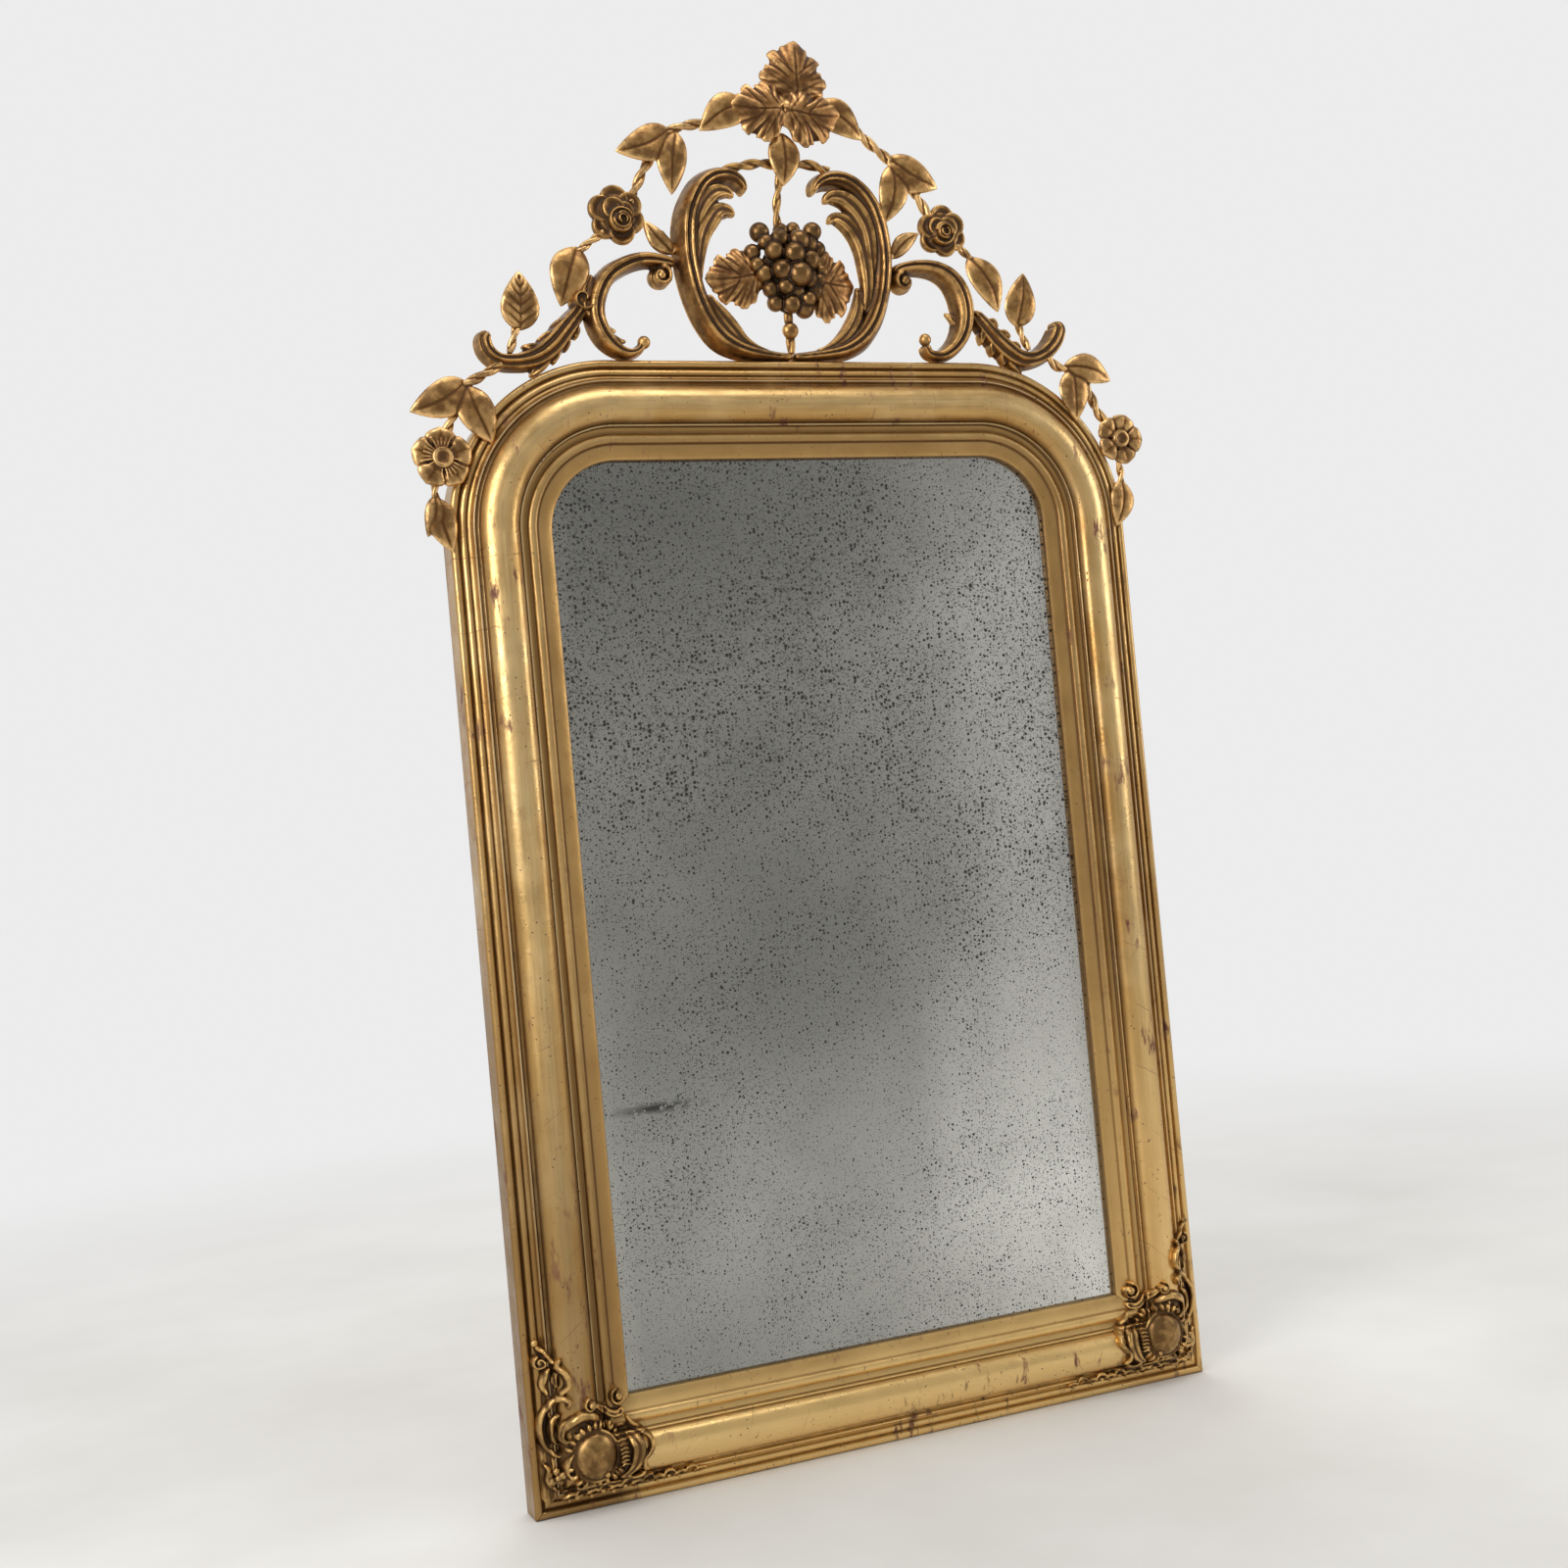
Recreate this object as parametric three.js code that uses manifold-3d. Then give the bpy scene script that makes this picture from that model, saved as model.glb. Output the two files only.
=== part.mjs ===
// A gilt wall mirror with an arched frame and an open crest of scrolls, roses and vine leaves.
// Millimetres, +Z up. The front faces -Y. The origin is the middle of the bottom rail's underside.
import * as THREE from 'three';
import { mergeVertices } from 'three/addons/utils/BufferGeometryUtils.js';
import Module from 'manifold-3d';

const wasm = await Module();
wasm.setup();

// ---- Driving dimensions: the frame ----
const FRAME_WIDTH = 850;
const FRAME_HEIGHT = 1255;
const SHOULDER_RADIUS = 195;
const SIDE_DEPTH = 33;
const BACK_Y = 18;
const JOINT_GAP = 0.3;
const SHOULDER_STEPS = 12;

// ---- The frame's moulding: widths from the outer edge, heights from the back ----
const OUTER_BEAD_WIDTH = 8.6;
const OUTER_BEAD_RISE = 4.2;
const SECOND_BEAD_START = 10.4;
const SECOND_BEAD_WIDTH = 7.6;
const SECOND_BEAD_RISE = 3;
const COVE_RISE = 10.5;
const OUTER_FILLET_START = 24.4;
const FILLET_WIDTH = 2;
const TORUS_START = 31;
const TORUS_WIDTH = 43.6;
const TORUS_RISE = 16.5;
const INNER_FILLET_RISE = 14.6;
const MOULDING_WIDTH = 77.5;
const LIP_WIDTH = 7.5;
const LIP_THICKNESS = 8.5;

// ---- The inner slip that frames the glass ----
const SLIP_BEAD_START = 85;
const SLIP_BEAD_WIDTH = 11.4;
const SLIP_BEAD_RISE = 4;
const SLIP_HEIGHT = 41;
const SLIP_EDGE_HEIGHT = 37.4;
const SIGHT_WIDTH = 114.3;
const SLIP_BACK = 22;
const GLASS_OVERLAP = 8.5;

// ---- Glass, blocks and backboards ----
const GLASS_FRONT = 30.2;
const GLASS_THICKNESS = 4;
const BLOCK_LENGTH = 70;
const BLOCK_REACH = 6;
const BOARD_REBATE_WIDTH = 7.5;
const BOARD_REBATE_DEPTH = 13;
const BOARD_THICKNESS = 10;
const BOARD_COUNT = 3;
const BOARD_SHRINKAGE = 0.8;

// ---- Hangers on the back of the stiles ----
const HANGER_DROP = 270;
const STRAP_WIDTH = 22;
const STRAP_LENGTH = 62;
const STRAP_THICKNESS = 2.5;
const RING_WIRE = 4.5;
const RING_WIDTH = 40;
const RING_DROP = 30;
const EYE_WALL = 2;
const EYE_CLEARANCE = 0.35;

// ---- The crest: how deep its layers stand ----
const CREST_DRAWN_WIDTH = 850;
const CREST_BACK = 0;
const CARTOUCHE_DEPTH = 34;
const SCROLL_DEPTH = 26;
const STEM_THICKNESS = 11;
const STEM_RING_PITCH = 8.5;
const LEAF_THICKNESS = 8;
const SEAT_GAP = 0.3;
const PEG_RADIUS = 9;
const FINEST_DETAIL = 0.1;
const COARSE_DETAIL = 0.2;
const LEAST_CORNER_COSINE = 0.4;
const WELD = 1e-3;

// ---- The bottom corner ornaments ----
const ORNAMENT_SINK = 4;
const UNDERSIDE_STEPS = 32;
const ORNAMENT_RELIEF = 13;
const CABOCHON_INSET = 65;
const CABOCHON_WIDTH = 52;
const CABOCHON_HEIGHT = 53;
const CABOCHON_RELIEF = 16;

const GOLD = 0xb58a4c;
const DARK_GOLD = 0x8a6a3c;
const BRIGHT_GOLD = 0xc9a060;
const PINE = 0x9c7a52;
const IRON = 0x3d3833;
const SILVERED = 0x8b8c88;

// The crest is drawn for one width, about the middle of the frame's top edge, and grows with the frame.
const crestGrowth = FRAME_WIDTH / CREST_DRAWN_WIDTH;
const ontoFrame = (carving) =>
  carving.scale([crestGrowth, crestGrowth, crestGrowth]).translate([0, CREST_BACK, FRAME_HEIGHT]);
const heightToY = (height) => BACK_Y - height;

// ---- Solids ----
function solidFromArrays(positions, triangles) {
  const mesh = new wasm.Mesh({
    numProp: 3,
    vertProperties: new Float32Array(positions),
    triVerts: new Uint32Array(triangles),
  });
  return new wasm.Manifold(mesh);
}

function solidFromGeometry(geometry) {
  const bare = geometry.clone();
  bare.deleteAttribute('normal');
  bare.deleteAttribute('uv');
  const merged = mergeVertices(bare, WELD);
  const positions = Array.from(merged.attributes.position.array);
  const triangles = [];
  for (let i = 0; i < merged.index.count; i += 3) {
    const [a, b, c] = [0, 1, 2].map((k) => merged.index.getX(i + k));
    if (a !== b && b !== c && c !== a) triangles.push(a, b, c);
  }
  return solidFromArrays(positions, facingOut(positions, triangles));
}

function geometryFromSolid(solid) {
  const { vertProperties, triVerts } = solid.getMesh();
  const geometry = new THREE.BufferGeometry();
  geometry.setAttribute('position', new THREE.BufferAttribute(new Float32Array(vertProperties), 3));
  geometry.setIndex(new THREE.BufferAttribute(new Uint32Array(triVerts), 1));
  geometry.computeVertexNormals();
  return geometry;
}

// A skin over rings of equal count; a ring of one point is a tip. Other end rings are closed flat.
function loft(rings) {
  const positions = [];
  const starts = rings.map((ring) => {
    const start = positions.length / 3;
    ring.forEach((point) => positions.push(point.x, point.y, point.z));
    return start;
  });
  const triangles = [];
  for (let k = 0; k < rings.length - 1; k += 1) {
    const a = rings[k].length;
    const b = rings[k + 1].length;
    const count = Math.max(a, b);
    for (let i = 0; i < count; i += 1) {
      const j = (i + 1) % count;
      if (a > 1) triangles.push(starts[k] + i, starts[k] + j, starts[k + 1] + (b > 1 ? j : 0));
      if (b > 1) triangles.push(starts[k] + (a > 1 ? i : 0), starts[k + 1] + j, starts[k + 1] + i);
    }
  }
  const closeEnd = (ring, start, turned) => {
    const centre = ring.reduce((sum, point) => sum.add(point), new THREE.Vector3());
    centre.divideScalar(ring.length);
    const hub = positions.length / 3;
    positions.push(centre.x, centre.y, centre.z);
    for (let i = 0; i < ring.length; i += 1) {
      const j = (i + 1) % ring.length;
      triangles.push(hub, start + (turned ? j : i), start + (turned ? i : j));
    }
  };
  const last = rings.length - 1;
  if (rings[0].length > 1) closeEnd(rings[0], starts[0], true);
  if (rings[last].length > 1) closeEnd(rings[last], starts[last], false);
  return solidFromArrays(positions, facingOut(positions, triangles));
}

// Turns every triangle over when the skin encloses a negative volume.
function facingOut(positions, triangles) {
  const corner = (index) => new THREE.Vector3().fromArray(positions, index * 3);
  let volume = 0;
  for (let i = 0; i < triangles.length; i += 3) {
    const [a, b, c] = [0, 1, 2].map((k) => corner(triangles[i + k]));
    volume += a.dot(b.cross(c));
  }
  if (volume > 0) return triangles;
  const turned = [];
  for (let i = 0; i < triangles.length; i += 3) {
    turned.push(triangles[i], triangles[i + 2], triangles[i + 1]);
  }
  return turned;
}

// The same solid with its skin moved out, to cut a seat with a gap around it. A corner moves
// further than the faces that meet there, so that each of them moves by the whole distance.
function grown(solid, distance) {
  const geometry = geometryFromSolid(solid);
  const { position, normal } = geometry.attributes;
  const index = geometry.index.array;
  const vertexNormal = (i) => new THREE.Vector3().fromBufferAttribute(normal, i);
  const vertex = (i) => new THREE.Vector3().fromBufferAttribute(position, i);
  const leastCosine = new Array(position.count).fill(1);
  const face = new THREE.Triangle();
  const faceNormal = new THREE.Vector3();
  for (let k = 0; k < index.length; k += 3) {
    face.set(vertex(index[k]), vertex(index[k + 1]), vertex(index[k + 2]));
    face.getNormal(faceNormal);
    for (const i of [index[k], index[k + 1], index[k + 2]]) {
      leastCosine[i] = Math.min(leastCosine[i], faceNormal.dot(vertexNormal(i)));
    }
  }
  const moved = leastCosine.flatMap((cosine, i) => {
    const step = distance / Math.max(cosine, LEAST_CORNER_COSINE);
    return vertex(i).addScaledVector(vertexNormal(i), step).toArray();
  });
  return solidFromArrays(moved, index);
}

const boxesMeet = (a, b) => [0, 1, 2].every((k) => a.min[k] < b.max[k] && b.min[k] < a.max[k]);

// ---- The assembly: each later piece is cut back where it would run into an earlier one ----
const group = new THREE.Group();
const placed = [];

function add(name, solid, colour, finish = {}) {
  const material = new THREE.MeshStandardMaterial({
    color: colour,
    roughness: finish.roughness ?? 0.42,
    metalness: finish.metalness ?? 0.85,
  });
  const mesh = new THREE.Mesh(geometryFromSolid(solid), material);
  mesh.name = name;
  group.add(mesh);
  placed.push(solid);
}

const largestBody = (solid) => solid.decompose().sort((a, b) => b.volume() - a.volume())[0];

// Thins the small triangles that cutting leaves and joins the corners that lie almost together.
function tidied(solid, detail) {
  const plain = largestBody(solid).asOriginal().simplify(detail);
  return largestBody(solidFromGeometry(geometryFromSolid(plain)));
}

function seat(name, solid, colour, detail = FINEST_DETAIL) {
  let cut = ontoFrame(solid);
  const own = cut.boundingBox();
  for (const other of placed) {
    if (boxesMeet(own, other.boundingBox())) cut = cut.subtract(grown(other, SEAT_GAP + 2 * detail));
  }
  add(name, tidied(cut, detail), colour);
}

// ---- Mouldings: a profile carried along stations on the frame's outer edge ----
// A station is a point on the outer edge and the inward step that one unit of width takes there.
const station = (x, z, inX, inZ) => ({ x, z, inX, inZ });

function moulding(profile, stations) {
  const outline = profile.map(([across, height]) => new THREE.Vector2(across, height));
  const positions = [];
  for (const place of stations) {
    for (const { x: across, y: height } of outline) {
      positions.push(place.x + across * place.inX, heightToY(height), place.z + across * place.inZ);
    }
  }
  const count = outline.length;
  const triangles = [];
  for (let k = 0; k < stations.length - 1; k += 1) {
    for (let i = 0; i < count; i += 1) {
      const j = (i + 1) % count;
      const here = k * count;
      const next = here + count;
      triangles.push(here + i, next + j, here + j, here + i, next + i, next + j);
    }
  }
  const ends = THREE.ShapeUtils.triangulateShape(outline, []);
  const last = (stations.length - 1) * count;
  const clockwise = THREE.ShapeUtils.isClockWise(outline);
  for (const [a, b, c] of ends) {
    const turned = THREE.ShapeUtils.isClockWise([outline[a], outline[b], outline[c]]) !== clockwise;
    const [p, q] = turned ? [c, b] : [b, c];
    triangles.push(a, p, q, last + a, last + q, last + p);
  }
  return solidFromArrays(positions, facingOut(positions, triangles));
}

const half = FRAME_WIDTH / 2;
const springZ = FRAME_HEIGHT - SHOULDER_RADIUS;
const springX = half - SHOULDER_RADIUS;

function shoulderStations(side) {
  return Array.from({ length: SHOULDER_STEPS + 1 }, (_, i) => {
    const angle = (Math.PI / 2) * (i / SHOULDER_STEPS);
    const outX = side * Math.cos(angle);
    const outZ = Math.sin(angle);
    const x = side * springX + SHOULDER_RADIUS * outX;
    return station(x, springZ + SHOULDER_RADIUS * outZ, -outX, -outZ);
  });
}

// The six runs that go round the frame. The straight ones stop a joint's width short.
const runs = {
  bottom: [station(-half + JOINT_GAP, 0, 1, 1), station(half - JOINT_GAP, 0, -1, 1)],
  left: [station(-half, JOINT_GAP, 1, 1), station(-half, springZ - JOINT_GAP, 1, 0)],
  right: [station(half, JOINT_GAP, -1, 1), station(half, springZ - JOINT_GAP, -1, 0)],
  left_shoulder: shoulderStations(-1),
  right_shoulder: shoulderStations(1),
  top: [station(-springX + JOINT_GAP, FRAME_HEIGHT, 0, -1),
    station(springX - JOINT_GAP, FRAME_HEIGHT, 0, -1)],
};

// A rounded nose between two points of a profile, bulging away from the back.
function nose([startAcross, startHeight], [endAcross, endHeight], rise, steps) {
  return Array.from({ length: steps + 1 }, (_, i) => {
    const angle = Math.PI * (1 - i / steps);
    const t = (1 + Math.cos(angle)) / 2;
    const across = startAcross + (endAcross - startAcross) * t;
    return [across, startHeight + (endHeight - startHeight) * t + rise * Math.sin(angle)];
  });
}

const filletHeight = SIDE_DEPTH + COVE_RISE + 1;
const innerFilletHeight = SIDE_DEPTH + INNER_FILLET_RISE;
const lipBack = innerFilletHeight - LIP_THICKNESS;
const rebateWall = MOULDING_WIDTH - LIP_WIDTH;
const boardEdge = rebateWall - BOARD_REBATE_WIDTH;
const secondBeadEnd = SECOND_BEAD_START + SECOND_BEAD_WIDTH;
const outerFilletEnd = OUTER_FILLET_START + FILLET_WIDTH;
const torusEnd = TORUS_START + TORUS_WIDTH;

const frameProfile = [
  [0, 0],
  ...nose([0, SIDE_DEPTH], [OUTER_BEAD_WIDTH, SIDE_DEPTH + 1], OUTER_BEAD_RISE, 4),
  ...nose([SECOND_BEAD_START, SIDE_DEPTH + 1], [secondBeadEnd, SIDE_DEPTH + 4], SECOND_BEAD_RISE, 4),
  [secondBeadEnd + 3.4, SIDE_DEPTH + 5.4],
  [OUTER_FILLET_START - 0.6, filletHeight - 2.4],
  [OUTER_FILLET_START, filletHeight],
  [outerFilletEnd, filletHeight],
  [outerFilletEnd + 0.6, filletHeight - 2.6],
  ...nose([TORUS_START, filletHeight - 2.8], [torusEnd, innerFilletHeight - 1.6], TORUS_RISE, 8),
  [torusEnd + 0.9, innerFilletHeight],
  [MOULDING_WIDTH, innerFilletHeight],
  [MOULDING_WIDTH, lipBack],
  [rebateWall, lipBack],
  [rebateWall, BOARD_REBATE_DEPTH],
  [boardEdge, BOARD_REBATE_DEPTH],
  [boardEdge, 0],
];

const slipStart = MOULDING_WIDTH + JOINT_GAP;
const tongueStart = rebateWall + JOINT_GAP;
const slipBeadEnd = SLIP_BEAD_START + SLIP_BEAD_WIDTH;
const glassRebate = SIGHT_WIDTH - GLASS_OVERLAP - 2 * JOINT_GAP;
const slipProfile = [
  [tongueStart, SLIP_BACK],
  [tongueStart, lipBack - JOINT_GAP],
  [slipStart, lipBack - JOINT_GAP],
  [slipStart, SLIP_HEIGHT],
  [SLIP_BEAD_START - 3, SLIP_HEIGHT - 1.2],
  ...nose([SLIP_BEAD_START, SLIP_HEIGHT - 0.8], [slipBeadEnd, SLIP_HEIGHT], SLIP_BEAD_RISE, 4),
  [slipBeadEnd + 0.7, SLIP_HEIGHT - 0.6],
  [SIGHT_WIDTH, SLIP_EDGE_HEIGHT],
  [SIGHT_WIDTH, GLASS_FRONT + JOINT_GAP],
  [glassRebate, GLASS_FRONT + JOINT_GAP],
  [glassRebate, SLIP_BACK],
];

const nodeOfRun = {
  bottom: ['frame_bottom_rail', 'slip_bottom'],
  left: ['frame_left_stile', 'slip_left'],
  right: ['frame_right_stile', 'slip_right'],
  left_shoulder: ['frame_left_shoulder', 'slip_left_corner'],
  right_shoulder: ['frame_right_shoulder', 'slip_right_corner'],
  top: ['frame_top_rail', 'slip_top'],
};
for (const [run, [frameNode, slipNode]] of Object.entries(nodeOfRun)) {
  add(frameNode, moulding(frameProfile, runs[run]), GOLD);
  add(slipNode, moulding(slipProfile, runs[run]), BRIGHT_GOLD);
}

// ---- Plates that fill the frame: the glass and the boards behind it ----
// The frame's outline drawn in by a width, between two heights, with round top corners.
function archOutline(inset, lowZ) {
  const radius = SHOULDER_RADIUS - inset;
  const side = half - inset;
  const shape = new THREE.Shape();
  shape.moveTo(-side, lowZ);
  shape.lineTo(side, lowZ);
  shape.lineTo(side, springZ);
  shape.absarc(springX, springZ, radius, 0, Math.PI / 2, false);
  shape.lineTo(-springX, springZ + radius);
  shape.absarc(-springX, springZ, radius, Math.PI / 2, Math.PI, false);
  return shape;
}

// A flat plate of this outline from one height above the back to another.
function plate(shape, lowHeight, highHeight) {
  const depth = highHeight - lowHeight;
  const geometry = new THREE.ExtrudeGeometry(shape, {
    depth, bevelEnabled: false, curveSegments: SHOULDER_STEPS,
  });
  geometry.rotateX(Math.PI / 2);
  geometry.translate(0, heightToY(lowHeight), 0);
  return solidFromGeometry(geometry);
}

const glassInset = SIGHT_WIDTH - GLASS_OVERLAP;
const glassBack = GLASS_FRONT - GLASS_THICKNESS;
add('mirror_glass', plate(archOutline(glassInset, glassInset), glassBack, GLASS_FRONT), SILVERED,
  { roughness: 0.12, metalness: 0.95 });

const boardInset = boardEdge + JOINT_GAP;
const boardTop = BOARD_REBATE_DEPTH - JOINT_GAP;
const boardLow = boardInset;
const boardPitch = (FRAME_HEIGHT - 2 * boardInset) / BOARD_COUNT;
const boardNames = ['backboard_lower', 'backboard_middle', 'backboard_upper'];
boardNames.forEach((name, i) => {
  const low = boardLow + i * boardPitch + (i ? BOARD_SHRINKAGE / 2 : 0);
  const high = boardLow + (i + 1) * boardPitch - BOARD_SHRINKAGE / 2;
  let shape = archOutline(boardInset, low);
  if (i < BOARD_COUNT - 1) {
    const side = half - boardInset;
    shape = new THREE.Shape();
    shape.moveTo(-side, low);
    shape.lineTo(side, low);
    shape.lineTo(side, high);
    shape.lineTo(-side, high);
  }
  add(name, plate(shape, boardTop - BOARD_THICKNESS, boardTop), PINE, { roughness: 0.85, metalness: 0 });
});

// ---- Blocks glued in the rebate that hold the glass against the slip ----
const blockNoseStart = glassRebate + 2 * JOINT_GAP;
const blockEnd = blockNoseStart + BLOCK_REACH;
const blockProfile = [
  [tongueStart, BOARD_REBATE_DEPTH + JOINT_GAP],
  [tongueStart, SLIP_BACK - JOINT_GAP],
  [blockNoseStart, SLIP_BACK - JOINT_GAP],
  [blockNoseStart, glassBack - JOINT_GAP],
  [blockEnd, glassBack - JOINT_GAP],
  [blockEnd, BOARD_REBATE_DEPTH + JOINT_GAP],
];
const blockZ = (SIGHT_WIDTH + springZ) / 2;
const blockHalf = BLOCK_LENGTH / 2;
const blockRuns = {
  glass_block_left: [station(-half, blockZ - blockHalf, 1, 0), station(-half, blockZ + blockHalf, 1, 0)],
  glass_block_right: [station(half, blockZ - blockHalf, -1, 0), station(half, blockZ + blockHalf, -1, 0)],
  glass_block_bottom: [station(-blockHalf, 0, 0, 1), station(blockHalf, 0, 0, 1)],
  glass_block_top: [station(-blockHalf, FRAME_HEIGHT, 0, -1), station(blockHalf, FRAME_HEIGHT, 0, -1)],
};
for (const [name, stations] of Object.entries(blockRuns)) {
  add(name, moulding(blockProfile, stations), PINE, { roughness: 0.85, metalness: 0 });
}

// ---- Hangers: a strap with a rolled eye, and a D-shaped ring whose bar turns in the eye ----
const hangerHeight = FRAME_HEIGHT - HANGER_DROP;
const eyeInner = RING_WIRE / 2 + EYE_CLEARANCE;
const eyeOuter = eyeInner + EYE_WALL;
const eyeY = BACK_Y + JOINT_GAP + eyeOuter;
const strapBackY = BACK_Y + JOINT_GAP;

function strap(centreX) {
  const plateShape = new THREE.Shape();
  plateShape.moveTo(strapBackY, hangerHeight + eyeInner * 0.4);
  plateShape.lineTo(strapBackY + STRAP_THICKNESS, hangerHeight + eyeInner * 0.4);
  plateShape.lineTo(strapBackY + STRAP_THICKNESS, hangerHeight + STRAP_LENGTH);
  plateShape.lineTo(strapBackY, hangerHeight + STRAP_LENGTH);
  const eye = new THREE.Shape();
  eye.absarc(eyeY, hangerHeight, eyeOuter, 0, Math.PI * 2, false);
  const bore = new THREE.Path();
  bore.absarc(eyeY, hangerHeight, eyeInner, 0, Math.PI * 2, true);
  eye.holes.push(bore);
  const across = (shape) => {
    const geometry = new THREE.ExtrudeGeometry(shape, {
      depth: STRAP_WIDTH, bevelEnabled: false, curveSegments: 8,
    });
    geometry.rotateX(Math.PI / 2);
    geometry.rotateZ(Math.PI / 2);
    geometry.translate(centreX - STRAP_WIDTH / 2, 0, 0);
    return solidFromGeometry(geometry);
  };
  return across(plateShape).subtract(across(boreShape())).add(across(eye));
}

function boreShape() {
  const shape = new THREE.Shape();
  shape.absarc(eyeY, hangerHeight, eyeInner, 0, Math.PI * 2, false);
  return shape;
}

function ring(centreX) {
  const reach = RING_WIDTH / 2;
  const corner = RING_WIRE;
  const points = [];
  const bend = (x, z, start, end, radius, steps) => {
    for (let i = 0; i <= steps; i += 1) {
      const angle = start + (end - start) * (i / steps);
      points.push(new THREE.Vector3(x + radius * Math.cos(angle), 0, z + radius * Math.sin(angle)));
    }
  };
  const bowlRadius = Math.min(reach, RING_DROP - corner);
  bend(reach - corner, -corner, Math.PI / 2, 0, corner, 2);
  bend(0, -RING_DROP + bowlRadius, 0, -Math.PI, bowlRadius, 10);
  bend(-reach + corner, -corner, Math.PI, Math.PI / 2, corner, 2);
  const sides = 6;
  const centre = new THREE.Vector3(0, 0, -RING_DROP / 2);
  const rings = points.map((point, i) => {
    const before = points[(i + points.length - 1) % points.length];
    const after = points[(i + 1) % points.length];
    const along = after.clone().sub(before).normalize();
    const side = new THREE.Vector3(-along.z, 0, along.x);
    if (side.dot(point.clone().sub(centre)) < 0) side.negate();
    return Array.from({ length: sides }, (_, k) => {
      const angle = (2 * Math.PI * (k + 0.5)) / sides;
      const place = point.clone().addScaledVector(side, (RING_WIRE / 2) * Math.cos(angle));
      place.y += (RING_WIRE / 2) * Math.sin(angle);
      return place.add(new THREE.Vector3(centreX, eyeY, hangerHeight));
    });
  });
  const positions = rings.flat().flatMap((point) => [point.x, point.y, point.z]);
  const triangles = [];
  for (let k = 0; k < rings.length; k += 1) {
    const here = k * sides;
    const next = ((k + 1) % rings.length) * sides;
    for (let i = 0; i < sides; i += 1) {
      const j = (i + 1) % sides;
      triangles.push(here + i, next + j, here + j, here + i, next + i, next + j);
    }
  }
  return solidFromArrays(positions, facingOut(positions, triangles));
}

const hangerX = half - boardEdge / 2;
for (const [side, sign] of [['left', -1], ['right', 1]]) {
  add(`hanger_strap_${side}`, strap(sign * hangerX), IRON, { roughness: 0.6, metalness: 0.7 });
  add(`hanger_ring_${side}`, ring(sign * hangerX), IRON, { roughness: 0.5, metalness: 0.8 });
}

// ---- Carving: scrolls, stems, leaves and flowers ----
// A placing turns the drawing's across and up into x, z and the y that a piece's back has.
const onCrest = (x, z) => ({ x, z, y: 0 });

// A carved section in units of half width and of depth: flat behind, reeded in front.
const reededSection = [
  [-0.8, 0], [-1, 0.4], [-0.72, 0.8], [-0.3, 1], [0, 0.84], [0.3, 1], [0.72, 0.8], [1, 0.4], [0.8, 0],
];
const plainSection = [[-0.8, 0], [-1, 0.45], [-0.5, 0.92], [0.5, 0.92], [1, 0.45], [0.8, 0]];

// A scroll along a route of [across, up, width]. Its depth follows its width towards the ends.
function scroll(route, { depth, back = 0, steps = 18, section = reededSection, place = onCrest }) {
  const line = new THREE.CatmullRomCurve3(
    route.map(([x, z]) => new THREE.Vector3(x, 0, z)), false, 'centripetal');
  const widths = new THREE.CatmullRomCurve3(
    route.map(([, , width], i) => new THREE.Vector3(i, width, 0)), false, 'centripetal');
  const widest = Math.max(...route.map(([, , width]) => width));
  const rings = Array.from({ length: steps + 1 }, (_, i) => {
    const t = i / steps;
    const centre = line.getPoint(t);
    const along = line.getTangent(t);
    const width = widths.getPoint(t).y;
    const deep = depth * Math.sqrt(width / widest);
    const rest = place(centre.x, centre.z).y;
    return section.map(([u, v]) => {
      const reach = (u * width) / 2;
      const { x, z } = place(centre.x - along.z * reach, centre.z + along.x * reach);
      return new THREE.Vector3(x, rest - back - v * deep, z);
    });
  });
  return loft(rings);
}

// A round boss, such as a volute's eye, turned about the front-to-back axis.
function boss([x, z], radius, low, high, place = onCrest) {
  const profile = [[0, low], [radius, low], [radius, low + (high - low) * 0.6],
    [radius * 0.72, low + (high - low) * 0.93], [0, high]];
  const geometry = new THREE.LatheGeometry(profile.map(([r, y]) => new THREE.Vector2(r, -y)), 12);
  const seatPoint = place(x, z);
  geometry.translate(seatPoint.x, seatPoint.y, seatPoint.z);
  return solidFromGeometry(geometry);
}

// A stem of two strands twisted together along a route of [across, up].
function stem(route, { thickness = STEM_THICKNESS, back = 8, pitch = 42 }) {
  const line = new THREE.CatmullRomCurve3(
    route.map(([x, z, forward = 0]) => new THREE.Vector3(x, -forward, z)),
    false, 'centripetal');
  const length = line.getLength();
  const steps = Math.max(5, Math.round(length / STEM_RING_PITCH));
  const sides = 6;
  const rings = Array.from({ length: steps + 1 }, (_, i) => {
    const centre = line.getPointAt(i / steps);
    const along = line.getTangentAt(i / steps);
    const across = new THREE.Vector3(-along.z, 0, along.x).normalize();
    const forward = new THREE.Vector3().crossVectors(across, along).normalize();
    const turn = (2 * Math.PI * i * length) / (steps * pitch);
    return Array.from({ length: sides }, (_, k) => {
      const angle = (2 * Math.PI * k) / sides;
      const radius = (thickness / 2) * (0.82 + 0.18 * Math.cos(2 * angle));
      const point = centre.clone();
      point.addScaledVector(across, radius * Math.cos(angle + turn));
      point.addScaledVector(forward, radius * Math.sin(angle + turn));
      point.y -= back + thickness / 2;
      return point;
    });
  });
  return loft(rings);
}

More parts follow.
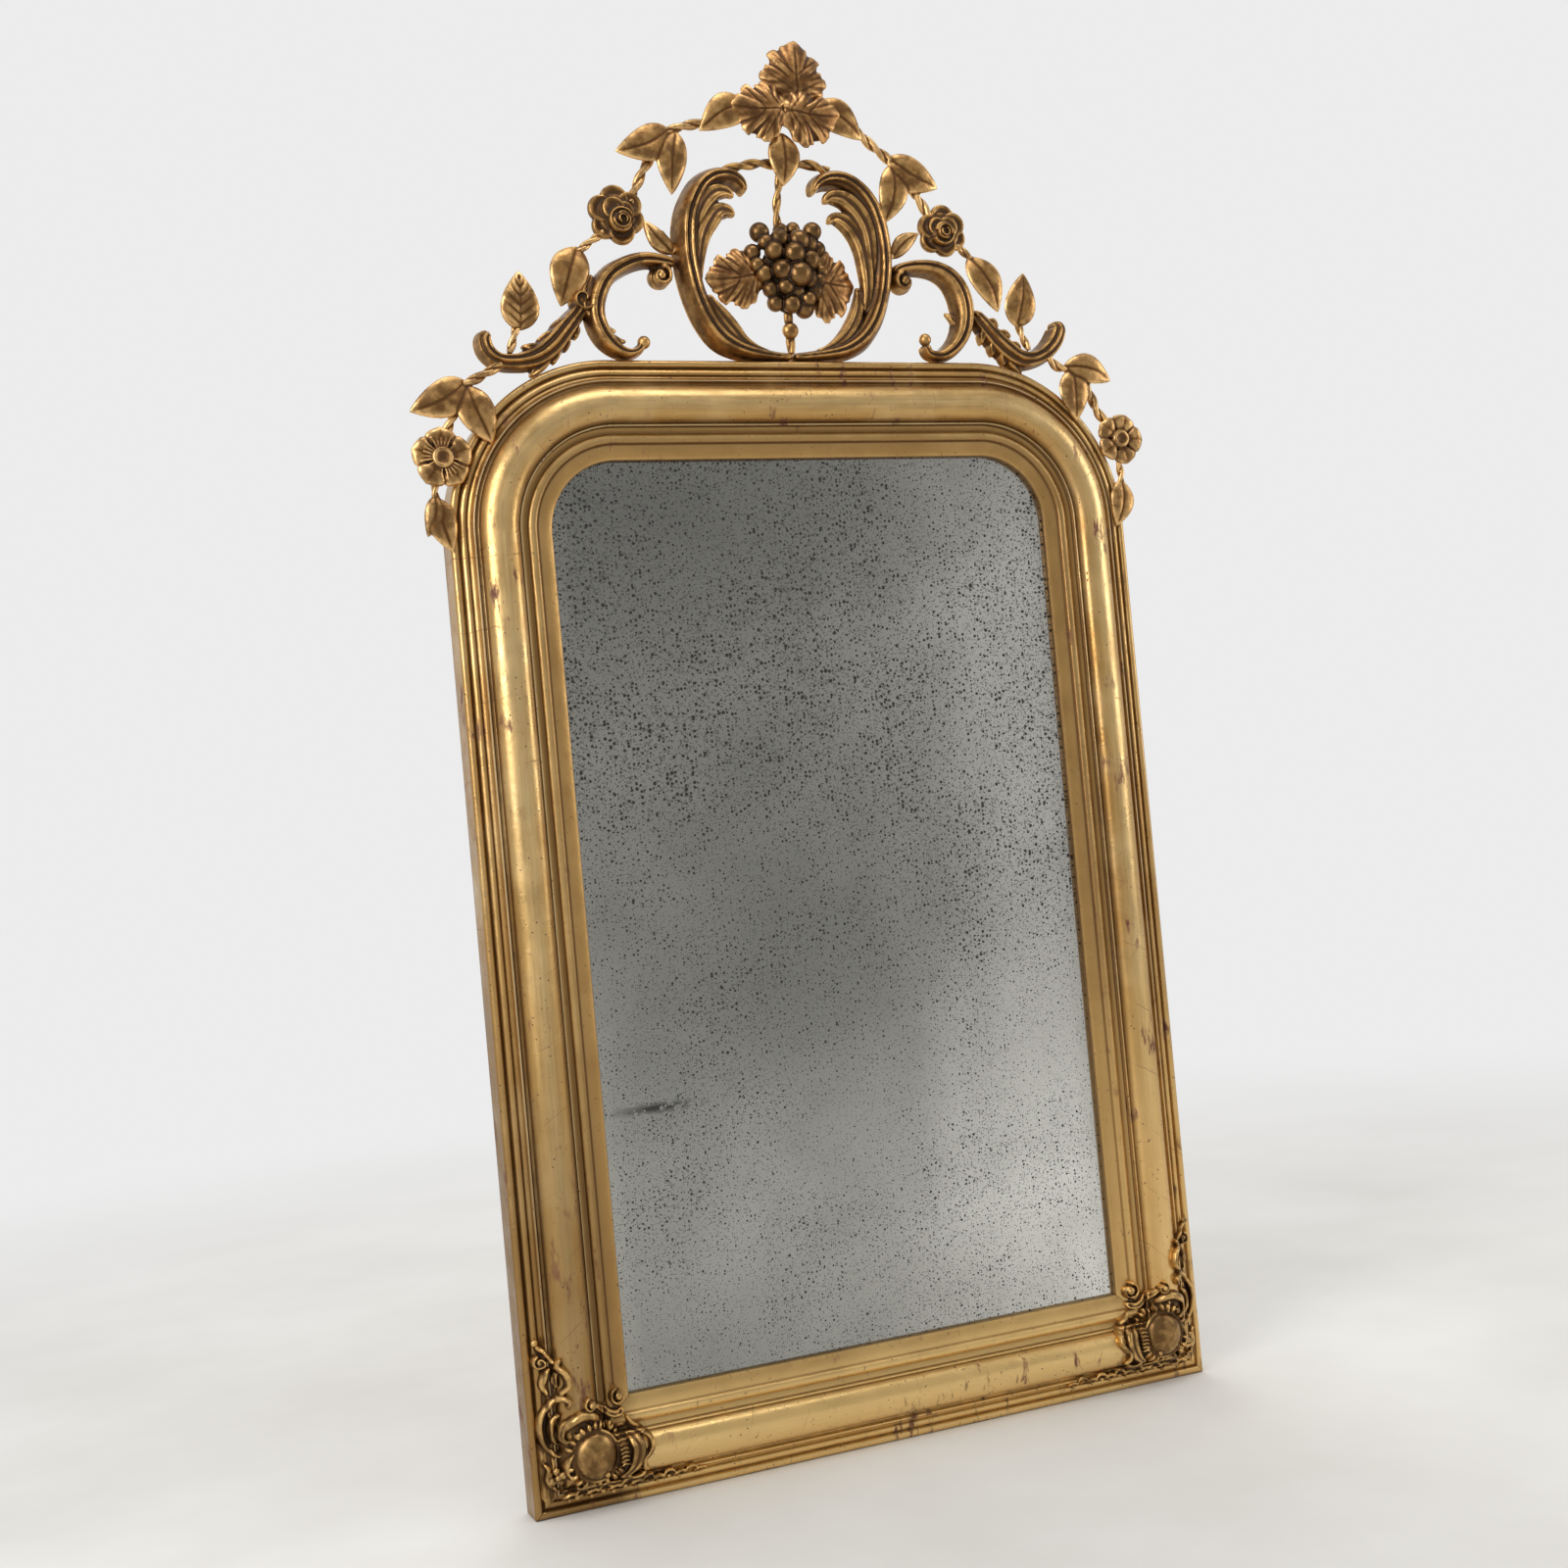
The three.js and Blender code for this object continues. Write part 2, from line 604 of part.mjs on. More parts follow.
// A plain leaf from its base to its tip: a sunk midrib, swelling halves and a bowed back.
function leaf(base, tip, width, { back = 18, thickness = LEAF_THICKNESS, bow = 5, fullest = 0.42 } = {}) {
  const start = new THREE.Vector3(base[0], 0, base[1]);
  const end = new THREE.Vector3(tip[0], 0, tip[1]);
  const along = end.clone().sub(start);
  const across = new THREE.Vector3(-along.z, 0, along.x).normalize();
  const power = Math.log(0.5) / Math.log(fullest);
  const at = (t, u, height) => {
    const point = start.clone().addScaledVector(along, t).addScaledVector(across, u);
    point.y = -back - height - bow * Math.sin(Math.PI * t);
    return point;
  };
  const rings = [0.05, 0.16, 0.32, 0.5, 0.68, 0.84, 0.94].map((t) => {
    const reach = (width / 2) * Math.sin(Math.PI * t ** power) ** 0.85;
    const thick = thickness * (0.45 + 0.55 * Math.sin(Math.PI * t));
    return [at(t, -reach, thick * 0.25), at(t, -reach * 0.5, thick), at(t, 0, thick * 0.72),
      at(t, reach * 0.5, thick), at(t, reach, thick * 0.25), at(t, 0, 0)];
  });
  return loft([[at(0, 0, thickness * 0.3)], ...rings, [at(1, 0, thickness * 0.2)]]);
}

// A disc of lobes around a centre: a front that swells ring by ring and a shallow back.
function lobedDisc([x, z], outline, { back, rise, thickness, steps = 36, turn = 0, lift = () => 0 }) {
  const positions = [];
  const push = (radius, angle, height) => {
    positions.push(x + radius * Math.sin(angle + turn));
    positions.push(-back - height);
    positions.push(z + radius * Math.cos(angle + turn));
  };
  const angles = Array.from({ length: steps }, (_, i) => (2 * Math.PI * i) / steps);
  push(0, 0, rise + thickness);
  angles.forEach((a) => push(outline(a) * 0.5, a, thickness + rise * 0.8 + lift(a)));
  angles.forEach((a) => push(outline(a), a, thickness * 0.5 + lift(a) * 0.4));
  angles.forEach((a) => push(outline(a) * 0.5, a, rise * 0.25));
  push(0, 0, 0);
  const triangles = [];
  const hub = positions.length / 3 - 1;
  for (let i = 0; i < steps; i += 1) {
    const j = (i + 1) % steps;
    triangles.push(0, 1 + j, 1 + i);
    for (const row of [0, 1]) {
      const a = 1 + row * steps;
      const b = a + steps;
      triangles.push(a + i, a + j, b + j, a + i, b + j, b + i);
    }
    triangles.push(hub, 1 + 2 * steps + i, 1 + 2 * steps + j);
  }
  return solidFromArrays(positions, facingOut(positions, triangles));
}

// A vine leaf's edge: five lobes, the one opposite the stalk longest, with small teeth.
function vineEdge(radius) {
  return (angle) => {
    const lobes = 0.74 + 0.2 * Math.cos(5 * angle) + 0.1 * Math.cos(angle);
    const teeth = 0.05 * Math.cos(15 * angle);
    return radius * (lobes + teeth);
  };
}

function vineLeaf(centre, radius, degrees, back, rise = 7) {
  const lift = (angle) => 2.4 * Math.cos(5 * angle);
  const turn = THREE.MathUtils.degToRad(degrees);
  return lobedDisc(centre, vineEdge(radius), { back, rise, thickness: 6, steps: 30, turn, lift });
}

// A ball squashed front to back.
function ball([x, z], radius, back, squash = 0.9, fineness = 1) {
  const geometry = new THREE.IcosahedronGeometry(radius, fineness);
  geometry.scale(1, squash, 1);
  geometry.translate(x, -back - radius * squash, z);
  return solidFromGeometry(geometry);
}

// A full rose: round outer petals around a cup whose turned rings stand for the furled heart.
function rose([x, z], radius, [heartX, heartZ]) {
  const petals = 5;
  let body = null;
  for (let i = 0; i < petals; i += 1) {
    const angle = (2 * Math.PI * i) / petals + 0.3;
    const centre = [x + radius * 0.5 * Math.sin(angle), z + radius * 0.5 * Math.cos(angle)];
    const petal = ball(centre, radius * 0.52, 6, 0.72);
    body = body ? body.add(petal) : petal;
  }
  const rings = [[0, 10], [0.72, 10], [0.76, 28], [0.6, 34], [0.54, 30], [0.42, 38],
    [0.34, 33], [0.22, 40], [0, 39]];
  const heart = new THREE.LatheGeometry(
    rings.map(([r, y]) => new THREE.Vector2(r * radius * 0.8, -y)), 11);
  heart.translate(heartX, 0, heartZ);
  return body.add(solidFromGeometry(heart));
}

// An open flower: five cupped petals with ribs, and a button in the middle.
function flower([x, z], radius, degrees) {
  const edge = (angle) => radius * (0.84 + 0.16 * Math.cos(5 * angle));
  const rib = (angle) => 2.2 * Math.cos(20 * angle) + 2 * Math.cos(5 * angle);
  const petals = lobedDisc([x, z], edge, {
    back: 20, rise: 5, thickness: 8, steps: 40, turn: THREE.MathUtils.degToRad(degrees), lift: rib,
  });
  const button = ball([x, z], radius * 0.32, 24, 0.75);
  return petals.add(button);
}

// ---- The cartouche: two big acanthus C-scrolls foot to foot ----
const cartoucheRoutes = {
  left: {
    body: [[-44, 201, 13], [-72, 212, 26], [-99, 198, 34], [-117, 171, 34], [-124, 135, 31],
      [-123, 95, 30], [-113, 60, 31], [-95, 33, 28], [-70, 16, 22], [-44, 8, 13], [-0.2, 6.6, 12]],
    lobes: [
      [[-112, 160, 16], [-101, 184, 20], [-82, 195, 16], [-60, 195, 8]],
      [[-113, 128, 14], [-106, 152, 20], [-87, 169, 20], [-62, 168, 10]],
      [[-58, 24, 10], [-78, 42, 17], [-94, 62, 15], [-103, 79, 6]],
    ],
  },
  right: {
    body: [[44, 203, 15], [72, 215, 26], [99, 201, 36], [116, 173, 37], [119, 137, 38],
      [117, 100, 36], [110, 64, 32], [93, 36, 28], [70, 18, 23], [44, 9, 14], [0.2, 6.6, 12]],
    lobes: [
      [[111, 158, 16], [101, 184, 20], [82, 196, 16], [60, 193, 8]],
      [[112, 124, 14], [105, 150, 20], [86, 167, 20], [64, 169, 10]],
      [[56, 24, 10], [76, 42, 16], [88, 66, 13], [90, 90, 6]],
    ],
  },
};
for (const side of ['left', 'right']) {
  const { body, lobes } = cartoucheRoutes[side];
  let carving = scroll(body, { depth: CARTOUCHE_DEPTH, steps: 22 });
  for (const lobe of lobes) {
    carving = carving.add(scroll(lobe, { depth: 16, back: 20, steps: 6, section: plainSection }));
  }
  seat(`cartouche_scroll_${side}`, carving, DARK_GOLD);
}

// ---- C-scrolls and S-scrolls that step down to the shoulders ----
const cScrolls = {
  left: {
    body: [[-142, 92, 10], [-150, 112, 15], [-180, 115, 19], [-210, 104, 22], [-230, 82, 26],
      [-236, 52, 26], [-230, 25, 22], [-214, 10, 18], [-196, 7, 12], [-185, 16, 9]],
    eye: [-157, 96],
    knob: [-184, 18],
  },
  right: {
    body: [[136, 92, 10], [142, 112, 15], [172, 116, 19], [202, 108, 22], [222, 86, 26],
      [227, 54, 28], [221, 27, 26], [203, 11, 20], [186, 9, 13], [174, 18, 9]],
    eye: [150, 95],
    knob: [172, 25],
  },
};
const sScrolls = {
  left: {
    body: [[-252, 62, 24], [-262, 44, 30], [-283, 22, 32], [-304, 4, 32], [-332, -3, 20],
      [-356, -2, 19], [-368, 14, 19], [-362, 28, 13]],
    foot: [[-300, 8, 20], [-312, -6, 16], [-320, -24, 8]],
  },
  right: {
    body: [[243, 62, 24], [252, 44, 28], [268, 22, 30], [286, 6, 30], [314, 7, 22],
      [341, 14, 22], [356, 32, 24], [354, 48, 16]],
    foot: [[282, 8, 20], [292, -4, 16], [298, -18, 8]],
  },
};
for (const side of ['left', 'right']) {
  const { body, eye, knob } = cScrolls[side];
  const carving = scroll(body, { depth: SCROLL_DEPTH, back: 3, steps: 20 })
    .add(boss(eye, 12, 3, 28)).add(boss(knob, 7.5, 6, 24));
  seat(`c_scroll_${side}`, carving, DARK_GOLD);
}
for (const side of ['left', 'right']) {
  const { body, foot } = sScrolls[side];
  const carving = scroll(body, { depth: SCROLL_DEPTH, back: 3, steps: 17 })
    .add(scroll(foot, { depth: 18, back: 4, steps: 6, section: plainSection }));
  seat(`s_scroll_${side}`, carving, DARK_GOLD);
}

// ---- Twisted links over the cartouche, the grape stem and the peg below the bunch ----
seat('cartouche_link', stem(
  [[-68, 222], [-40, 230], [-16, 234], [5, 233], [24, 234], [44, 235], [66, 227]], { back: 6 }), DARK_GOLD);
seat('grape_bunch', grapeBunch(), DARK_GOLD, COARSE_DETAIL);
seat('grape_stem', stem([[4, 226], [1, 205], [-4, 185], [-5, 166], [-4, 150]], { back: 9, pitch: 60 }),
  DARK_GOLD);

function grapeBunch() {
  const grapes = [
    [-31, 150, 11, 8], [-9, 142, 10, 14], [14, 139, 12, 16], [36, 153, 10, 8],
    [-41, 127, 9, 6], [-19, 126, 10, 18], [4, 122, 10, 22], [26, 117, 11, 14], [41, 133, 9, 6],
    [-30, 101, 10, 10], [-12, 103, 11, 20], [8, 98, 14, 20], [44, 106, 8, 6],
    [32, 82, 9, 8], [22, 95, 10, 14], [-18, 68, 9, 8], [17, 61, 10, 10], [8, 80, 8, 12], [0, 66, 10, 12],
  ];
  const core = ball([4, 106], 36, 4, 0.34).add(ball([0, 76], 22, 6, 0.5));
  return grapes.reduce((bunch, [x, z, radius, back]) =>
    bunch.add(ball([x, z], radius, back, 0.95)), core);
}

seat('cartouche_peg', ball([-2, 38], PEG_RADIUS, 8).add(
  stem([[-2, 60], [-2, 40], [-2, 8]], { thickness: 12, back: 8, pitch: 90 })), DARK_GOLD);

const grapeLeafBack = 12;
seat('grape_leaf_left', vineLeaf([-68, 90], 36, -105, grapeLeafBack), GOLD);
seat('grape_leaf_right', vineLeaf([58, 82], 37, 110, grapeLeafBack), GOLD);

// ---- Upper sprigs: the vine from the crown to the rose, with its pair of leaves ----
const upperSprigs = {
  left: {
    vine: [[8, 293], [-45, 288], [-90, 277], [-118, 270], [-140, 258], [-152, 238], [-167, 215],
      [-179, 192], [-190, 176]],
    leaves: [[[-132, 266], [-197, 238], 38], [[-124, 262], [-134, 192], 40]],
  },
  right: {
    vine: [[14, 293], [58, 290], [104, 280], [128, 260], [146, 246], [162, 228], [178, 206],
      [188, 190], [198, 172]],
    leaves: [[[146, 246], [207, 214], 40], [[150, 238], [133, 167], 40]],
  },
};
const roses = {
  left: { centre: [-203, 166], radius: 35, heart: [-200, 158] },
  right: { centre: [209, 161], radius: 34, heart: [205, 156] },
};
for (const side of ['left', 'right']) {
  const { centre, radius, heart } = roses[side];
  seat(`rose_${side}`, rose(centre, radius, heart), DARK_GOLD, COARSE_DETAIL);
}
for (const side of ['left', 'right']) {
  const { vine, leaves } = upperSprigs[side];
  let sprig = stem(vine, { back: 8 });
  for (const [base, tip, width] of leaves) sprig = sprig.add(leaf(base, tip, width, { back: 14 }));
  seat(`upper_sprig_${side}`, sprig, GOLD);
}

// ---- The crown of vine leaves ----
seat('crown_back_leaf_left', leaf([-30, 300], [-92, 266], 40, { back: 16 }), GOLD);
seat('crown_back_leaf_right', leaf([48, 300], [110, 266], 40, { back: 16 }), GOLD);
seat('crown_leaf_top', vineLeaf([30, 338], 42, 8, 16, 9).add(
  stem([[30, 334], [33, 314], [36, 290]], { thickness: 8, back: 11, pitch: 30 })), BRIGHT_GOLD);
seat('crown_leaf_left', vineLeaf([-22, 290], 38, -100, 24), BRIGHT_GOLD);
seat('crown_leaf_right', vineLeaf([48, 287], 38, 112, 24), BRIGHT_GOLD);
seat('crown_leaf_hanging', leaf([8, 272], [5, 206], 40, { back: 17, bow: 3 }), BRIGHT_GOLD);

// ---- Leaves with their own stalks: from rose to scroll, beside the cartouche, upright ----
const stalkedLeaves = {
  leaf_below_rose_left: { stalk: [[-221, 144], [-240, 131], [-256, 120]], base: [-252, 126],
    tip: [-278, 62], width: 44 },
  leaf_below_rose_right: { stalk: [[230, 142], [244, 131], [254, 122]], base: [246, 128],
    tip: [277, 64], width: 42 },
  leaf_beside_rose_left: { stalk: [[-138, 128], [-146, 140], [-154, 148]], base: [-140, 134],
    tip: [-172, 160], width: 24 },
  leaf_beside_rose_right: { stalk: [[138, 128], [146, 140], [154, 148]], base: [140, 132],
    tip: [176, 156], width: 22 },
  upright_leaf_left: { stalk: [[-326, 40], [-334, 22], [-340, 6]], base: [-325, 34],
    tip: [-322, 98], width: 44 },
  upright_leaf_right: { stalk: [[303, 56], [307, 36], [316, 16]], base: [301, 46],
    tip: [316, 111], width: 43 },
};
for (const [name, { stalk, base, tip, width }] of Object.entries(stalkedLeaves)) {
  const stalked = stem(stalk, { thickness: 9, back: 9, pitch: 30 }).add(leaf(base, tip, width, { back: 13 }));
  seat(name, stalked, GOLD);
}

// ---- Lower sprigs beside the shoulders ----
const flowers = { left: [[-428, -110], 34, 0], right: [[426, -95], 33, 20] };
for (const side of ['left', 'right']) {
  const [centre, radius, degrees] = flowers[side];
  seat(`flower_${side}`, flower(centre, radius, degrees), GOLD);
}
const lowerSprigs = {
  left: {
    vine: [[-352, -6], [-376, -20], [-398, -32], [-406, -54], [-418, -78], [-428, -92]],
    leaves: [[[-396, -28], [-459, -59], 38], [[-396, -32], [-369, -96], 42]],
  },
  right: {
    vine: [[338, 6], [352, -6], [376, -10], [392, -36], [402, -62], [418, -78]],
    leaves: [[[362, -4], [424, -22], 36], [[372, -8], [369, -74], 42]],
  },
};
for (const side of ['left', 'right']) {
  const { vine, leaves } = lowerSprigs[side];
  let sprig = stem(vine, { back: 14, thickness: 10 });
  for (const [base, tip, width] of leaves) sprig = sprig.add(leaf(base, tip, width, { back: 19 }));
  seat(`lower_sprig_${side}`, sprig, GOLD);
}
const drops = {
  left: { stalk: [[-434, -126], [-438, -146], [-436, -164]], base: [-436, -154],
    tip: [-424, -213], width: 36 },
  right: { stalk: [[424, -122], [426, -142], [424, -160]], base: [424, -150], tip: [412, -206], width: 38 },
};
for (const side of ['left', 'right']) {
  const { stalk, base, tip, width } = drops[side];
  const drop = stem(stalk, { thickness: 9, back: 16, pitch: 30 })
    .add(leaf(base, tip, width, { back: 20 }));
  seat(`drop_leaf_${side}`, drop, GOLD);
}

// ---- Corner ornaments: a domed cabochon in strapwork, laid over the bottom mitres ----
// The front of the moulding at a width from the outer edge.
function frontHeight(width) {
  const front = [...frameProfile.slice(1, -5), ...slipProfile.slice(3, -3)];
  const next = front.findIndex(([across]) => across >= width);
  if (next < 1) return front[next < 0 ? front.length - 1 : 0][1];
  const [lowAcross, lowHeight] = front[next - 1];
  const [highAcross, highHeight] = front[next];
  const t = (width - lowAcross) / Math.max(highAcross - lowAcross, 1e-6);
  return lowHeight + (highHeight - lowHeight) * t;
}

// The highest front close to a width: what rests on the moulding bridges its narrow hollows.
const undersidePitch = SIGHT_WIDTH / UNDERSIDE_STEPS;
const restingHeight = (width) => Math.max(...[-1, -0.75, -0.5, -0.25, 0, 0.25, 0.5, 0.75, 1].map(
  (step) => frontHeight(width + step * undersidePitch)));

// The outline of the underside of what rests on the moulding.
const underside = Array.from({ length: UNDERSIDE_STEPS + 1 }, (_, i) => [
  i * undersidePitch, restingHeight(i * undersidePitch) + SEAT_GAP,
]);
const undersideProfile = [[0, 0], ...underside, [SIGHT_WIDTH, 0]];

// Places a point by its distances from the frame's outer side and from its foot.
const atCorner = (side) => (x, z) => ({
  x: side * (half - x),
  z,
  y: heightToY(restingHeight(Math.min(x, z)) - ORNAMENT_SINK),
});

const strapwork = [
  [[14, 26, 10], [12, 60, 12], [11, 92, 12], [17, 124, 12], [30, 146, 12], [22, 170, 12], [11, 190, 7]],
  [[20, 15, 11], [52, 22, 14], [88, 21, 12], [120, 27, 12], [150, 24, 9], [176, 20, 5]],
  [[30, 90, 9], [42, 104, 14], [60, 108, 14], [74, 100, 9]],
  [[110, 116, 12], [107, 94, 12], [115, 74, 14], [119, 56, 12], [106, 40, 12], [90, 30, 9]],
  [[86, 30, 9], [95, 56, 11], [92, 84, 10]],
  [[22, 30, 9], [30, 60, 11], [34, 92, 10]],
  [[72, 100, 9], [88, 92, 12], [106, 100, 12]],
];
for (const [side, sign] of [['left', -1], ['right', 1]]) {
  const place = atCorner(sign);
  let carving = cabochon(place);
  for (const route of strapwork) {
    carving = carving.add(scroll(route, {
      depth: ORNAMENT_RELIEF, steps: 8, section: plainSection, place,
    }));
  }
  carving = carving.add(boss([62, 116], 8, 0, ORNAMENT_RELIEF, place));
  carving = carving.add(boss([101, 117], 11, 0, ORNAMENT_RELIEF, place));
  for (const run of ['bottom', side]) {
    const stations = runs[run].map((end) => ({
      ...end, x: Math.sign(end.x) * half, z: Math.max(0, end.z - JOINT_GAP),
    }));
    carving = carving.subtract(moulding(undersideProfile, stations));
  }
  add(`corner_ornament_${side}`, tidied(carving, FINEST_DETAIL), DARK_GOLD);
}

function cabochon(place) {
  const geometry = new THREE.SphereGeometry(1, 14, 8);
  geometry.scale(CABOCHON_WIDTH / 2, CABOCHON_RELIEF, CABOCHON_HEIGHT / 2);
  const { x, z, y } = place(CABOCHON_INSET, CABOCHON_INSET);
  geometry.translate(x, y, z);
  return solidFromGeometry(geometry);
}

export default group;
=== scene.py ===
import math
import bmesh
import bpy
import numpy as np
from mathutils import Matrix, Vector


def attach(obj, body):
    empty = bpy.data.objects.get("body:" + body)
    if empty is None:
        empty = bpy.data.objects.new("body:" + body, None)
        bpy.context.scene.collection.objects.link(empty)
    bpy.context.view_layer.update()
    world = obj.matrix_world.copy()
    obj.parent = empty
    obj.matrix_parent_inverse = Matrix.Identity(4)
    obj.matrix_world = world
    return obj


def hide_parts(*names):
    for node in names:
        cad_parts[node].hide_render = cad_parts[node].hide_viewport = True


# %% [markdown]
# # A gilt overmantel mirror
# The real mirror is a pine frame of six moulded runs, coated with gesso and red bole and gilded with gold
# leaf. An open crest of carved scrolls, roses and vine leaves stands on its round shoulders. This file
# dresses the plain solids of the same mirror: it gives them their carving, their gilding and a small
# studio to stand in. All lengths in the tables are millimetres, as a maker's drawing has them; `MM` turns
# them into metres.

# %% Load the plain solids
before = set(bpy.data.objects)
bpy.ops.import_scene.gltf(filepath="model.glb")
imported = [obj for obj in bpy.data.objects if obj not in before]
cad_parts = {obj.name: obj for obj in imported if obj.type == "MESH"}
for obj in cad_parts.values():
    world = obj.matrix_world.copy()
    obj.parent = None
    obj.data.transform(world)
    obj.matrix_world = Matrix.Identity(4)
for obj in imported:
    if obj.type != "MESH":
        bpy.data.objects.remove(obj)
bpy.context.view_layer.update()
MM = 0.001
FRAME_HEIGHT = 1255
HALF_WIDTH = 425
SHOULDER_RADIUS = 195
BACK_Y = 18
SPRING_X = HALF_WIDTH - SHOULDER_RADIUS
SPRING_Z = FRAME_HEIGHT - SHOULDER_RADIUS

# %% [markdown]
# ## The camera
# The photograph was taken from the left, a little below the middle, with the mirror leaning so that it
# looks rolled. The lines of the frame give the camera's place and its turn: three unit vectors say which
# way its right, its up and its view point in the mirror's own frame.

# %% Camera at the photograph's viewing angle
CAMERA_PLACE = Vector((-0.92180527, -2.09573132, 0.71730054))
CAMERA_RIGHT = Vector((0.9210295, -0.37890731, -0.09018819))
CAMERA_UP = Vector((0.07531266, -0.05393203, 0.99570043))
CAMERA_VIEW = Vector((0.3821422, 0.92386178, 0.02113647))
camera_data = bpy.data.cameras.new("camera")
camera_data.lens = 45
camera_data.sensor_width = 36
camera = bpy.data.objects.new("camera", camera_data)
turn = Matrix((CAMERA_RIGHT, CAMERA_UP, -CAMERA_VIEW)).transposed().to_4x4()
camera.matrix_world = Matrix.Translation(CAMERA_PLACE) @ turn
bpy.context.scene.collection.objects.link(camera)
bpy.context.scene.camera = camera
bpy.context.scene.view_settings.view_transform = "Standard"
print("camera stands", round(CAMERA_PLACE.length, 2), "m from the mirror's foot")

# %% [markdown]
# ## Helpers for materials
# A hex colour is what a screen shows, and the renderer works in linear light, so `linear` turns one into
# the other. `put` adds one node to a tree, sets what it is told, links what it is given and gives back
# the node's first output, or the one that `out` names. `toned` fills a colour ramp.

# %% Helpers for colours and nodes
def linear(hex_colour):
    """Turns an sRGB hex colour into the linear colour that a socket takes."""
    parts = [int(hex_colour[i:i + 2], 16) / 255 for i in (1, 3, 5)]
    return (*(c / 12.92 if c <= 0.04045 else ((c + 0.055) / 1.055) ** 2.4 for c in parts), 1.0)


def put(tree, kind, inputs=(), out=0, **settings):
    """Adds a node with its settings; an input takes a value or another node's output."""
    node = tree.nodes.new(kind)
    for name, value in settings.items():
        setattr(node, name, value)
    for key, value in (inputs if isinstance(inputs, dict) else dict(enumerate(inputs))).items():
        if isinstance(value, bpy.types.NodeSocket):
            tree.links.new(value, node.inputs[key])
        else:
            node.inputs[key].default_value = value
    return node if out is None else node.outputs[out]


def toned(ramp, stops):
    """Gives a colour ramp its stops, as place and colour or place and grey number; gives back its colour."""
    colours = [(place, linear(c) if isinstance(c, str) else (c, c, c, 1)) for place, c in stops]
    while len(ramp.color_ramp.elements) < len(colours):
        ramp.color_ramp.elements.new(0.5)
    for element, (place, colour) in zip(ramp.color_ramp.elements, colours):
        element.position = place
        element.color = colour
    return ramp.outputs[0]


def new_material(name):
    """An empty node material with its output and its Principled shader."""
    material = bpy.data.materials.new(name)
    material.use_nodes = True
    tree = material.node_tree
    tree.nodes.clear()
    shader = put(tree, "ShaderNodeBsdfPrincipled", out=None)
    put(tree, "ShaderNodeOutputMaterial", {"Surface": shader.outputs[0]}, out=None)
    return material, tree, shader


print("linear of middle grey:", round(linear("#808080")[0], 3))

# %% [markdown]
# ## Floor, background and light
# A gilder judges leaf under a big soft window, because gold shows what it reflects. So the mirror stands
# on a pale floor in a pale room, with one large soft lamp on the left, as in the photograph, and a weak
# one on the right. The room is paler behind the mirror than in front of it, so the mouldings show light
# and dark.

# %% The pale room and its floor
world = bpy.data.worlds.new("pale room")
bpy.context.scene.world = world
world.use_nodes = True
tree = world.node_tree
tree.nodes.clear()
direction = put(tree, "ShaderNodeTexCoord", out="Generated")
axes = put(tree, "ShaderNodeSeparateXYZ", {0: direction}, out=None)
behind = put(tree, "ShaderNodeMapRange", {
    "Value": axes.outputs["Y"], "From Min": -0.5, "From Max": 0.45}, interpolation_type="SMOOTHSTEP")
sky = put(tree, "ShaderNodeMix", {
    0: behind, 6: linear("#b3b1ad"), 7: linear("#ececec")}, out=2, data_type="RGBA")
seen = put(tree, "ShaderNodeLightPath", out="Is Camera Ray")
sky = put(tree, "ShaderNodeMix", {0: seen, 6: sky, 7: linear("#ececec")}, out=2, data_type="RGBA")
background = put(tree, "ShaderNodeBackground", {"Color": sky}, out=None)
put(tree, "ShaderNodeOutputWorld", {"Surface": background.outputs[0]}, out=None)

floor_mesh = bpy.data.meshes.new("floor")
FLOOR_REACH = 9.0
floor_mesh.from_pydata([(x, y, -0.0005) for x, y in (
    (-FLOOR_REACH, -FLOOR_REACH), (FLOOR_REACH, -FLOOR_REACH), (FLOOR_REACH, FLOOR_REACH),
    (-FLOOR_REACH, FLOOR_REACH))], [], [(0, 1, 2, 3)])
floor = bpy.data.objects.new("floor", floor_mesh)
bpy.context.scene.collection.objects.link(floor)

# Screed: cement troweled smooth and sealed, so it is matt with faint pale clouds.
material, tree, shader = new_material("troweled_screed")
place = put(tree, "ShaderNodeTexCoord", out="Object")
clouds = put(tree, "ShaderNodeTexNoise", {"Vector": place, "Scale": 2.2, "Detail": 5.0, "Roughness": 0.55})
tone = toned(put(tree, "ShaderNodeValToRGB", {0: clouds}, out=None), [(0.3, "#d9d7d2"), (0.7, "#e6e5e2")])
distance = put(tree, "ShaderNodeVectorMath", {0: place}, out="Value", operation="LENGTH")
far = put(tree, "ShaderNodeMapRange", {
    "Value": distance, "From Min": 0.7, "From Max": 3.2}, interpolation_type="SMOOTHSTEP")
tree.links.new(tone, shader.inputs["Base Color"])
shader.inputs["Roughness"].default_value = 0.75
glow = put(tree, "ShaderNodeEmission", {"Color": linear("#ececec"), "Strength": 1.0}, out=None)
seen = put(tree, "ShaderNodeLightPath", out="Is Camera Ray")
shown = put(tree, "ShaderNodeMixShader", {
    0: put(tree, "ShaderNodeMath", [far, seen], operation="MULTIPLY"),
    1: shader.outputs[0], 2: glow.outputs[0]}, out=None)
tree.links.new(shown.outputs[0], tree.nodes["Material Output"].inputs["Surface"])
floor.data.materials.append(material)
print("floor", 2 * FLOOR_REACH, "m wide")

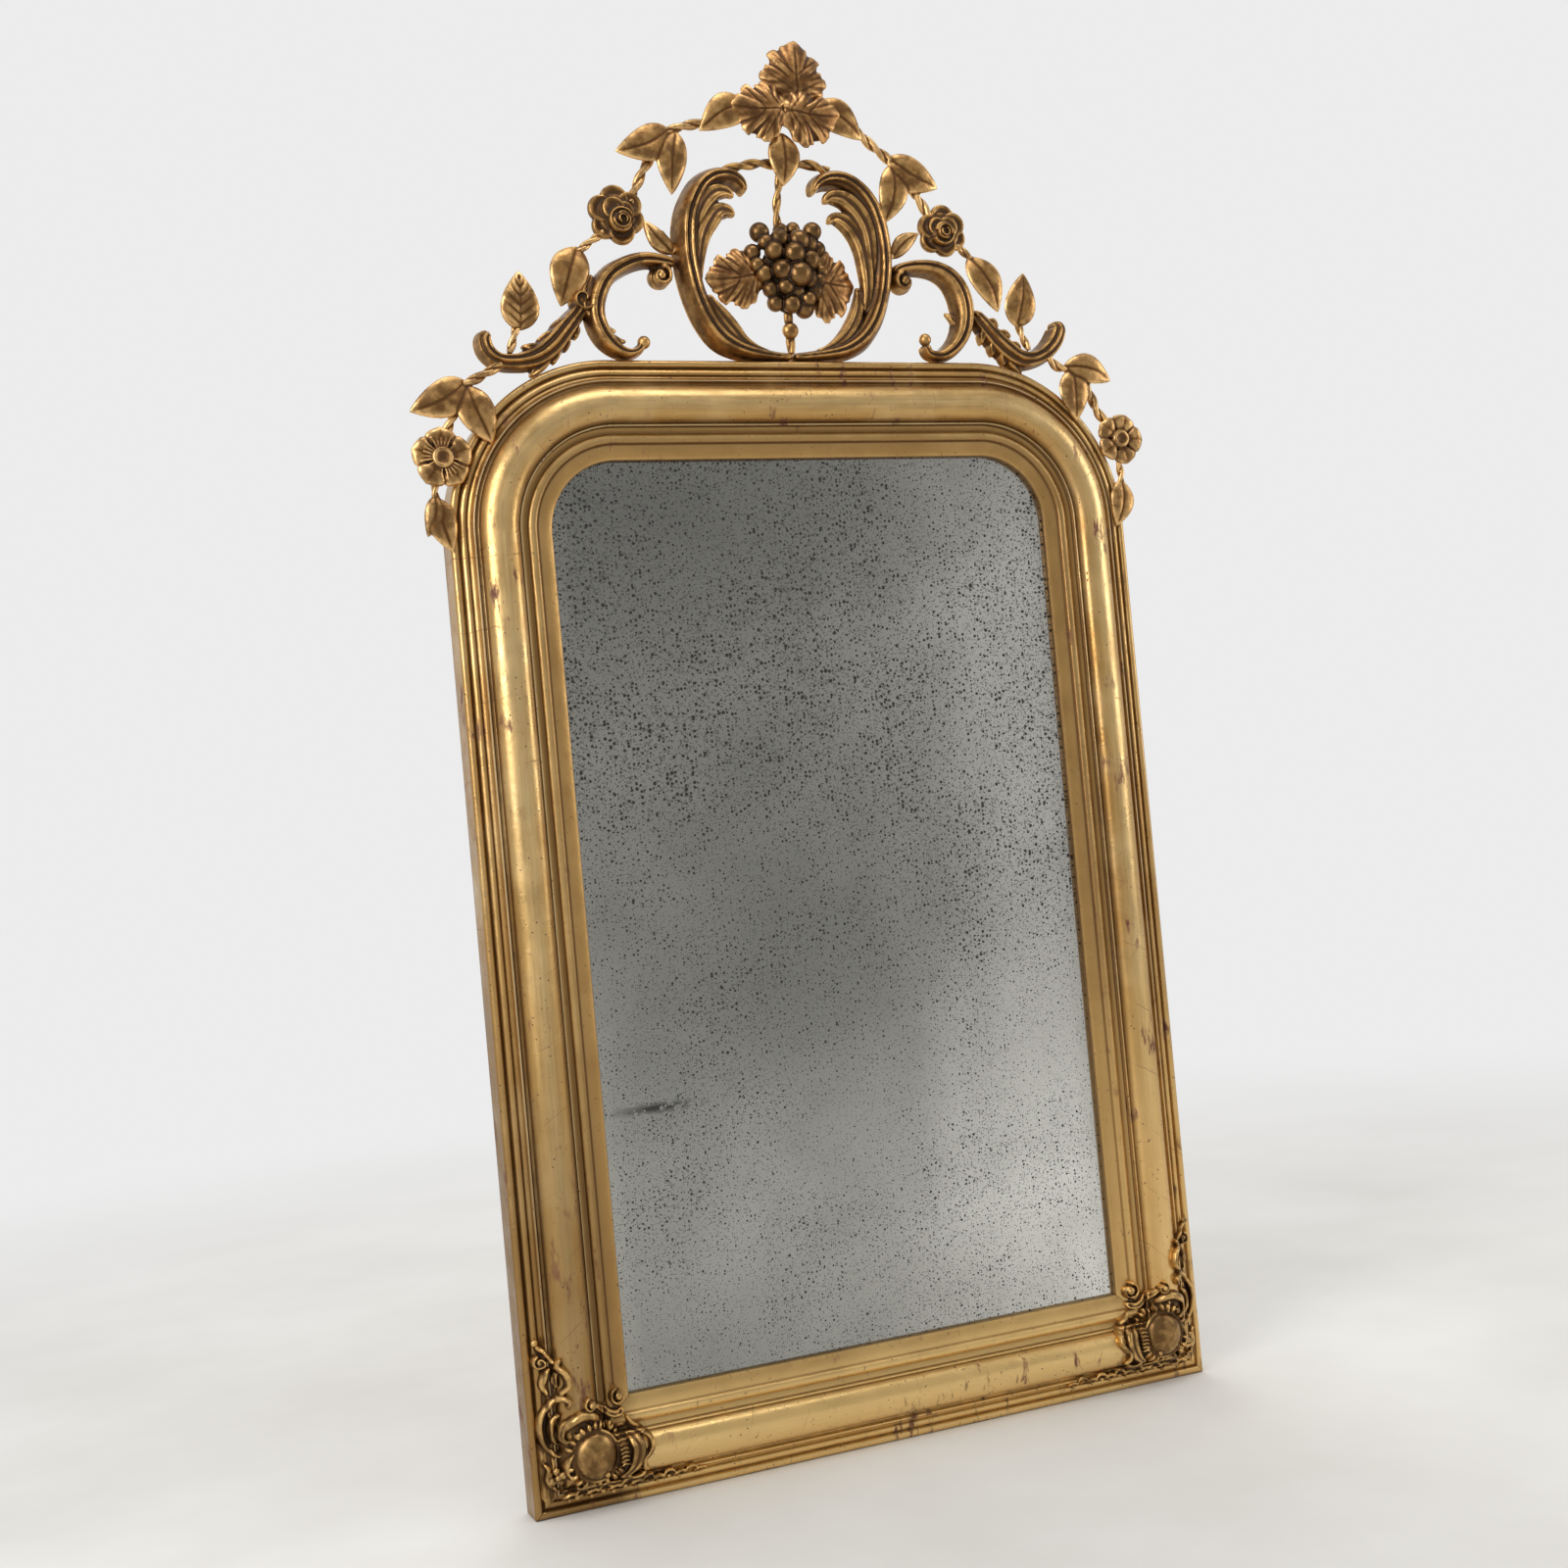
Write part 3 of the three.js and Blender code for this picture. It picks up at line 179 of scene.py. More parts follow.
# %% Soft lamps
def soft_lamp(name, place, aim, size, watts):
    """A square area lamp that points at a spot."""
    data = bpy.data.lights.new(name, "AREA")
    data.shape = "RECTANGLE"
    data.size, data.size_y = size
    data.energy = watts
    lamp = bpy.data.objects.new(name, data)
    facing = (Vector(place) - Vector(aim)).to_track_quat("Z", "Y")
    lamp.matrix_world = Matrix.Translation(place) @ facing.to_matrix().to_4x4()
    bpy.context.scene.collection.objects.link(lamp)


MIDDLE = (0, 0, 0.85)
soft_lamp("window_left", (-2.3, -1.5, 1.9), MIDDLE, (1.1, 1.9), 42)
soft_lamp("window_right", (2.5, -1.2, 1.5), MIDDLE, (0.9, 1.6), 14)
soft_lamp("skylight", (0.1, -0.9, 3.2), MIDDLE, (1.6, 0.9), 14)
soft_lamp("window_behind", (0.8, 2.4, 2.0), MIDDLE, (1.6, 1.2), 16)

# %% [markdown]
# ## Gilding
# Water gilding is gold leaf laid on wet red clay, called bole, over white gesso. Where hands and dusters
# rub it, the red shows through; in the hollows the leaf keeps its shine but fills with dirt. Each leaf is
# about 80 mm square, and where two leaves lap there is a faint line. The materials build these layers:
# leaf, laps, rubbed bole and dirt, and over them painted shade in the hollows and painted highlights on
# the crowns and edges. Attributes on the meshes say how far a spot is across the moulding, how far along
# it, and how deep in a hollow it lies.

# %% Worn water gilding for the frame's moulding
def painted_side_and_foot_light(tree, place, tone):
    """Painted light and shade on the gold: darker low on the left stile, lighter low on the right stile and
    along the foot.
    """
    axes = put(tree, "ShaderNodeSeparateXYZ", {0: place}, out=None)
    height = put(tree, "ShaderNodeMath", [
        axes.outputs["Z"],
        put(tree, "ShaderNodeMath", [
            put(tree, "ShaderNodeTexNoise", {
                "Vector": place, "Scale": 12, "Detail": 3.0, "Roughness": 0.55}),
            0.04], operation="MULTIPLY")], operation="ADD")
    inward = put(tree, "ShaderNodeMath", [axes.outputs["X"]], operation="ABSOLUTE")
    on_stile = put(tree, "ShaderNodeMapRange", {"Value": inward, "From Min": 0.3, "From Max": 0.33})
    low = put(tree, "ShaderNodeMapRange", {
        "Value": height, "From Min": 0.62, "From Max": 0.28,
        "To Max": 0.6}, interpolation_type="SMOOTHSTEP")
    # Painted shade low on the left stile and painted light low on the right stile, as light falls on each
    # side.
    for sign, colour in ((-1, "#7d5d33"), (1, "#e9c17e")):
        side = put(tree, "ShaderNodeMapRange", {
            "Value": axes.outputs["X"], "From Min": sign * 0.3, "From Max": sign * 0.33})
        tone = put(tree, "ShaderNodeMix", {
            0: put(tree, "ShaderNodeMath", [low, side], operation="MULTIPLY"),
            6: tone, 7: linear(colour)}, out=2, data_type="RGBA")
    # Painted light along the foot, where light from above falls on the bottom rail.
    bottom = put(tree, "ShaderNodeMapRange", {
        "Value": height, "From Min": 0.15, "From Max": 0.11, "To Max": 0.75})
    bottom = put(tree, "ShaderNodeMath", [
        bottom,
        put(tree, "ShaderNodeMath", [1.0, on_stile], operation="SUBTRACT")], operation="MULTIPLY")
    return put(tree, "ShaderNodeMix", {0: bottom, 6: tone, 7: linear("#f2cf8c")}, out=2, data_type="RGBA")


def worn_spots(tree, place, size_mm, share, stretch=(1, 1, 1)):
    """Ragged spots of a size that cover about this share of a surface: 1 in a spot, 0 outside it."""
    stretched = put(tree, "ShaderNodeMapping", {"Vector": place, "Scale": stretch})
    patches = put(tree, "ShaderNodeTexNoise", {
        "Vector": stretched, "Scale": 1 / (size_mm * MM), "Detail": 6.0, "Roughness": 0.62})
    return put(tree, "ShaderNodeMapRange", {
        "Value": patches, "From Min": 1 - share, "From Max": 1 - share + 0.07})


# Gold leaf: beaten to a ten-thousandth of a millimetre and burnished, so it is a metal with a soft sheen.
def leaf_layers(tree, shader, tone, bole, dirt_and_shade, bump, leaf_roughness=(0.24, 0.42)):
    """Lays leaf, rubbed bole, and dirt with painted shade over one another and joins them to the shader."""
    place = put(tree, "ShaderNodeTexCoord", out="Object")
    sheen = put(tree, "ShaderNodeTexNoise", {
        "Vector": place, "Scale": 38, "Detail": 4.0, "Roughness": 0.55})
    colour = put(tree, "ShaderNodeMix", {0: bole, 6: tone, 7: linear("#6a3a24")}, out=2, data_type="RGBA")
    # Dirt and painted shade darken the colour towards deep brown.
    colour = put(tree, "ShaderNodeMix", {0: dirt_and_shade, 6: colour, 7: linear("#33200f")}, out=2, data_type="RGBA")
    covered = put(tree, "ShaderNodeMath", [
        bole,
        put(tree, "ShaderNodeMath", [
            dirt_and_shade, 0.75], operation="MULTIPLY")], operation="MAXIMUM", use_clamp=True)
    # Nobody gilds the back: there the pine has only a brushed ochre wash that has gone brown.
    backward = put(tree, "ShaderNodeSeparateXYZ", {0: place}, out="Y")
    bare = put(tree, "ShaderNodeMath", [backward, (BACK_Y - 0.4) * MM], operation="GREATER_THAN")
    wash = toned(
        put(tree, "ShaderNodeValToRGB", {
            0: put(tree, "ShaderNodeTexNoise", {
                "Vector": place, "Scale": 24, "Detail": 6.0, "Roughness": 0.65})}, out=None),
        [(0.3, "#5f4529"), (0.5, "#866439"), (0.7, "#a5824f")])
    colour = put(tree, "ShaderNodeMix", {0: bare, 6: colour, 7: wash}, out=2, data_type="RGBA")
    covered = put(tree, "ShaderNodeMath", [covered, bare], operation="MAXIMUM")
    tree.links.new(colour, shader.inputs["Base Color"])
    tree.links.new(
        put(tree, "ShaderNodeMath", [
            0.94,
            put(tree, "ShaderNodeMath", [
                covered, 0.9], operation="MULTIPLY")], operation="SUBTRACT", use_clamp=True),
        shader.inputs["Metallic"])
    rough = put(tree, "ShaderNodeMapRange", {
        "Value": sheen, "From Min": 0.3, "From Max": 0.7, "To Min": leaf_roughness[0],
        "To Max": leaf_roughness[1]}, out=None)
    rough = put(tree, "ShaderNodeMath", [
        rough.outputs[0],
        put(tree, "ShaderNodeMath", [covered, 0.3], operation="MULTIPLY")], operation="ADD", use_clamp=True)
    tree.links.new(rough, shader.inputs["Roughness"])
    tree.links.new(bump, shader.inputs["Normal"])


moulding_gilding, tree, shader = new_material("worn_water_gilding_on_red_bole")
place = put(tree, "ShaderNodeTexCoord", out="Object")
across = put(tree, "ShaderNodeAttribute", out="Fac", attribute_name="across", attribute_type="GEOMETRY")
along = put(tree, "ShaderNodeAttribute", out="Fac", attribute_name="along", attribute_type="GEOMETRY")
PROFILE_REACH = 120
zone = put(tree, "ShaderNodeMath", [across, 1000 / PROFILE_REACH], operation="MULTIPLY")
# Tones across the moulding, with painted light and shade in them: a brown side, painted highlights on the
# bead crowns, the fillets and the torus, and painted shade in the quirks between the members.
MOULDING_TONES_WITH_PAINTED_LIGHT = [
    (0.0, "#b58d55"), (0.6, "#bd955b"), (3, "#cda468"), (6, "#d8b274"), (9.3, "#94703f"), (12, "#d0a86a"),
    (15.5, "#cfa667"), (18.4, "#9c7747"), (21, "#b58c52"), (24.2, "#c79d60"), (25.4, "#f8e2b4"),
    (27.2, "#a37d4a"), (30.6, "#a17b48"), (35, "#c79f60"), (44, "#dfbb7e"), (54, "#e8c88e"),
    (64, "#d6ae6e"), (72, "#ab8148"), (74.8, "#8d6a3c"), (76.5, "#f3d8a2"), (78.5, "#74512b"),
    (82, "#c09758"), (86, "#9f7742"), (92, "#cca467"), (97, "#84603a"), (100, "#b58c51"),
    (113, "#cda567")]
tone = toned(put(tree, "ShaderNodeValToRGB", {0: zone}, out=None),
    [(max(0.0, a / PROFILE_REACH), c) for a, c in MOULDING_TONES_WITH_PAINTED_LIGHT])
streaks = put(tree, "ShaderNodeTexNoise", {
    "Vector": put(tree, "ShaderNodeCombineXYZ", {
        0: put(tree, "ShaderNodeMath", [across, 260], operation="MULTIPLY"),
        1: put(tree, "ShaderNodeMath", [along, 9], operation="MULTIPLY")}),
    "Scale": 1.0, "Detail": 4.0, "Roughness": 0.6})
tone = put(tree, "ShaderNodeMix", {
    0: put(tree, "ShaderNodeMapRange", {
        "Value": streaks, "From Min": 0.35, "From Max": 0.7, "To Max": 0.45}),
    6: tone, 7: linear("#9c7545")}, out=2, data_type="RGBA")
clouds = put(tree, "ShaderNodeTexNoise", {"Vector": place, "Scale": 11, "Detail": 4.0, "Roughness": 0.55})
tone = put(tree, "ShaderNodeMix", {
    0: put(tree, "ShaderNodeMapRange", {
        "Value": clouds, "From Min": 0.45, "From Max": 0.75, "To Max": 0.4}),
    6: tone, 7: linear("#f6dca6")}, out=2, data_type="RGBA")
# Laps: the edge of each leaf of gold is a hair line that wanders a little.
LEAF_SIDE = 80
wander = put(tree, "ShaderNodeMath", [
    put(tree, "ShaderNodeTexNoise", {"Vector": place, "Scale": 30, "Detail": 3.0, "Roughness": 0.55}),
    0.012], operation="MULTIPLY")
lap_phase = put(tree, "ShaderNodeMath", [
    put(tree, "ShaderNodeMath", [
        put(tree, "ShaderNodeMath", [along, wander], operation="ADD"),
        LEAF_SIDE * MM], operation="DIVIDE")], operation="FRACT")
lap = put(tree, "ShaderNodeMapRange", {
    "Value": lap_phase, "From Min": 0.0, "From Max": 0.022, "To Min": 1.0, "To Max": 0.0})
patchy = put(tree, "ShaderNodeMapRange", {
    "Value": put(tree, "ShaderNodeTexNoise", {
        "Vector": place, "Scale": 26, "Detail": 3.0, "Roughness": 0.55}),
    "From Min": 0.46, "From Max": 0.6})
lap = put(tree, "ShaderNodeMath", [lap, patchy], operation="MULTIPLY")
rubbed = worn_spots(tree, place, 30, 0.415, (1.7, 1, 0.5))
crown = put(tree, "ShaderNodeMapRange", {
    "Value": put(tree, "ShaderNodeTexNoise", {
        "Vector": place, "Scale": 7, "Detail": 2.0, "Roughness": 0.55}),
    "From Min": 0.44, "From Max": 0.56})
scratches = worn_spots(tree, place, 5, 0.36, (1, 1, 0.7))
bole = put(tree, "ShaderNodeMath", [
    put(tree, "ShaderNodeMath", [rubbed, crown], operation="MULTIPLY"),
    put(tree, "ShaderNodeMath", [lap, 0.75], operation="MULTIPLY")], operation="MAXIMUM")
bole = put(tree, "ShaderNodeMath", [
    bole,
    put(tree, "ShaderNodeMath", [
        scratches, 0.8], operation="MULTIPLY")], operation="MAXIMUM", use_clamp=True)
specks = put(tree, "ShaderNodeTexVoronoi", {"Vector": place, "Scale": 150.0}, out="Distance", feature="F1")
specks = put(tree, "ShaderNodeMapRange", {
    "Value": specks, "From Min": 0.1, "From Max": 0.17, "To Min": 1.0, "To Max": 0.0})
dirt_and_shade = put(tree, "ShaderNodeMath", [
    specks,
    put(tree, "ShaderNodeMath", [
        put(tree, "ShaderNodeTexNoise", {"Vector": place, "Scale": 60, "Detail": 2.0, "Roughness": 0.55}),
        0.56], operation="GREATER_THAN")], operation="MULTIPLY")
# Painted shade and grime in the quirks: the dirt mask rises where the hollows between the members fall in
# shade.
quirk_shade_and_grime = toned(put(tree, "ShaderNodeValToRGB", {0: zone}, out=None),
    [(max(0.0, a / PROFILE_REACH), g) for a, g in (
        (0.0, 0.15), (0.4, 0.1), (2, 0.0), (7.8, 0.0), (9.4, 0.55), (11, 0.0), (17, 0.0), (18.6, 0.4),
        (20.5, 0.1), (24, 0.0), (26.6, 0.0), (27.6, 0.4), (30.4, 0.45), (33, 0.05), (72.5, 0.0),
        (75.2, 0.5), (76, 0.0), (77.2, 0.0), (77.8, 0.7), (79, 0.1), (84.4, 0.3), (86, 0.0), (95.6, 0.0),
        (97.2, 0.4), (99, 0.0))])
quirk_shade_and_grime_noise = put(tree, "ShaderNodeMapRange", {
    "Value": put(tree, "ShaderNodeTexNoise", {
        "Vector": place, "Scale": 55, "Detail": 4.0, "Roughness": 0.55}),
    "From Min": 0.3, "From Max": 0.65, "To Min": 0.25})
dirt_and_shade = put(tree, "ShaderNodeMath", [
    dirt_and_shade,
    put(tree, "ShaderNodeMath", [
        quirk_shade_and_grime, quirk_shade_and_grime_noise], operation="MULTIPLY")], operation="MAXIMUM", use_clamp=True)
relief = put(tree, "ShaderNodeMath", [
    put(tree, "ShaderNodeMath", [
        put(tree, "ShaderNodeTexNoise", {"Vector": place, "Scale": 240, "Detail": 4.0, "Roughness": 0.55}),
        0.35], operation="MULTIPLY"),
    put(tree, "ShaderNodeMath", [
        put(tree, "ShaderNodeTexNoise", {"Vector": place, "Scale": 46, "Detail": 3.0, "Roughness": 0.55}),
        0.8], operation="MULTIPLY")], operation="ADD")
relief = put(tree, "ShaderNodeMath", [
    relief,
    put(tree, "ShaderNodeMath", [
        put(tree, "ShaderNodeMath", [bole, dirt_and_shade], operation="MAXIMUM"),
        0.25], operation="MULTIPLY")], operation="SUBTRACT")
bump = put(tree, "ShaderNodeBump", {"Strength": 0.35, "Distance": 0.0012, "Height": relief})
tone = painted_side_and_foot_light(tree, place, tone)
leaf_layers(tree, shader, tone, bole, dirt_and_shade, bump)
print("moulding tones:", len(MOULDING_TONES_WITH_PAINTED_LIGHT))

# %% Flat slip gilding, quieter than the moulding
# Oil gilding: leaf laid on tacky oil can't be burnished, so the slip is a quieter, matter gold.
slip_gilding, tree, shader = new_material("oil_gilding_left_matt")
place = put(tree, "ShaderNodeTexCoord", out="Object")
across = put(tree, "ShaderNodeAttribute", out="Fac", attribute_name="across", attribute_type="GEOMETRY")
zone = put(tree, "ShaderNodeMath", [across, 1000 / PROFILE_REACH], operation="MULTIPLY")
# Tones across the slip with painted light and shade: a painted highlight on the bead's crown, painted shade
# in the quirk and a painted shadow at the rebate and the sight edge.
tone = toned(put(tree, "ShaderNodeValToRGB", {0: zone}, out=None),
    [(a / PROFILE_REACH, c) for a, c in (
        (77, "#7d5a30"), (80, "#c59d62"), (84, "#a27c48"), (90, "#d8b478"), (96.6, "#86633c"),
        (99, "#c39d66"), (110, "#bd965c"), (113, "#cba46a"), (114.2, "#8d6a3e"))])
clouds = put(tree, "ShaderNodeTexNoise", {"Vector": place, "Scale": 16, "Detail": 5.0, "Roughness": 0.55})
tone = put(tree, "ShaderNodeMix", {
    0: put(tree, "ShaderNodeMapRange", {"Value": clouds, "From Min": 0.42, "From Max": 0.7, "To Max": 0.5}),
    6: tone, 7: linear("#a07a48")}, out=2, data_type="RGBA")
spots = worn_spots(tree, place, 7, 0.38)
dirt_and_shade = put(tree, "ShaderNodeMath", [spots, 0.5], operation="MULTIPLY")
# Painted shadow and grime along the slip's edges and quirks, where the frame and the glass shade it.
edge_shade_and_grime = toned(put(tree, "ShaderNodeValToRGB", {0: zone}, out=None),
    [(a / PROFILE_REACH, g) for a, g in (
        (77, 0.9), (78.6, 0.15), (84, 0.4), (86, 0.0), (95.8, 0.0), (97.2, 0.6), (98.6, 0.05), (113.4, 0.0),
        (114.3, 0.4))])
dirt_and_shade = put(tree, "ShaderNodeMath", [
    dirt_and_shade,
    put(tree, "ShaderNodeMath", [edge_shade_and_grime, 0.8], operation="MULTIPLY")], operation="MAXIMUM", use_clamp=True)
bump = put(tree, "ShaderNodeBump", {
    "Strength": 0.45, "Distance": 0.0015,
    "Height": put(tree, "ShaderNodeTexNoise", {
        "Vector": place, "Scale": 60, "Detail": 5.0, "Roughness": 0.55})})
rubbed = put(tree, "ShaderNodeMath", [
    worn_spots(tree, place, 20, 0.38, (1.4, 1, 0.6)), 0.5], operation="MULTIPLY")
tone = painted_side_and_foot_light(tree, place, tone)
leaf_layers(tree, shader, tone, rubbed, dirt_and_shade, bump, (0.30, 0.44))
print("slip gilding made")

# %% Carved gilding: painted shade and dirt in the hollows, painted highlights and rubbed bole on the edges
def carved_gilding(name, low, middle, high, dirt_and_shade_share):
    """Gilding over carved gesso whose tone follows the hollow attribute of the mesh: painted highlights on
    the edges, painted shade and dirt in the hollows.
    """
    material, tree, shader = new_material(name)
    place = put(tree, "ShaderNodeTexCoord", out="Object")
    depth = put(tree, "ShaderNodeAttribute", out="Fac", attribute_name="hollow", attribute_type="GEOMETRY")
    ragged = put(tree, "ShaderNodeMath", [
        put(tree, "ShaderNodeMath", [
            put(tree, "ShaderNodeTexNoise", {
                "Vector": place, "Scale": 120, "Detail": 4.0, "Roughness": 0.55}),
            0.5], operation="SUBTRACT"),
        0.5], operation="MULTIPLY")
    depth = put(tree, "ShaderNodeMath", [depth, ragged], operation="ADD")
    lit = put(tree, "ShaderNodeMapRange", {"Value": depth, "From Min": -0.45, "From Max": 0.45})
    # Painted light and shade: the high tone is a painted highlight on the edges, the low tone painted shade
    # in the hollows.
    tone = toned(put(tree, "ShaderNodeValToRGB", {0: lit}, out=None), [
        (0.0, high), (0.42, middle), (0.62, low), (1.0, low)])
    clouds = put(tree, "ShaderNodeTexNoise", {
        "Vector": place, "Scale": 52, "Detail": 5.0, "Roughness": 0.55})
    tone = put(tree, "ShaderNodeMix", {
        0: put(tree, "ShaderNodeMapRange", {
            "Value": clouds, "From Min": 0.47, "From Max": 0.6, "To Max": 0.72}),
        6: tone, 7: linear(low)}, out=2, data_type="RGBA")
    # Dirt and painted shade: the deeper a point lies in a hollow, the darker it is painted.
    dirt_and_shade = put(tree, "ShaderNodeMapRange", {
        "Value": depth, "From Min": 0.06 - dirt_and_shade_share, "From Max": 0.75 - dirt_and_shade_share, "To Max": 0.85})
    dust = put(tree, "ShaderNodeMath", [worn_spots(tree, place, 4, 0.34), 0.6], operation="MULTIPLY")
    dirt_and_shade = put(tree, "ShaderNodeMath", [dirt_and_shade, dust], operation="MAXIMUM", use_clamp=True)
    rubbed = put(tree, "ShaderNodeMath", [
        worn_spots(tree, place, 9, 0.33),
        put(tree, "ShaderNodeMapRange", {
            "Value": depth, "From Min": 0.1, "From Max": -0.3, "To Max": 0.8})],
        operation="MULTIPLY", use_clamp=True)
    bump = put(tree, "ShaderNodeBump", {
        "Strength": 0.4, "Distance": 0.001,
        "Height": put(tree, "ShaderNodeMath", [
            put(tree, "ShaderNodeTexNoise", {
                "Vector": place, "Scale": 190, "Detail": 4.0, "Roughness": 0.55}),
            put(tree, "ShaderNodeTexNoise", {
                "Vector": place, "Scale": 60, "Detail": 3.0, "Roughness": 0.55})], operation="ADD")})
    leaf_layers(tree, shader, tone, rubbed, dirt_and_shade, bump, (0.26, 0.46))
    return material


# Each has three tones from hollow to edge, painted shade to painted highlight; the last number spreads the
# dirt and painted shade.
# Toned gilding is the brown one, and the leaves and roses, which hands can't reach, have kept their
# brightness.
dark_carving = carved_gilding("toned_gilding_on_carved_gesso", "#63462a", "#8a663b", "#c89c60", -0.06)
leaf_carving = carved_gilding("bright_gilding_on_carved_leaves", "#6b4a2b", "#a67c49", "#ebc083", -0.08)
vine_carving = carved_gilding("rubbed_gilding_on_vine_leaves_and_roses", "#5c3f27", "#94693f", "#e0b074",
    -0.12)
grape_carving = carved_gilding("brown_toned_gilding_on_grapes", "#3f2d1d", "#59412b", "#86653e", 0.0)
corner_carving = carved_gilding("dirty_gilding_on_pressed_ornament", "#5f4529", "#80603a", "#d6ae6e", -0.30)
print("carved gildings made")

# %% [markdown]
# ## Glass, wood and iron
# The glass is old crown glass silvered with tin and mercury: the silver has greyed and lifted in
# thousands of black specks. The back is deal that has darkened, and the hangers are forged iron blackened
# in oil.

# %% Silvered glass that has foxed
# Silvering: a mirror of grey metal behind glass, so a coat shines over spots where the metal has gone black.
silvered_glass, tree, shader = new_material("foxed_mercury_silvering_behind_glass")
place = put(tree, "ShaderNodeTexCoord", out="Object")
axes = put(tree, "ShaderNodeSeparateXYZ", {0: place}, out=None)
flat = put(tree, "ShaderNodeCombineXYZ", {0: axes.outputs["X"], 1: axes.outputs["Z"]})


def spots_on_glass(scale, crowding, largest):
    """Round spots of many sizes: each cell has its own random radius, which grows where spots crowd."""
    cells = put(tree, "ShaderNodeTexVoronoi", {
        "Vector": flat, "Scale": scale}, out=None, feature="F1", voronoi_dimensions="2D")
    chance = put(tree, "ShaderNodeSeparateColor", {0: cells.outputs["Color"]})
    radius = put(tree, "ShaderNodeMath", [
        put(tree, "ShaderNodeMath", [chance, 1.6], operation="POWER"),
        put(tree, "ShaderNodeMath", [crowding, largest], operation="MULTIPLY")], operation="MULTIPLY")
    return put(tree, "ShaderNodeMath", [cells.outputs["Distance"], radius], operation="LESS_THAN")


# The silver is most worn in a wide band above the middle of the glass.
WORN_HEIGHT = 0.92
crowd = put(tree, "ShaderNodeTexNoise", {"Vector": place, "Scale": 4.0, "Detail": 6.0, "Roughness": 0.62})
upper = put(tree, "ShaderNodeMapRange", {
    "Value": put(tree, "ShaderNodeMath", [
        put(tree, "ShaderNodeMath", [
            axes.outputs["Z"], WORN_HEIGHT], operation="SUBTRACT")], operation="ABSOLUTE"),
    "From Min": 0.05, "From Max": 0.45, "To Min": 0.15, "To Max": -0.08}, interpolation_type="SMOOTHSTEP")
crowd = put(tree, "ShaderNodeMath", [crowd, upper], operation="ADD")
thick = put(tree, "ShaderNodeMapRange", {
    "Value": crowd, "From Min": 0.34, "From Max": 0.7, "To Min": 0.42, "To Max": 0.95})
fine_specks = spots_on_glass(420.0, thick, 0.62)
coarse_specks = spots_on_glass(
    190.0,
    put(tree, "ShaderNodeMath", [
        thick,
        put(tree, "ShaderNodeTexNoise", {
            "Vector": place, "Scale": 90, "Detail": 2.0, "Roughness": 0.55})], operation="MULTIPLY"),
    0.85)
specks = put(tree, "ShaderNodeMath", [
    put(tree, "ShaderNodeMath", [fine_specks, 0.8], operation="MULTIPLY"),
    coarse_specks], operation="MAXIMUM", use_clamp=True)
haze = put(tree, "ShaderNodeTexNoise", {"Vector": place, "Scale": 2.6, "Detail": 4.0, "Roughness": 0.55})
side_light = put(tree, "ShaderNodeMapRange", {
    "Value": axes.outputs["X"], "From Min": -0.1, "From Max": 0.33, "To Min": -0.04,
    "To Max": 0.42}, interpolation_type="SMOOTHSTEP")
top_shade = put(tree, "ShaderNodeMapRange", {
    "Value": axes.outputs["Z"], "From Min": 0.95, "From Max": 1.1, "To Min": 0.06, "To Max": -0.12})
grey = put(tree, "ShaderNodeMath", [
    haze,
    put(tree, "ShaderNodeMath", [side_light, top_shade], operation="ADD")], operation="ADD")
silver = toned(put(tree, "ShaderNodeValToRGB", {0: grey}, out=None), [
    (0.2, "#8b8c89"), (0.5, "#a1a29e"), (0.7, "#b6b6b2"), (1.0, "#e2e2de")])
edge = put(tree, "ShaderNodeMapRange", {
    "Value": put(tree, "ShaderNodeMath", [axes.outputs["X"]], operation="ABSOLUTE"),
    "From Min": 0.285, "From Max": 0.315})
edge = put(tree, "ShaderNodeMath", [
    edge,
    put(tree, "ShaderNodeTexNoise", {
        "Vector": place, "Scale": 28, "Detail": 5.0, "Roughness": 0.55})],
    operation="MULTIPLY", use_clamp=True)
# One long black smudge lies low on the left, as in the photograph.
SMUDGE_X, SMUDGE_Z = -0.245, 0.418
smudge = put(tree, "ShaderNodeVectorMath", {0: place, 1: (-SMUDGE_X, 0.0, -SMUDGE_Z)}, operation="ADD")
smudge = put(tree, "ShaderNodeMapping", {"Vector": smudge, "Scale": (14, 0, 110)})
from_smudge = put(tree, "ShaderNodeVectorMath", {0: smudge}, out="Value", operation="LENGTH")
smudge = put(tree, "ShaderNodeMapRange", {"Value": from_smudge, "From Min": 1.0, "From Max": 0.2})
smudge = put(tree, "ShaderNodeMath", [
    smudge,
    put(tree, "ShaderNodeMath", [
        put(tree, "ShaderNodeTexNoise", {"Vector": place, "Scale": 130, "Detail": 3.0, "Roughness": 0.55}),
        0.45], operation="GREATER_THAN")], operation="MULTIPLY", use_clamp=True)
silver = put(tree, "ShaderNodeMix", {0: edge, 6: silver, 7: linear("#b9b8b1")}, out=2, data_type="RGBA")
specks = put(tree, "ShaderNodeMath", [specks, smudge], operation="MAXIMUM")
tree.links.new(
    put(tree, "ShaderNodeMix", {0: specks, 6: silver, 7: linear("#1d1c1a")}, out=2, data_type="RGBA"),
    shader.inputs["Base Color"])
tree.links.new(
    put(tree, "ShaderNodeMath", [
        1.0,
        put(tree, "ShaderNodeMath", [specks, 0.9], operation="MULTIPLY")], operation="SUBTRACT"),
    shader.inputs["Metallic"])
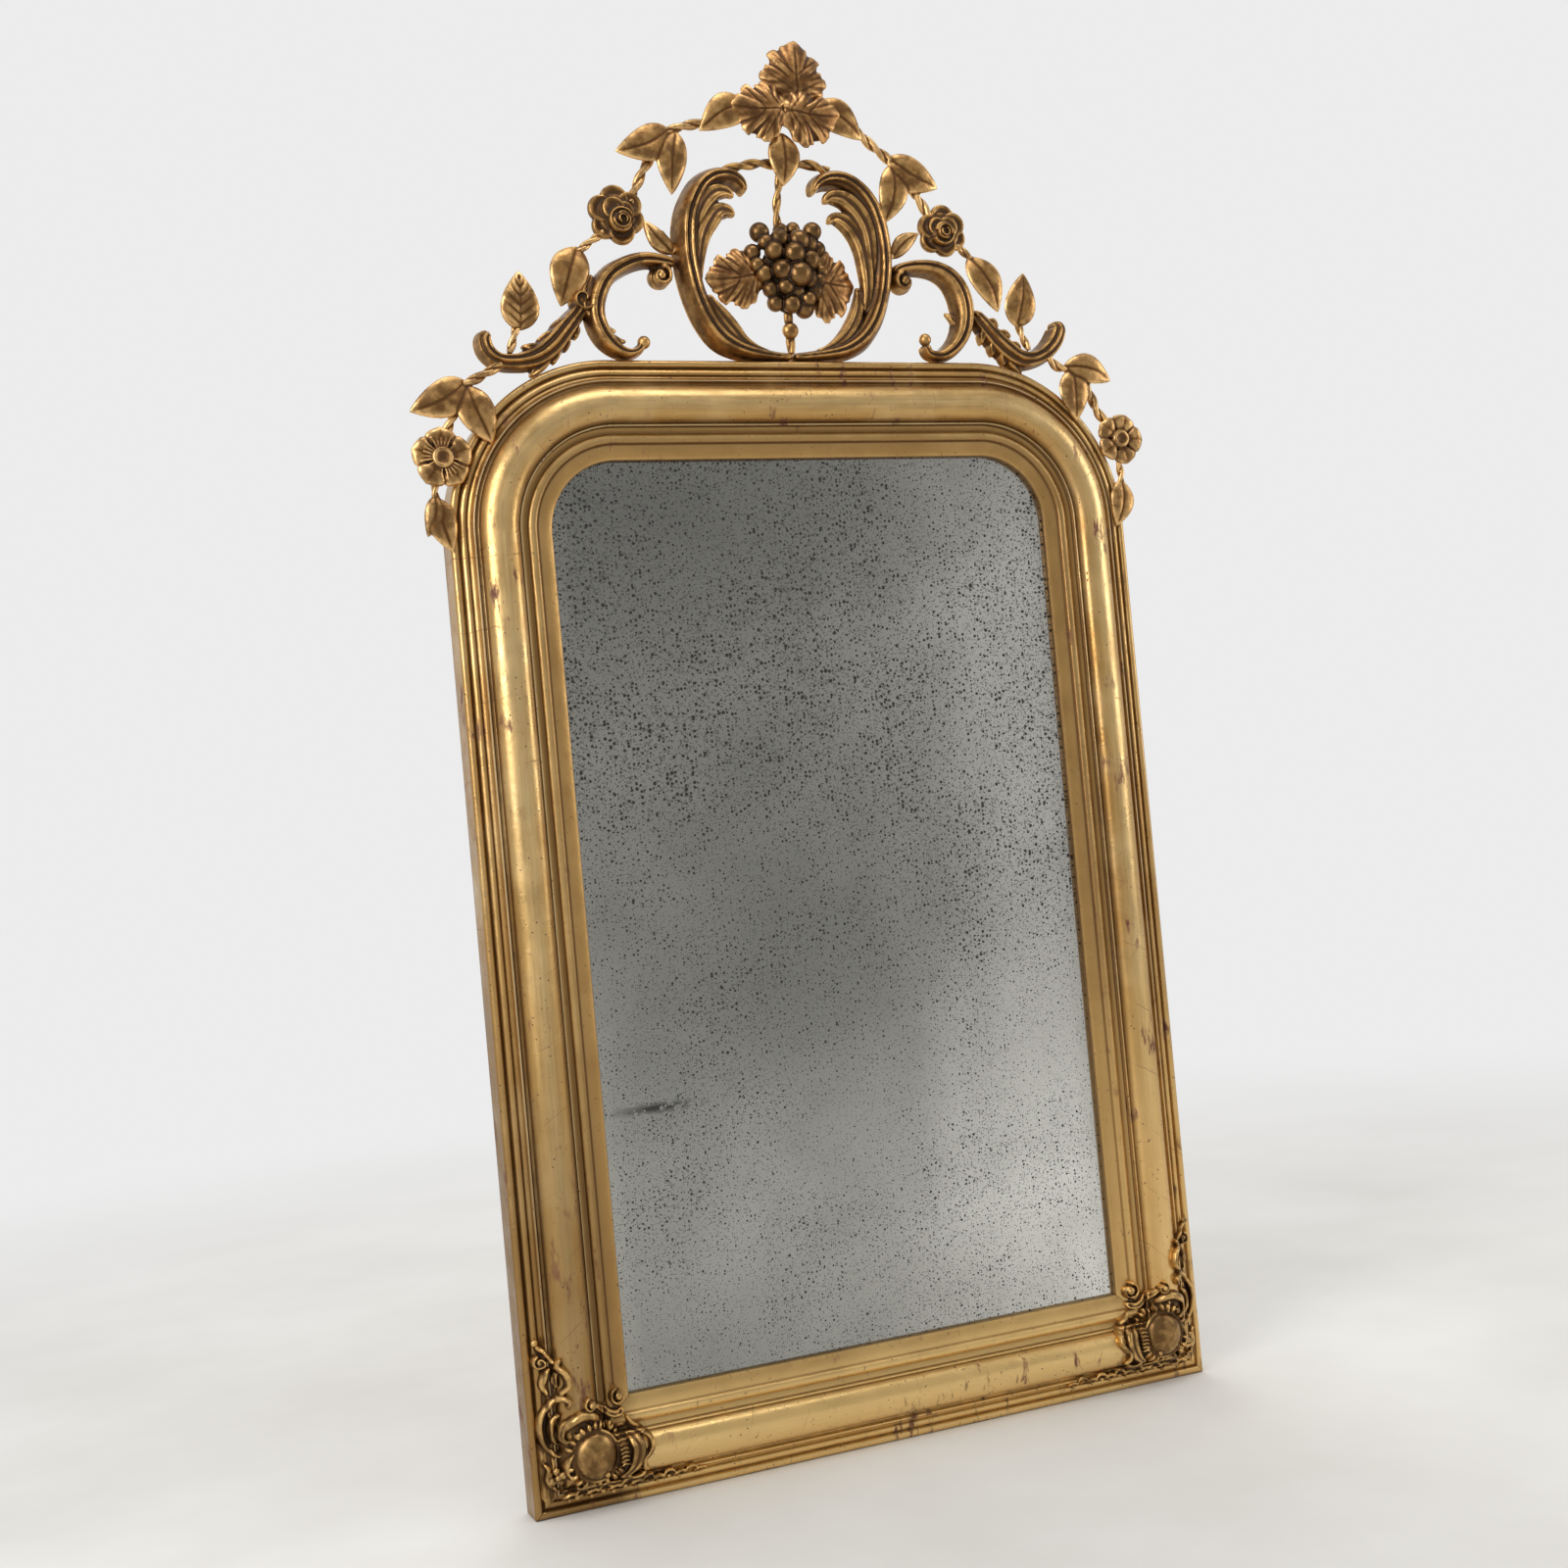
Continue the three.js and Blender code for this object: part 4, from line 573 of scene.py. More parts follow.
cloudy = put(tree, "ShaderNodeMapRange", {
    "Value": put(tree, "ShaderNodeTexNoise", {
        "Vector": place, "Scale": 9, "Detail": 4.0, "Roughness": 0.55}),
    "From Min": 0.3, "From Max": 0.75, "To Min": 0.1, "To Max": 0.24})
tree.links.new(
    put(tree, "ShaderNodeMath", [
        cloudy,
        put(tree, "ShaderNodeMath", [specks, 0.2], operation="MULTIPLY")], operation="ADD"),
    shader.inputs["Roughness"])
shader.inputs["Coat Weight"].default_value = 0.6
shader.inputs["Coat Roughness"].default_value = 0.04
ripple = put(tree, "ShaderNodeTexNoise", {"Vector": place, "Scale": 7, "Detail": 2.0, "Roughness": 0.55})
bump = put(tree, "ShaderNodeBump", {"Strength": 0.06, "Distance": 0.002, "Height": ripple})
tree.links.new(bump, shader.inputs["Normal"])
print("glass material made")

# %% Deal boards and blocks, and forged iron
def deal(name, grain, dark, middle, pale, joints=()):
    """Sawn softwood with its grain along one axis: growth rings show as long wandering lines."""
    material, tree, shader = new_material(name)
    place = put(tree, "ShaderNodeMapping", {
        "Vector": put(tree, "ShaderNodeTexCoord", out="Object"),
        "Scale": grain})
    rings = put(tree, "ShaderNodeTexNoise", {
        "Vector": place, "Scale": 1.0, "Detail": 5.0, "Roughness": 0.6, "Distortion": 0.4})
    lines = put(tree, "ShaderNodeMath", [
        put(tree, "ShaderNodeMath", [rings, 7.0], operation="MULTIPLY")], operation="FRACT")
    tone = toned(put(tree, "ShaderNodeValToRGB", {0: lines}, out=None), [
        (0.0, dark), (0.25, middle), (0.8, pale), (1.0, dark)])
    stains = put(tree, "ShaderNodeTexNoise", {
        "Vector": put(tree, "ShaderNodeTexCoord", out="Object"),
        "Scale": 5, "Detail": 4.0, "Roughness": 0.55})
    fibres = put(tree, "ShaderNodeTexNoise", {
        "Vector": place, "Scale": 9.0, "Detail": 3.0, "Roughness": 0.6})
    tone = put(tree, "ShaderNodeMix", {
        0: put(tree, "ShaderNodeMapRange", {
            "Value": fibres, "From Min": 0.4, "From Max": 0.65, "To Max": 0.55}),
        6: tone, 7: linear(middle)}, out=2, data_type="RGBA")
    tone = put(tree, "ShaderNodeMix", {
        0: put(tree, "ShaderNodeMapRange", {
            "Value": stains, "From Min": 0.45, "From Max": 0.75, "To Max": 0.6}),
        6: tone, 7: linear(dark)}, out=2, data_type="RGBA")
    upward = put(tree, "ShaderNodeSeparateXYZ", {0: put(tree, "ShaderNodeTexCoord", out="Object")}, out="Z")
    for joint in joints:
        beside = put(tree, "ShaderNodeMath", [
            put(tree, "ShaderNodeMath", [upward, joint], operation="SUBTRACT")], operation="ABSOLUTE")
        dust = put(tree, "ShaderNodeMapRange", {
            "Value": beside, "From Min": 0.0016, "From Max": 0.004, "To Min": 0.9, "To Max": 0.0})
        tone = put(tree, "ShaderNodeMix", {0: dust, 6: tone, 7: linear("#2f2116")}, out=2, data_type="RGBA")
    tree.links.new(tone, shader.inputs["Base Color"])
    shader.inputs["Roughness"].default_value = 0.78
    bump = put(tree, "ShaderNodeBump", {
        "Strength": 0.5, "Distance": 0.0008,
        "Height": put(tree, "ShaderNodeMath", [
            lines,
            put(tree, "ShaderNodeTexNoise", {
                "Vector": put(tree, "ShaderNodeTexCoord", out="Object"),
                "Scale": 260, "Detail": 3.0, "Roughness": 0.55})], operation="ADD")})
    tree.links.new(bump, shader.inputs["Normal"])
    return material


# Deal: sawn boards show growth lines along them, and the dust in their joints draws a dark line. The joints'
# heights are in metres.
BOARD_JOINTS = (0.4393, 0.8157)
board_deal = deal("sawn_deal_boards", (1.1, 30, 30), "#6b4d30", "#86653f", "#9b784d", BOARD_JOINTS)
block_deal = deal("split_deal_blocks", (40, 40, 6), "#6b4c2c", "#9a7448", "#b8925f")

# Forged iron: black scale with a dull shine, and brown rust where the scale has come off.
iron, tree, shader = new_material("forged_iron_blackened_in_oil")
place = put(tree, "ShaderNodeTexCoord", out="Object")
scale_marks = put(tree, "ShaderNodeTexNoise", {
    "Vector": place, "Scale": 90, "Detail": 5.0, "Roughness": 0.55})
tree.links.new(
    toned(put(tree, "ShaderNodeValToRGB", {0: scale_marks}, out=None), [
        (0.35, "#1f1c1a"), (0.6, "#3a342f"), (0.72, "#5b3a26")]), shader.inputs["Base Color"])
shader.inputs["Metallic"].default_value = 0.75
tree.links.new(
    put(tree, "ShaderNodeMapRange", {"Value": scale_marks, "To Min": 0.38, "To Max": 0.72}),
    shader.inputs["Roughness"])
bump = put(tree, "ShaderNodeBump", {
    "Strength": 0.5, "Distance": 0.0006,
    "Height": put(tree, "ShaderNodeTexNoise", {
        "Vector": place, "Scale": 300, "Detail": 4.0, "Roughness": 0.55})})
tree.links.new(bump, shader.inputs["Normal"])
print("materials:", len(bpy.data.materials))

# %% [markdown]
# ## The frame: one moulding carried round six runs
# A gilder's moulding is one profile: a double bead on the outside, a cove, a thin fillet, the big torus
# that catches the light, and a fillet at its inner side. A maker cuts it with moulding planes and mitres
# it at the bottom corners. Geometry Nodes do the same here: a curve is the run, a second curve is the
# profile, and Curve to Mesh carries one along the other. The two mitres come from moving each point along
# the run by its distance across the moulding, and a slow wave of a few tenths of a millimetre keeps the
# hand in it.

# %% The profile, as points of across and height
def nose(start, end, rise, steps):
    """A rounded member between two points of the profile."""
    t = (1 + np.cos(np.pi * (1 - np.arange(steps + 1) / steps))) / 2
    line = np.array(start)[None] + (np.array(end) - np.array(start))[None] * t[:, None]
    line[:, 1] += rise * np.sin(np.pi * (1 - np.arange(steps + 1) / steps))
    return line.tolist()


def sweep_between(start, end, sag, steps):
    """A hollow member: a straight line that sags in its middle."""
    t = np.linspace(0, 1, steps + 1)
    line = np.array(start)[None] + (np.array(end) - np.array(start))[None] * t[:, None]
    line[:, 1] -= sag * np.sin(np.pi * t)
    return line.tolist()


frame_profile = [
    [0.6, 0], [0, 1.2], [0, 16], [0.2, 30], *nose([0, 33], [8.6, 34], 4.2, 10), [9.4, 32.9],
    *nose([10.4, 34], [18, 37], 3, 8), [18.6, 36.2], *sweep_between([20, 38], [23.8, 42], 0.8, 4),
    [24.4, 44.2], [24.9, 44.6], [26, 44.6], [26.5, 44], [27.2, 41.9], [28.4, 40.9], [29.8, 40.9],
    *nose([31, 41.7], [74.6, 46], 16.5, 30), [75.1, 46.2], [75.6, 47.3], [76.2, 47.6], [77, 47.6],
    [77.5, 47.2], [77.5, 39.1], [70, 39.1], [70, 13], [62.5, 13], [62.5, 0]]
slip_profile = [
    [70.3, 22], [70.3, 38.8], [77.8, 38.8], [77.8, 40.6], [78.3, 41], [82, 39.8], [84, 39.9],
    *nose([85, 40.2], [96.4, 41], 4, 10), [97, 40.1], [98, 40.3], [113.4, 37.5], [114, 37.1], [114.3, 36.4],
    [114.3, 31.2], [113.9, 30.5], [105.2, 30.5], [105.2, 22]]
print("profile points:", len(frame_profile), "and", len(slip_profile))

# %% A run of the moulding as a path
def straight(start, end, step=6.0):
    """Points of a straight run, near enough together to wave a little."""
    count = max(2, int(np.hypot(*(np.array(end) - np.array(start))) / step) + 1)
    return np.linspace(start, end, count)


def round_corner(centre, radius, start_degrees, end_degrees, step=4.0):
    """Points of a quarter of a circle."""
    turned = math.radians(end_degrees - start_degrees)
    angles = np.radians(start_degrees) + np.linspace(0, turned, int(abs(turned) * radius / step) + 1)
    return np.stack([centre[0] + radius * np.cos(angles), centre[1] + radius * np.sin(angles)], 1)


GAP = 0.3
RUNS = {
    "left": (straight((-HALF_WIDTH, GAP), (-HALF_WIDTH, SPRING_Z - GAP)), 1, 0),
    "left_shoulder": (round_corner((-SPRING_X, SPRING_Z), SHOULDER_RADIUS, 180, 90), 0, 0),
    "top": (straight((-SPRING_X + GAP, FRAME_HEIGHT), (SPRING_X - GAP, FRAME_HEIGHT)), 0, 0),
    "right_shoulder": (round_corner((SPRING_X, SPRING_Z), SHOULDER_RADIUS, 90, 0), 0, 0),
    "right": (straight((HALF_WIDTH, SPRING_Z - GAP), (HALF_WIDTH, GAP)), 0, 1),
    "bottom": (straight((HALF_WIDTH - GAP, 0), (-HALF_WIDTH + GAP, 0)), 1, 1),
}


def curve_object(name, points, closed=False):
    """A poly curve from points in millimetres; its normals stay level."""
    data = bpy.data.curves.new(name, "CURVE")
    data.dimensions = "3D"
    data.twist_mode = "Z_UP"
    spline = data.splines.new("POLY")
    points = np.asarray(points, float)
    if points.shape[1] == 2:
        points = np.column_stack([points, np.zeros(len(points))])
    spline.points.add(len(points) - 1)
    spline.points.foreach_set("co", np.column_stack([points * MM, np.ones(len(points))]).ravel())
    spline.use_cyclic_u = closed
    obj = bpy.data.objects.new(name, data)
    bpy.context.scene.collection.objects.link(obj)
    return obj


profiles = {
    "frame": curve_object("frame profile", [(a, -h) for a, h in frame_profile], closed=True),
    "slip": curve_object("slip profile", [(a, -h) for a, h in slip_profile], closed=True),
}
print("runs:", ", ".join(RUNS))

# %% The sweep's node tree
def group_input(tree, name, kind, value=None):
    """A named input of a node tree."""
    socket = tree.interface.new_socket(name, in_out="INPUT", socket_type=kind)
    if value is not None:
        socket.default_value = value
    return socket


def new_tree(name, inputs):
    """A Geometry Nodes tree with named inputs; returns the tree and its inputs' outputs by name."""
    tree = bpy.data.node_groups.new(name, "GeometryNodeTree")
    tree.interface.new_socket("Geometry", in_out="OUTPUT", socket_type="NodeSocketGeometry")
    group_input(tree, "Geometry", "NodeSocketGeometry")
    for label, kind, value in inputs:
        group_input(tree, label, kind, value)
    return tree, put(tree, "NodeGroupInput", out=None).outputs


def ended(tree, geometry, material):
    """Ends a tree: instances made real, the material set, the result given out."""
    real = put(tree, "GeometryNodeRealizeInstances", {0: geometry}, out=None)
    coated = put(tree, "GeometryNodeSetMaterial", {
        "Geometry": real.outputs[0], "Material": material}, out=None)
    put(tree, "NodeGroupOutput", {0: coated.outputs[0]}, out=None)


moulding_tree, given = new_tree("moulding along a run", [
    ("Profile", "NodeSocketObject", None), ("Start Mitre", "NodeSocketFloat", 0.0),
    ("End Mitre", "NodeSocketFloat", 0.0), ("Hand Wave", "NodeSocketFloat", 0.0002),
    ("Seed", "NodeSocketFloat", 0.0), ("Material", "NodeSocketMaterial", None)])
tree = moulding_tree
profile = put(tree, "GeometryNodeObjectInfo", {"Object": given["Profile"]}, out="Geometry")
spot = put(tree, "GeometryNodeInputPosition")
profile = put(tree, "GeometryNodeStoreNamedAttribute", {
    "Geometry": profile, "Name": "across",
    "Value": put(tree, "ShaderNodeSeparateXYZ", {0: spot}, out="X")}, data_type="FLOAT", domain="POINT")
run_place = put(tree, "GeometryNodeSplineParameter", out=None)
run = put(tree, "GeometryNodeStoreNamedAttribute", {
    "Geometry": given["Geometry"], "Name": "along",
    "Value": run_place.outputs["Length"]}, data_type="FLOAT", domain="POINT")
run = put(tree, "GeometryNodeStoreNamedAttribute", {
    "Geometry": run, "Name": "share",
    "Value": run_place.outputs["Factor"]}, data_type="FLOAT", domain="POINT")
run = put(tree, "GeometryNodeStoreNamedAttribute", {
    "Geometry": run, "Name": "heading",
    "Value": put(tree, "GeometryNodeInputTangent")}, data_type="FLOAT_VECTOR", domain="POINT")
swept = put(tree, "GeometryNodeCurveToMesh", {"Curve": run, "Profile Curve": profile, "Fill Caps": True})
share = put(tree, "GeometryNodeInputNamedAttribute", {"Name": "share"}, data_type="FLOAT")
start_pull = put(tree, "ShaderNodeMath", [
    put(tree, "ShaderNodeMath", [1.0, share], operation="SUBTRACT"),
    given["Start Mitre"]], operation="MULTIPLY")
end_pull = put(tree, "ShaderNodeMath", [share, given["End Mitre"]], operation="MULTIPLY")
pull = put(tree, "ShaderNodeMath", [
    put(tree, "ShaderNodeMath", [start_pull, end_pull], operation="SUBTRACT"),
    put(tree, "GeometryNodeInputNamedAttribute", {
        "Name": "across"}, data_type="FLOAT")], operation="MULTIPLY")
swept = put(tree, "GeometryNodeSetPosition", {
    "Geometry": swept,
    "Offset": put(tree, "ShaderNodeVectorMath", {
        0: put(tree, "GeometryNodeInputNamedAttribute", {"Name": "heading"}, data_type="FLOAT_VECTOR"),
        "Scale": pull}, operation="SCALE")})
shifted = put(tree, "ShaderNodeVectorMath", {
    0: put(tree, "GeometryNodeInputPosition"),
    1: given["Seed"]}, operation="ADD")
wave = put(tree, "ShaderNodeMath", [
    put(tree, "ShaderNodeTexNoise", {"Vector": shifted, "Scale": 22.0, "Detail": 2.0, "Roughness": 0.55}),
    0.5], operation="SUBTRACT")
crown_only = put(tree, "ShaderNodeMapRange", {
    "Value": put(tree, "GeometryNodeInputNamedAttribute", {"Name": "across"}, data_type="FLOAT"),
    "From Min": 0.03, "From Max": 0.045})
bounded = put(tree, "ShaderNodeMapRange", {
    "Value": put(tree, "GeometryNodeInputNamedAttribute", {"Name": "across"}, data_type="FLOAT"),
    "From Min": 0.062, "From Max": 0.072, "To Min": 1.0, "To Max": 0.0})
lift = put(tree, "ShaderNodeMath", [
    put(tree, "ShaderNodeMath", [wave, given["Hand Wave"]], operation="MULTIPLY"),
    put(tree, "ShaderNodeMath", [crown_only, bounded], operation="MULTIPLY")], operation="MULTIPLY")
up = put(tree, "ShaderNodeCombineXYZ", {"Z": lift})
swept = put(tree, "GeometryNodeSetPosition", {"Geometry": swept, "Offset": up})
quarter = put(tree, "GeometryNodeTransform", {
    "Geometry": swept, "Rotation": (math.pi / 2, 0, 0), "Translation": (0, BACK_Y * MM, 0)})
ended(tree, quarter, given["Material"])
print("nodes in the sweep:", len(moulding_tree.nodes))

# %% From live objects to plain meshes
def set_inputs(modifier, values):
    """Sets a modifier's inputs, by the identifier of each socket."""
    for item in modifier.node_group.interface.items_tree:
        if item.in_out == "INPUT" and item.name in values:
            modifier[item.identifier] = values[item.name]


def plain_mesh(name, maker):
    """The evaluated result of an object with modifiers, as a new object; the maker is removed."""
    bpy.context.view_layer.update()
    evaluated = maker.evaluated_get(bpy.context.evaluated_depsgraph_get())
    mesh = bpy.data.meshes.new_from_object(evaluated)
    mesh.name = name
    bpy.data.objects.remove(maker)
    obj = bpy.data.objects.new(name, mesh)
    bpy.context.scene.collection.objects.link(obj)
    return obj


def outward(mesh):
    """Turns every face of a closed mesh outwards."""
    shape = bmesh.new()
    shape.from_mesh(mesh)
    bmesh.ops.remove_doubles(shape, verts=shape.verts, dist=0.00001)
    bmesh.ops.recalc_face_normals(shape, faces=shape.faces)
    shape.to_mesh(mesh)
    shape.free()


def grown(name, maker, tree, **inputs):
    """Runs a node tree on an object and keeps the result as a plain mesh."""
    modifier = maker.modifiers.new("grow", "NODES")
    modifier.node_group = tree
    set_inputs(modifier, {key.replace("_", " ").title(): value for key, value in inputs.items()})
    return plain_mesh(name, maker)


def handed_over(obj, slot, *nodes, body="mirror"):
    """Hands a finished piece to the frame: attaches it to the body that carries it and hides the solids that
    it stands for; the slot is not used.
    """
    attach(obj, body)
    if nodes:
        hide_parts(*nodes)
    return obj


# %% The six runs of the frame and of its slip
RUN_NODES = {
    "left": ("frame_left_stile", "slip_left"), "right": ("frame_right_stile", "slip_right"),
    "left_shoulder": ("frame_left_shoulder", "slip_left_corner"),
    "right_shoulder": ("frame_right_shoulder", "slip_right_corner"),
    "top": ("frame_top_rail", "slip_top"), "bottom": ("frame_bottom_rail", "slip_bottom")}
for seed, (run_name, (points, start, end)) in enumerate(RUNS.items()):
    for part, node, finish, wave in (("frame", RUN_NODES[run_name][0], moulding_gilding, 0.0006),
                                     ("slip", RUN_NODES[run_name][1], slip_gilding, 0.0)):
        path = curve_object("run", points)
        piece = grown("gilt_" + node, path, moulding_tree, profile=profiles[part], start_mitre=start,
                      end_mitre=end, hand_wave=wave, seed=seed * 0.37, material=finish)
        outward(piece.data)
        piece.data.shade_smooth()
        piece.data.set_sharp_from_angle(angle=math.radians(38))
        handed_over(piece, part + "_gilding", node)
for profile_curve in profiles.values():
    bpy.data.objects.remove(profile_curve)

# %% [markdown]
# ## The carver's kit
# The crest was carved or pressed in pieces, coated with gesso and gilded, so all its forms are soft and
# run into one another. A form is built from strokes: rows of place, half width and depth that a smooth
# line joins, with a section that is round, reeded or hollowed. The strokes of one piece are merged by a
# voxel remesh, as gesso merges carving, and a light smoothing takes off the voxel steps. Then each point
# learns how deep in a hollow it lies, for the gilding.

# %% Smooth lines through rows of numbers
def smooth_rows(rows, step):
    """Rows whose first two numbers are a place, joined by a smooth curve and read off about every step."""
    rows = np.array(rows, float)
    gaps = np.maximum(np.hypot(*np.diff(rows[:, :2], axis=0).T), 1e-6)
    at = np.concatenate([[0], np.cumsum(np.sqrt(gaps))])
    slopes = np.gradient(rows, at, axis=0)
    t = np.linspace(0, at[-1], max(3, int(gaps.sum() / step) + 1))
    i = np.clip(np.searchsorted(at, t, side="right") - 1, 0, len(at) - 2)
    h = (at[i + 1] - at[i])[:, None]
    s = (t[:, None] - at[i][:, None]) / h
    return (rows[i] * (1 + 2 * s) * (1 - s) ** 2 + slopes[i] * h * s * (1 - s) ** 2
            + rows[i + 1] * s ** 2 * (3 - 2 * s) + slopes[i + 1] * h * s ** 2 * (s - 1))


def loft(rings):
    """Joins rings of points into one closed shell, with a fan at each end."""
    rings = np.asarray(rings, float)
    count, around = rings.shape[:2]
    points = np.concatenate([rings.reshape(-1, 3), rings[0].mean(0)[None], rings[-1].mean(0)[None]])
    i = np.arange(count - 1)[:, None] * around
    j = np.arange(around)[None]
    k = (j + 1) % around
    sides = np.stack([i + j, i + k, i + around + k, i + around + j], -1).reshape(-1, 4).tolist()
    j, k = j[0], k[0]
    first = np.stack([np.full(around, count * around), k, j], 1).tolist()
    last = (count - 1) * around
    end = np.stack([np.full(around, count * around + 1), last + j, last + k], 1).tolist()
    return points, sides + first + end


# %% Sections of carved strokes: how high the front stands across the width
ACROSS = -np.cos(np.linspace(0, np.pi, 25))


def round_section(u):
    """A plain roll."""
    return np.sqrt(np.maximum(0, 1 - u * u)) * 0.86 + 0.14 * (1 - np.abs(u) ** 3)


def valley(u, place, width):
    """A groove at a place across the stroke."""
    return np.exp(-((u - place) / width) ** 2)


def scroll_section(u):
    """An acanthus scroll: a fat outer roll, a deep groove, a sharp inner ridge and a lower lip."""
    return (1 - np.abs(u) ** 2.3) ** 0.62 * (1 - 0.20 * valley(u, -0.02, 0.18) - 0.13 * valley(u, 0.5, 0.16)
                                             - 0.05 * valley(u, -0.55, 0.16))


def reeded_section(u):
    """Several reeds side by side."""
    return (1 - np.abs(u) ** 3) ** 0.55 * (0.90 + 0.10 * np.cos(u * math.pi * 2.9 + 0.6))


def twin_section(u):
    """Two rolls with a groove between them."""
    return (1 - np.abs(u) ** 3) ** 0.55 * (1 - 0.20 * valley(u, 0.15, 0.2))


def tongue_section(u):
    """A leaf tongue: hollowed along its middle between two raised edges."""
    return (1 - np.abs(u) ** 4) ** 0.5 * (0.80 + 0.20 * np.abs(u) ** 1.3 - 0.06 * valley(u, 0, 0.2))


def stroke(rows, section=round_section, back=0.0, flip=1, step=1.6, place=None):
    """A carved stroke. A row is across, up, half width and depth; it stands forward from the crest's back."""
    line = smooth_rows(rows, step)
    line[:, 2:] = np.maximum(line[:, 2:], 0.4)
    run = np.gradient(line[:, :2], axis=0)
    run /= np.maximum(np.hypot(run[:, 0], run[:, 1]), 1e-9)[:, None]
    side = np.stack([-run[:, 1], run[:, 0]], 1)
    gone = np.concatenate([[0], np.cumsum(np.hypot(*np.diff(line[:, :2], axis=0).T))])
    reach = np.maximum(line[:, 2], 1.0)
    from_end = np.minimum(gone, gone[-1] - gone) / reach
    shut = np.where(from_end < 1, np.sqrt(np.clip(1 - (1 - from_end) ** 2, 0.02, 1)), 1.0)
    width, depth = line[:, 2] * shut, line[:, 3] * (0.45 + 0.55 * shut)
    front = section(ACROSS * flip)
    behind_u = np.array([0.84, 0.4, -0.4, -0.84])
    us = np.concatenate([ACROSS, behind_u])
    vs = np.concatenate([np.maximum(front, 0.10), np.array([0.0, -0.02, -0.02, 0.0])])
    vs[0] = vs[len(ACROSS) - 1] = 0.2
    xz = line[:, None, :2] + side[:, None] * (us[None] * width[:, None])[:, :, None]
    base = np.zeros(xz.shape[:2]) if place is None else place(xz)
    y = -back - base - vs[None] * depth[:, None]
    return loft(np.stack([xz[..., 0], y, xz[..., 1]], -1))


def turned(centre, profile, around=28, squash=1.0, place=None):
    """A turned boss: a profile of radius and height carried round an axis that runs front to back."""
    angles = np.linspace(0, 2 * math.pi, around, endpoint=False)
    base = 0.0 if place is None else float(place(np.array([[centre]], float))[0, 0])
    rings = [[(centre[0] + max(r, 0.05) * math.cos(a), -base - h,
        centre[1] + max(r, 0.05) * squash * math.sin(a))
              for a in angles] for r, h in profile]
    return loft(rings)


def ball(centre, radius, forward, squash=0.9, around=20):
    """A ball that may be flattened front to back; forward is how far in front of the back its middle is."""
    steps = np.linspace(0.02, math.pi - 0.02, 12)
    return turned(centre, [(radius * math.sin(t), forward - radius * squash * math.cos(t)) for t in steps],
        around)


def curl(centre, start_radius, end_radius, start_degrees, end_degrees, widths, depths, back=0.0, place=None,
         steps=9):
    """A volute: a stroke along a spiral that winds in to its eye."""
    t = np.linspace(0, 1, steps)
    angle = np.radians(start_degrees + (end_degrees - start_degrees) * t)
    radius = start_radius + (end_radius - start_radius) * t
    rows = np.stack([centre[0] + radius * np.cos(angle), centre[1] + radius * np.sin(angle),
                     widths[0] + (widths[1] - widths[0]) * t, depths[0] + (depths[1] - depths[0]) * t], 1)
    return stroke(rows, back=back, place=place, step=1.2)


print("strokes have", len(ACROSS) + 4, "points round")

# %% Leaves as swollen shells with a sunk midrib
def leaf(base, tip, width, back=16.0, bow=6.0, cup=3.0, thick=4.6, fullest=0.42, bend=0.0, veins=0,
         turn_tip=0.0, fold=0.0, rib=0.32):
    """A leaf from base to tip: bend curves it, bow arches it, fold makes one half stand higher."""
    base, tip = np.array(base, float), np.array(tip, float)
    along = tip - base
    length = np.hypot(*along)
    side = np.array([-along[1], along[0]]) / length
    t = np.linspace(0.0, 1.0, max(26, int(length / 1.3)))[:, None]
    u = np.linspace(-1, 1, 27)[None]
    power = math.log(0.5) / math.log(fullest)
    reach = width / 2 * np.sin(np.pi * np.clip(t, 0.004, 0.996) ** power) ** 0.8
    middle = base + along * t + side * bend * np.sin(np.pi * t)
    xz = middle[:, None, :] + side * (u * reach)[..., None]
    lines = np.abs(u)
    midrib = -rib * np.exp(-(u * reach / 1.4) ** 2) * np.sin(np.pi * t) ** 0.5
    swell = cup * (1 - (lines * 1.25 - 0.45) ** 2 * 1.1) * np.minimum(1, reach / (width / 2) + 0.15)
    herring = 0.0
    if veins:
        herring = -1.1 * np.exp(-((np.mod((t * 1.08 - lines * 0.30) * veins, 1.0) - 0.5) / 0.17) ** 2)
        herring = herring * np.clip(1.2 - lines * 1.15, 0, 1) * (np.sin(np.pi * t) > 0.25)
    arch = bow * np.sin(np.pi * t * 0.95) + turn_tip * t ** 3 + fold * u * np.sin(np.pi * t)
    surface = back + arch + swell + midrib + herring
    rim = np.sqrt(np.maximum(0, 1 - lines ** 6)) * (0.35 + 0.65 * np.sin(np.pi * np.clip(t, 0.02,
        0.98)) ** 0.5)
    front = surface + thick / 2 * rim
    behind = back + arch + swell * 0.55 - thick / 2 * rim
    us = u.shape[1]
    rings_front = np.stack([xz[..., 0], -front, xz[..., 1]], -1)
    rings_back = np.stack([xz[..., 0], -behind, xz[..., 1]], -1)[:, ::-1]
    rings_back = rings_back[:, 1:us - 1]
    return loft(np.concatenate([rings_front, rings_back], 1))


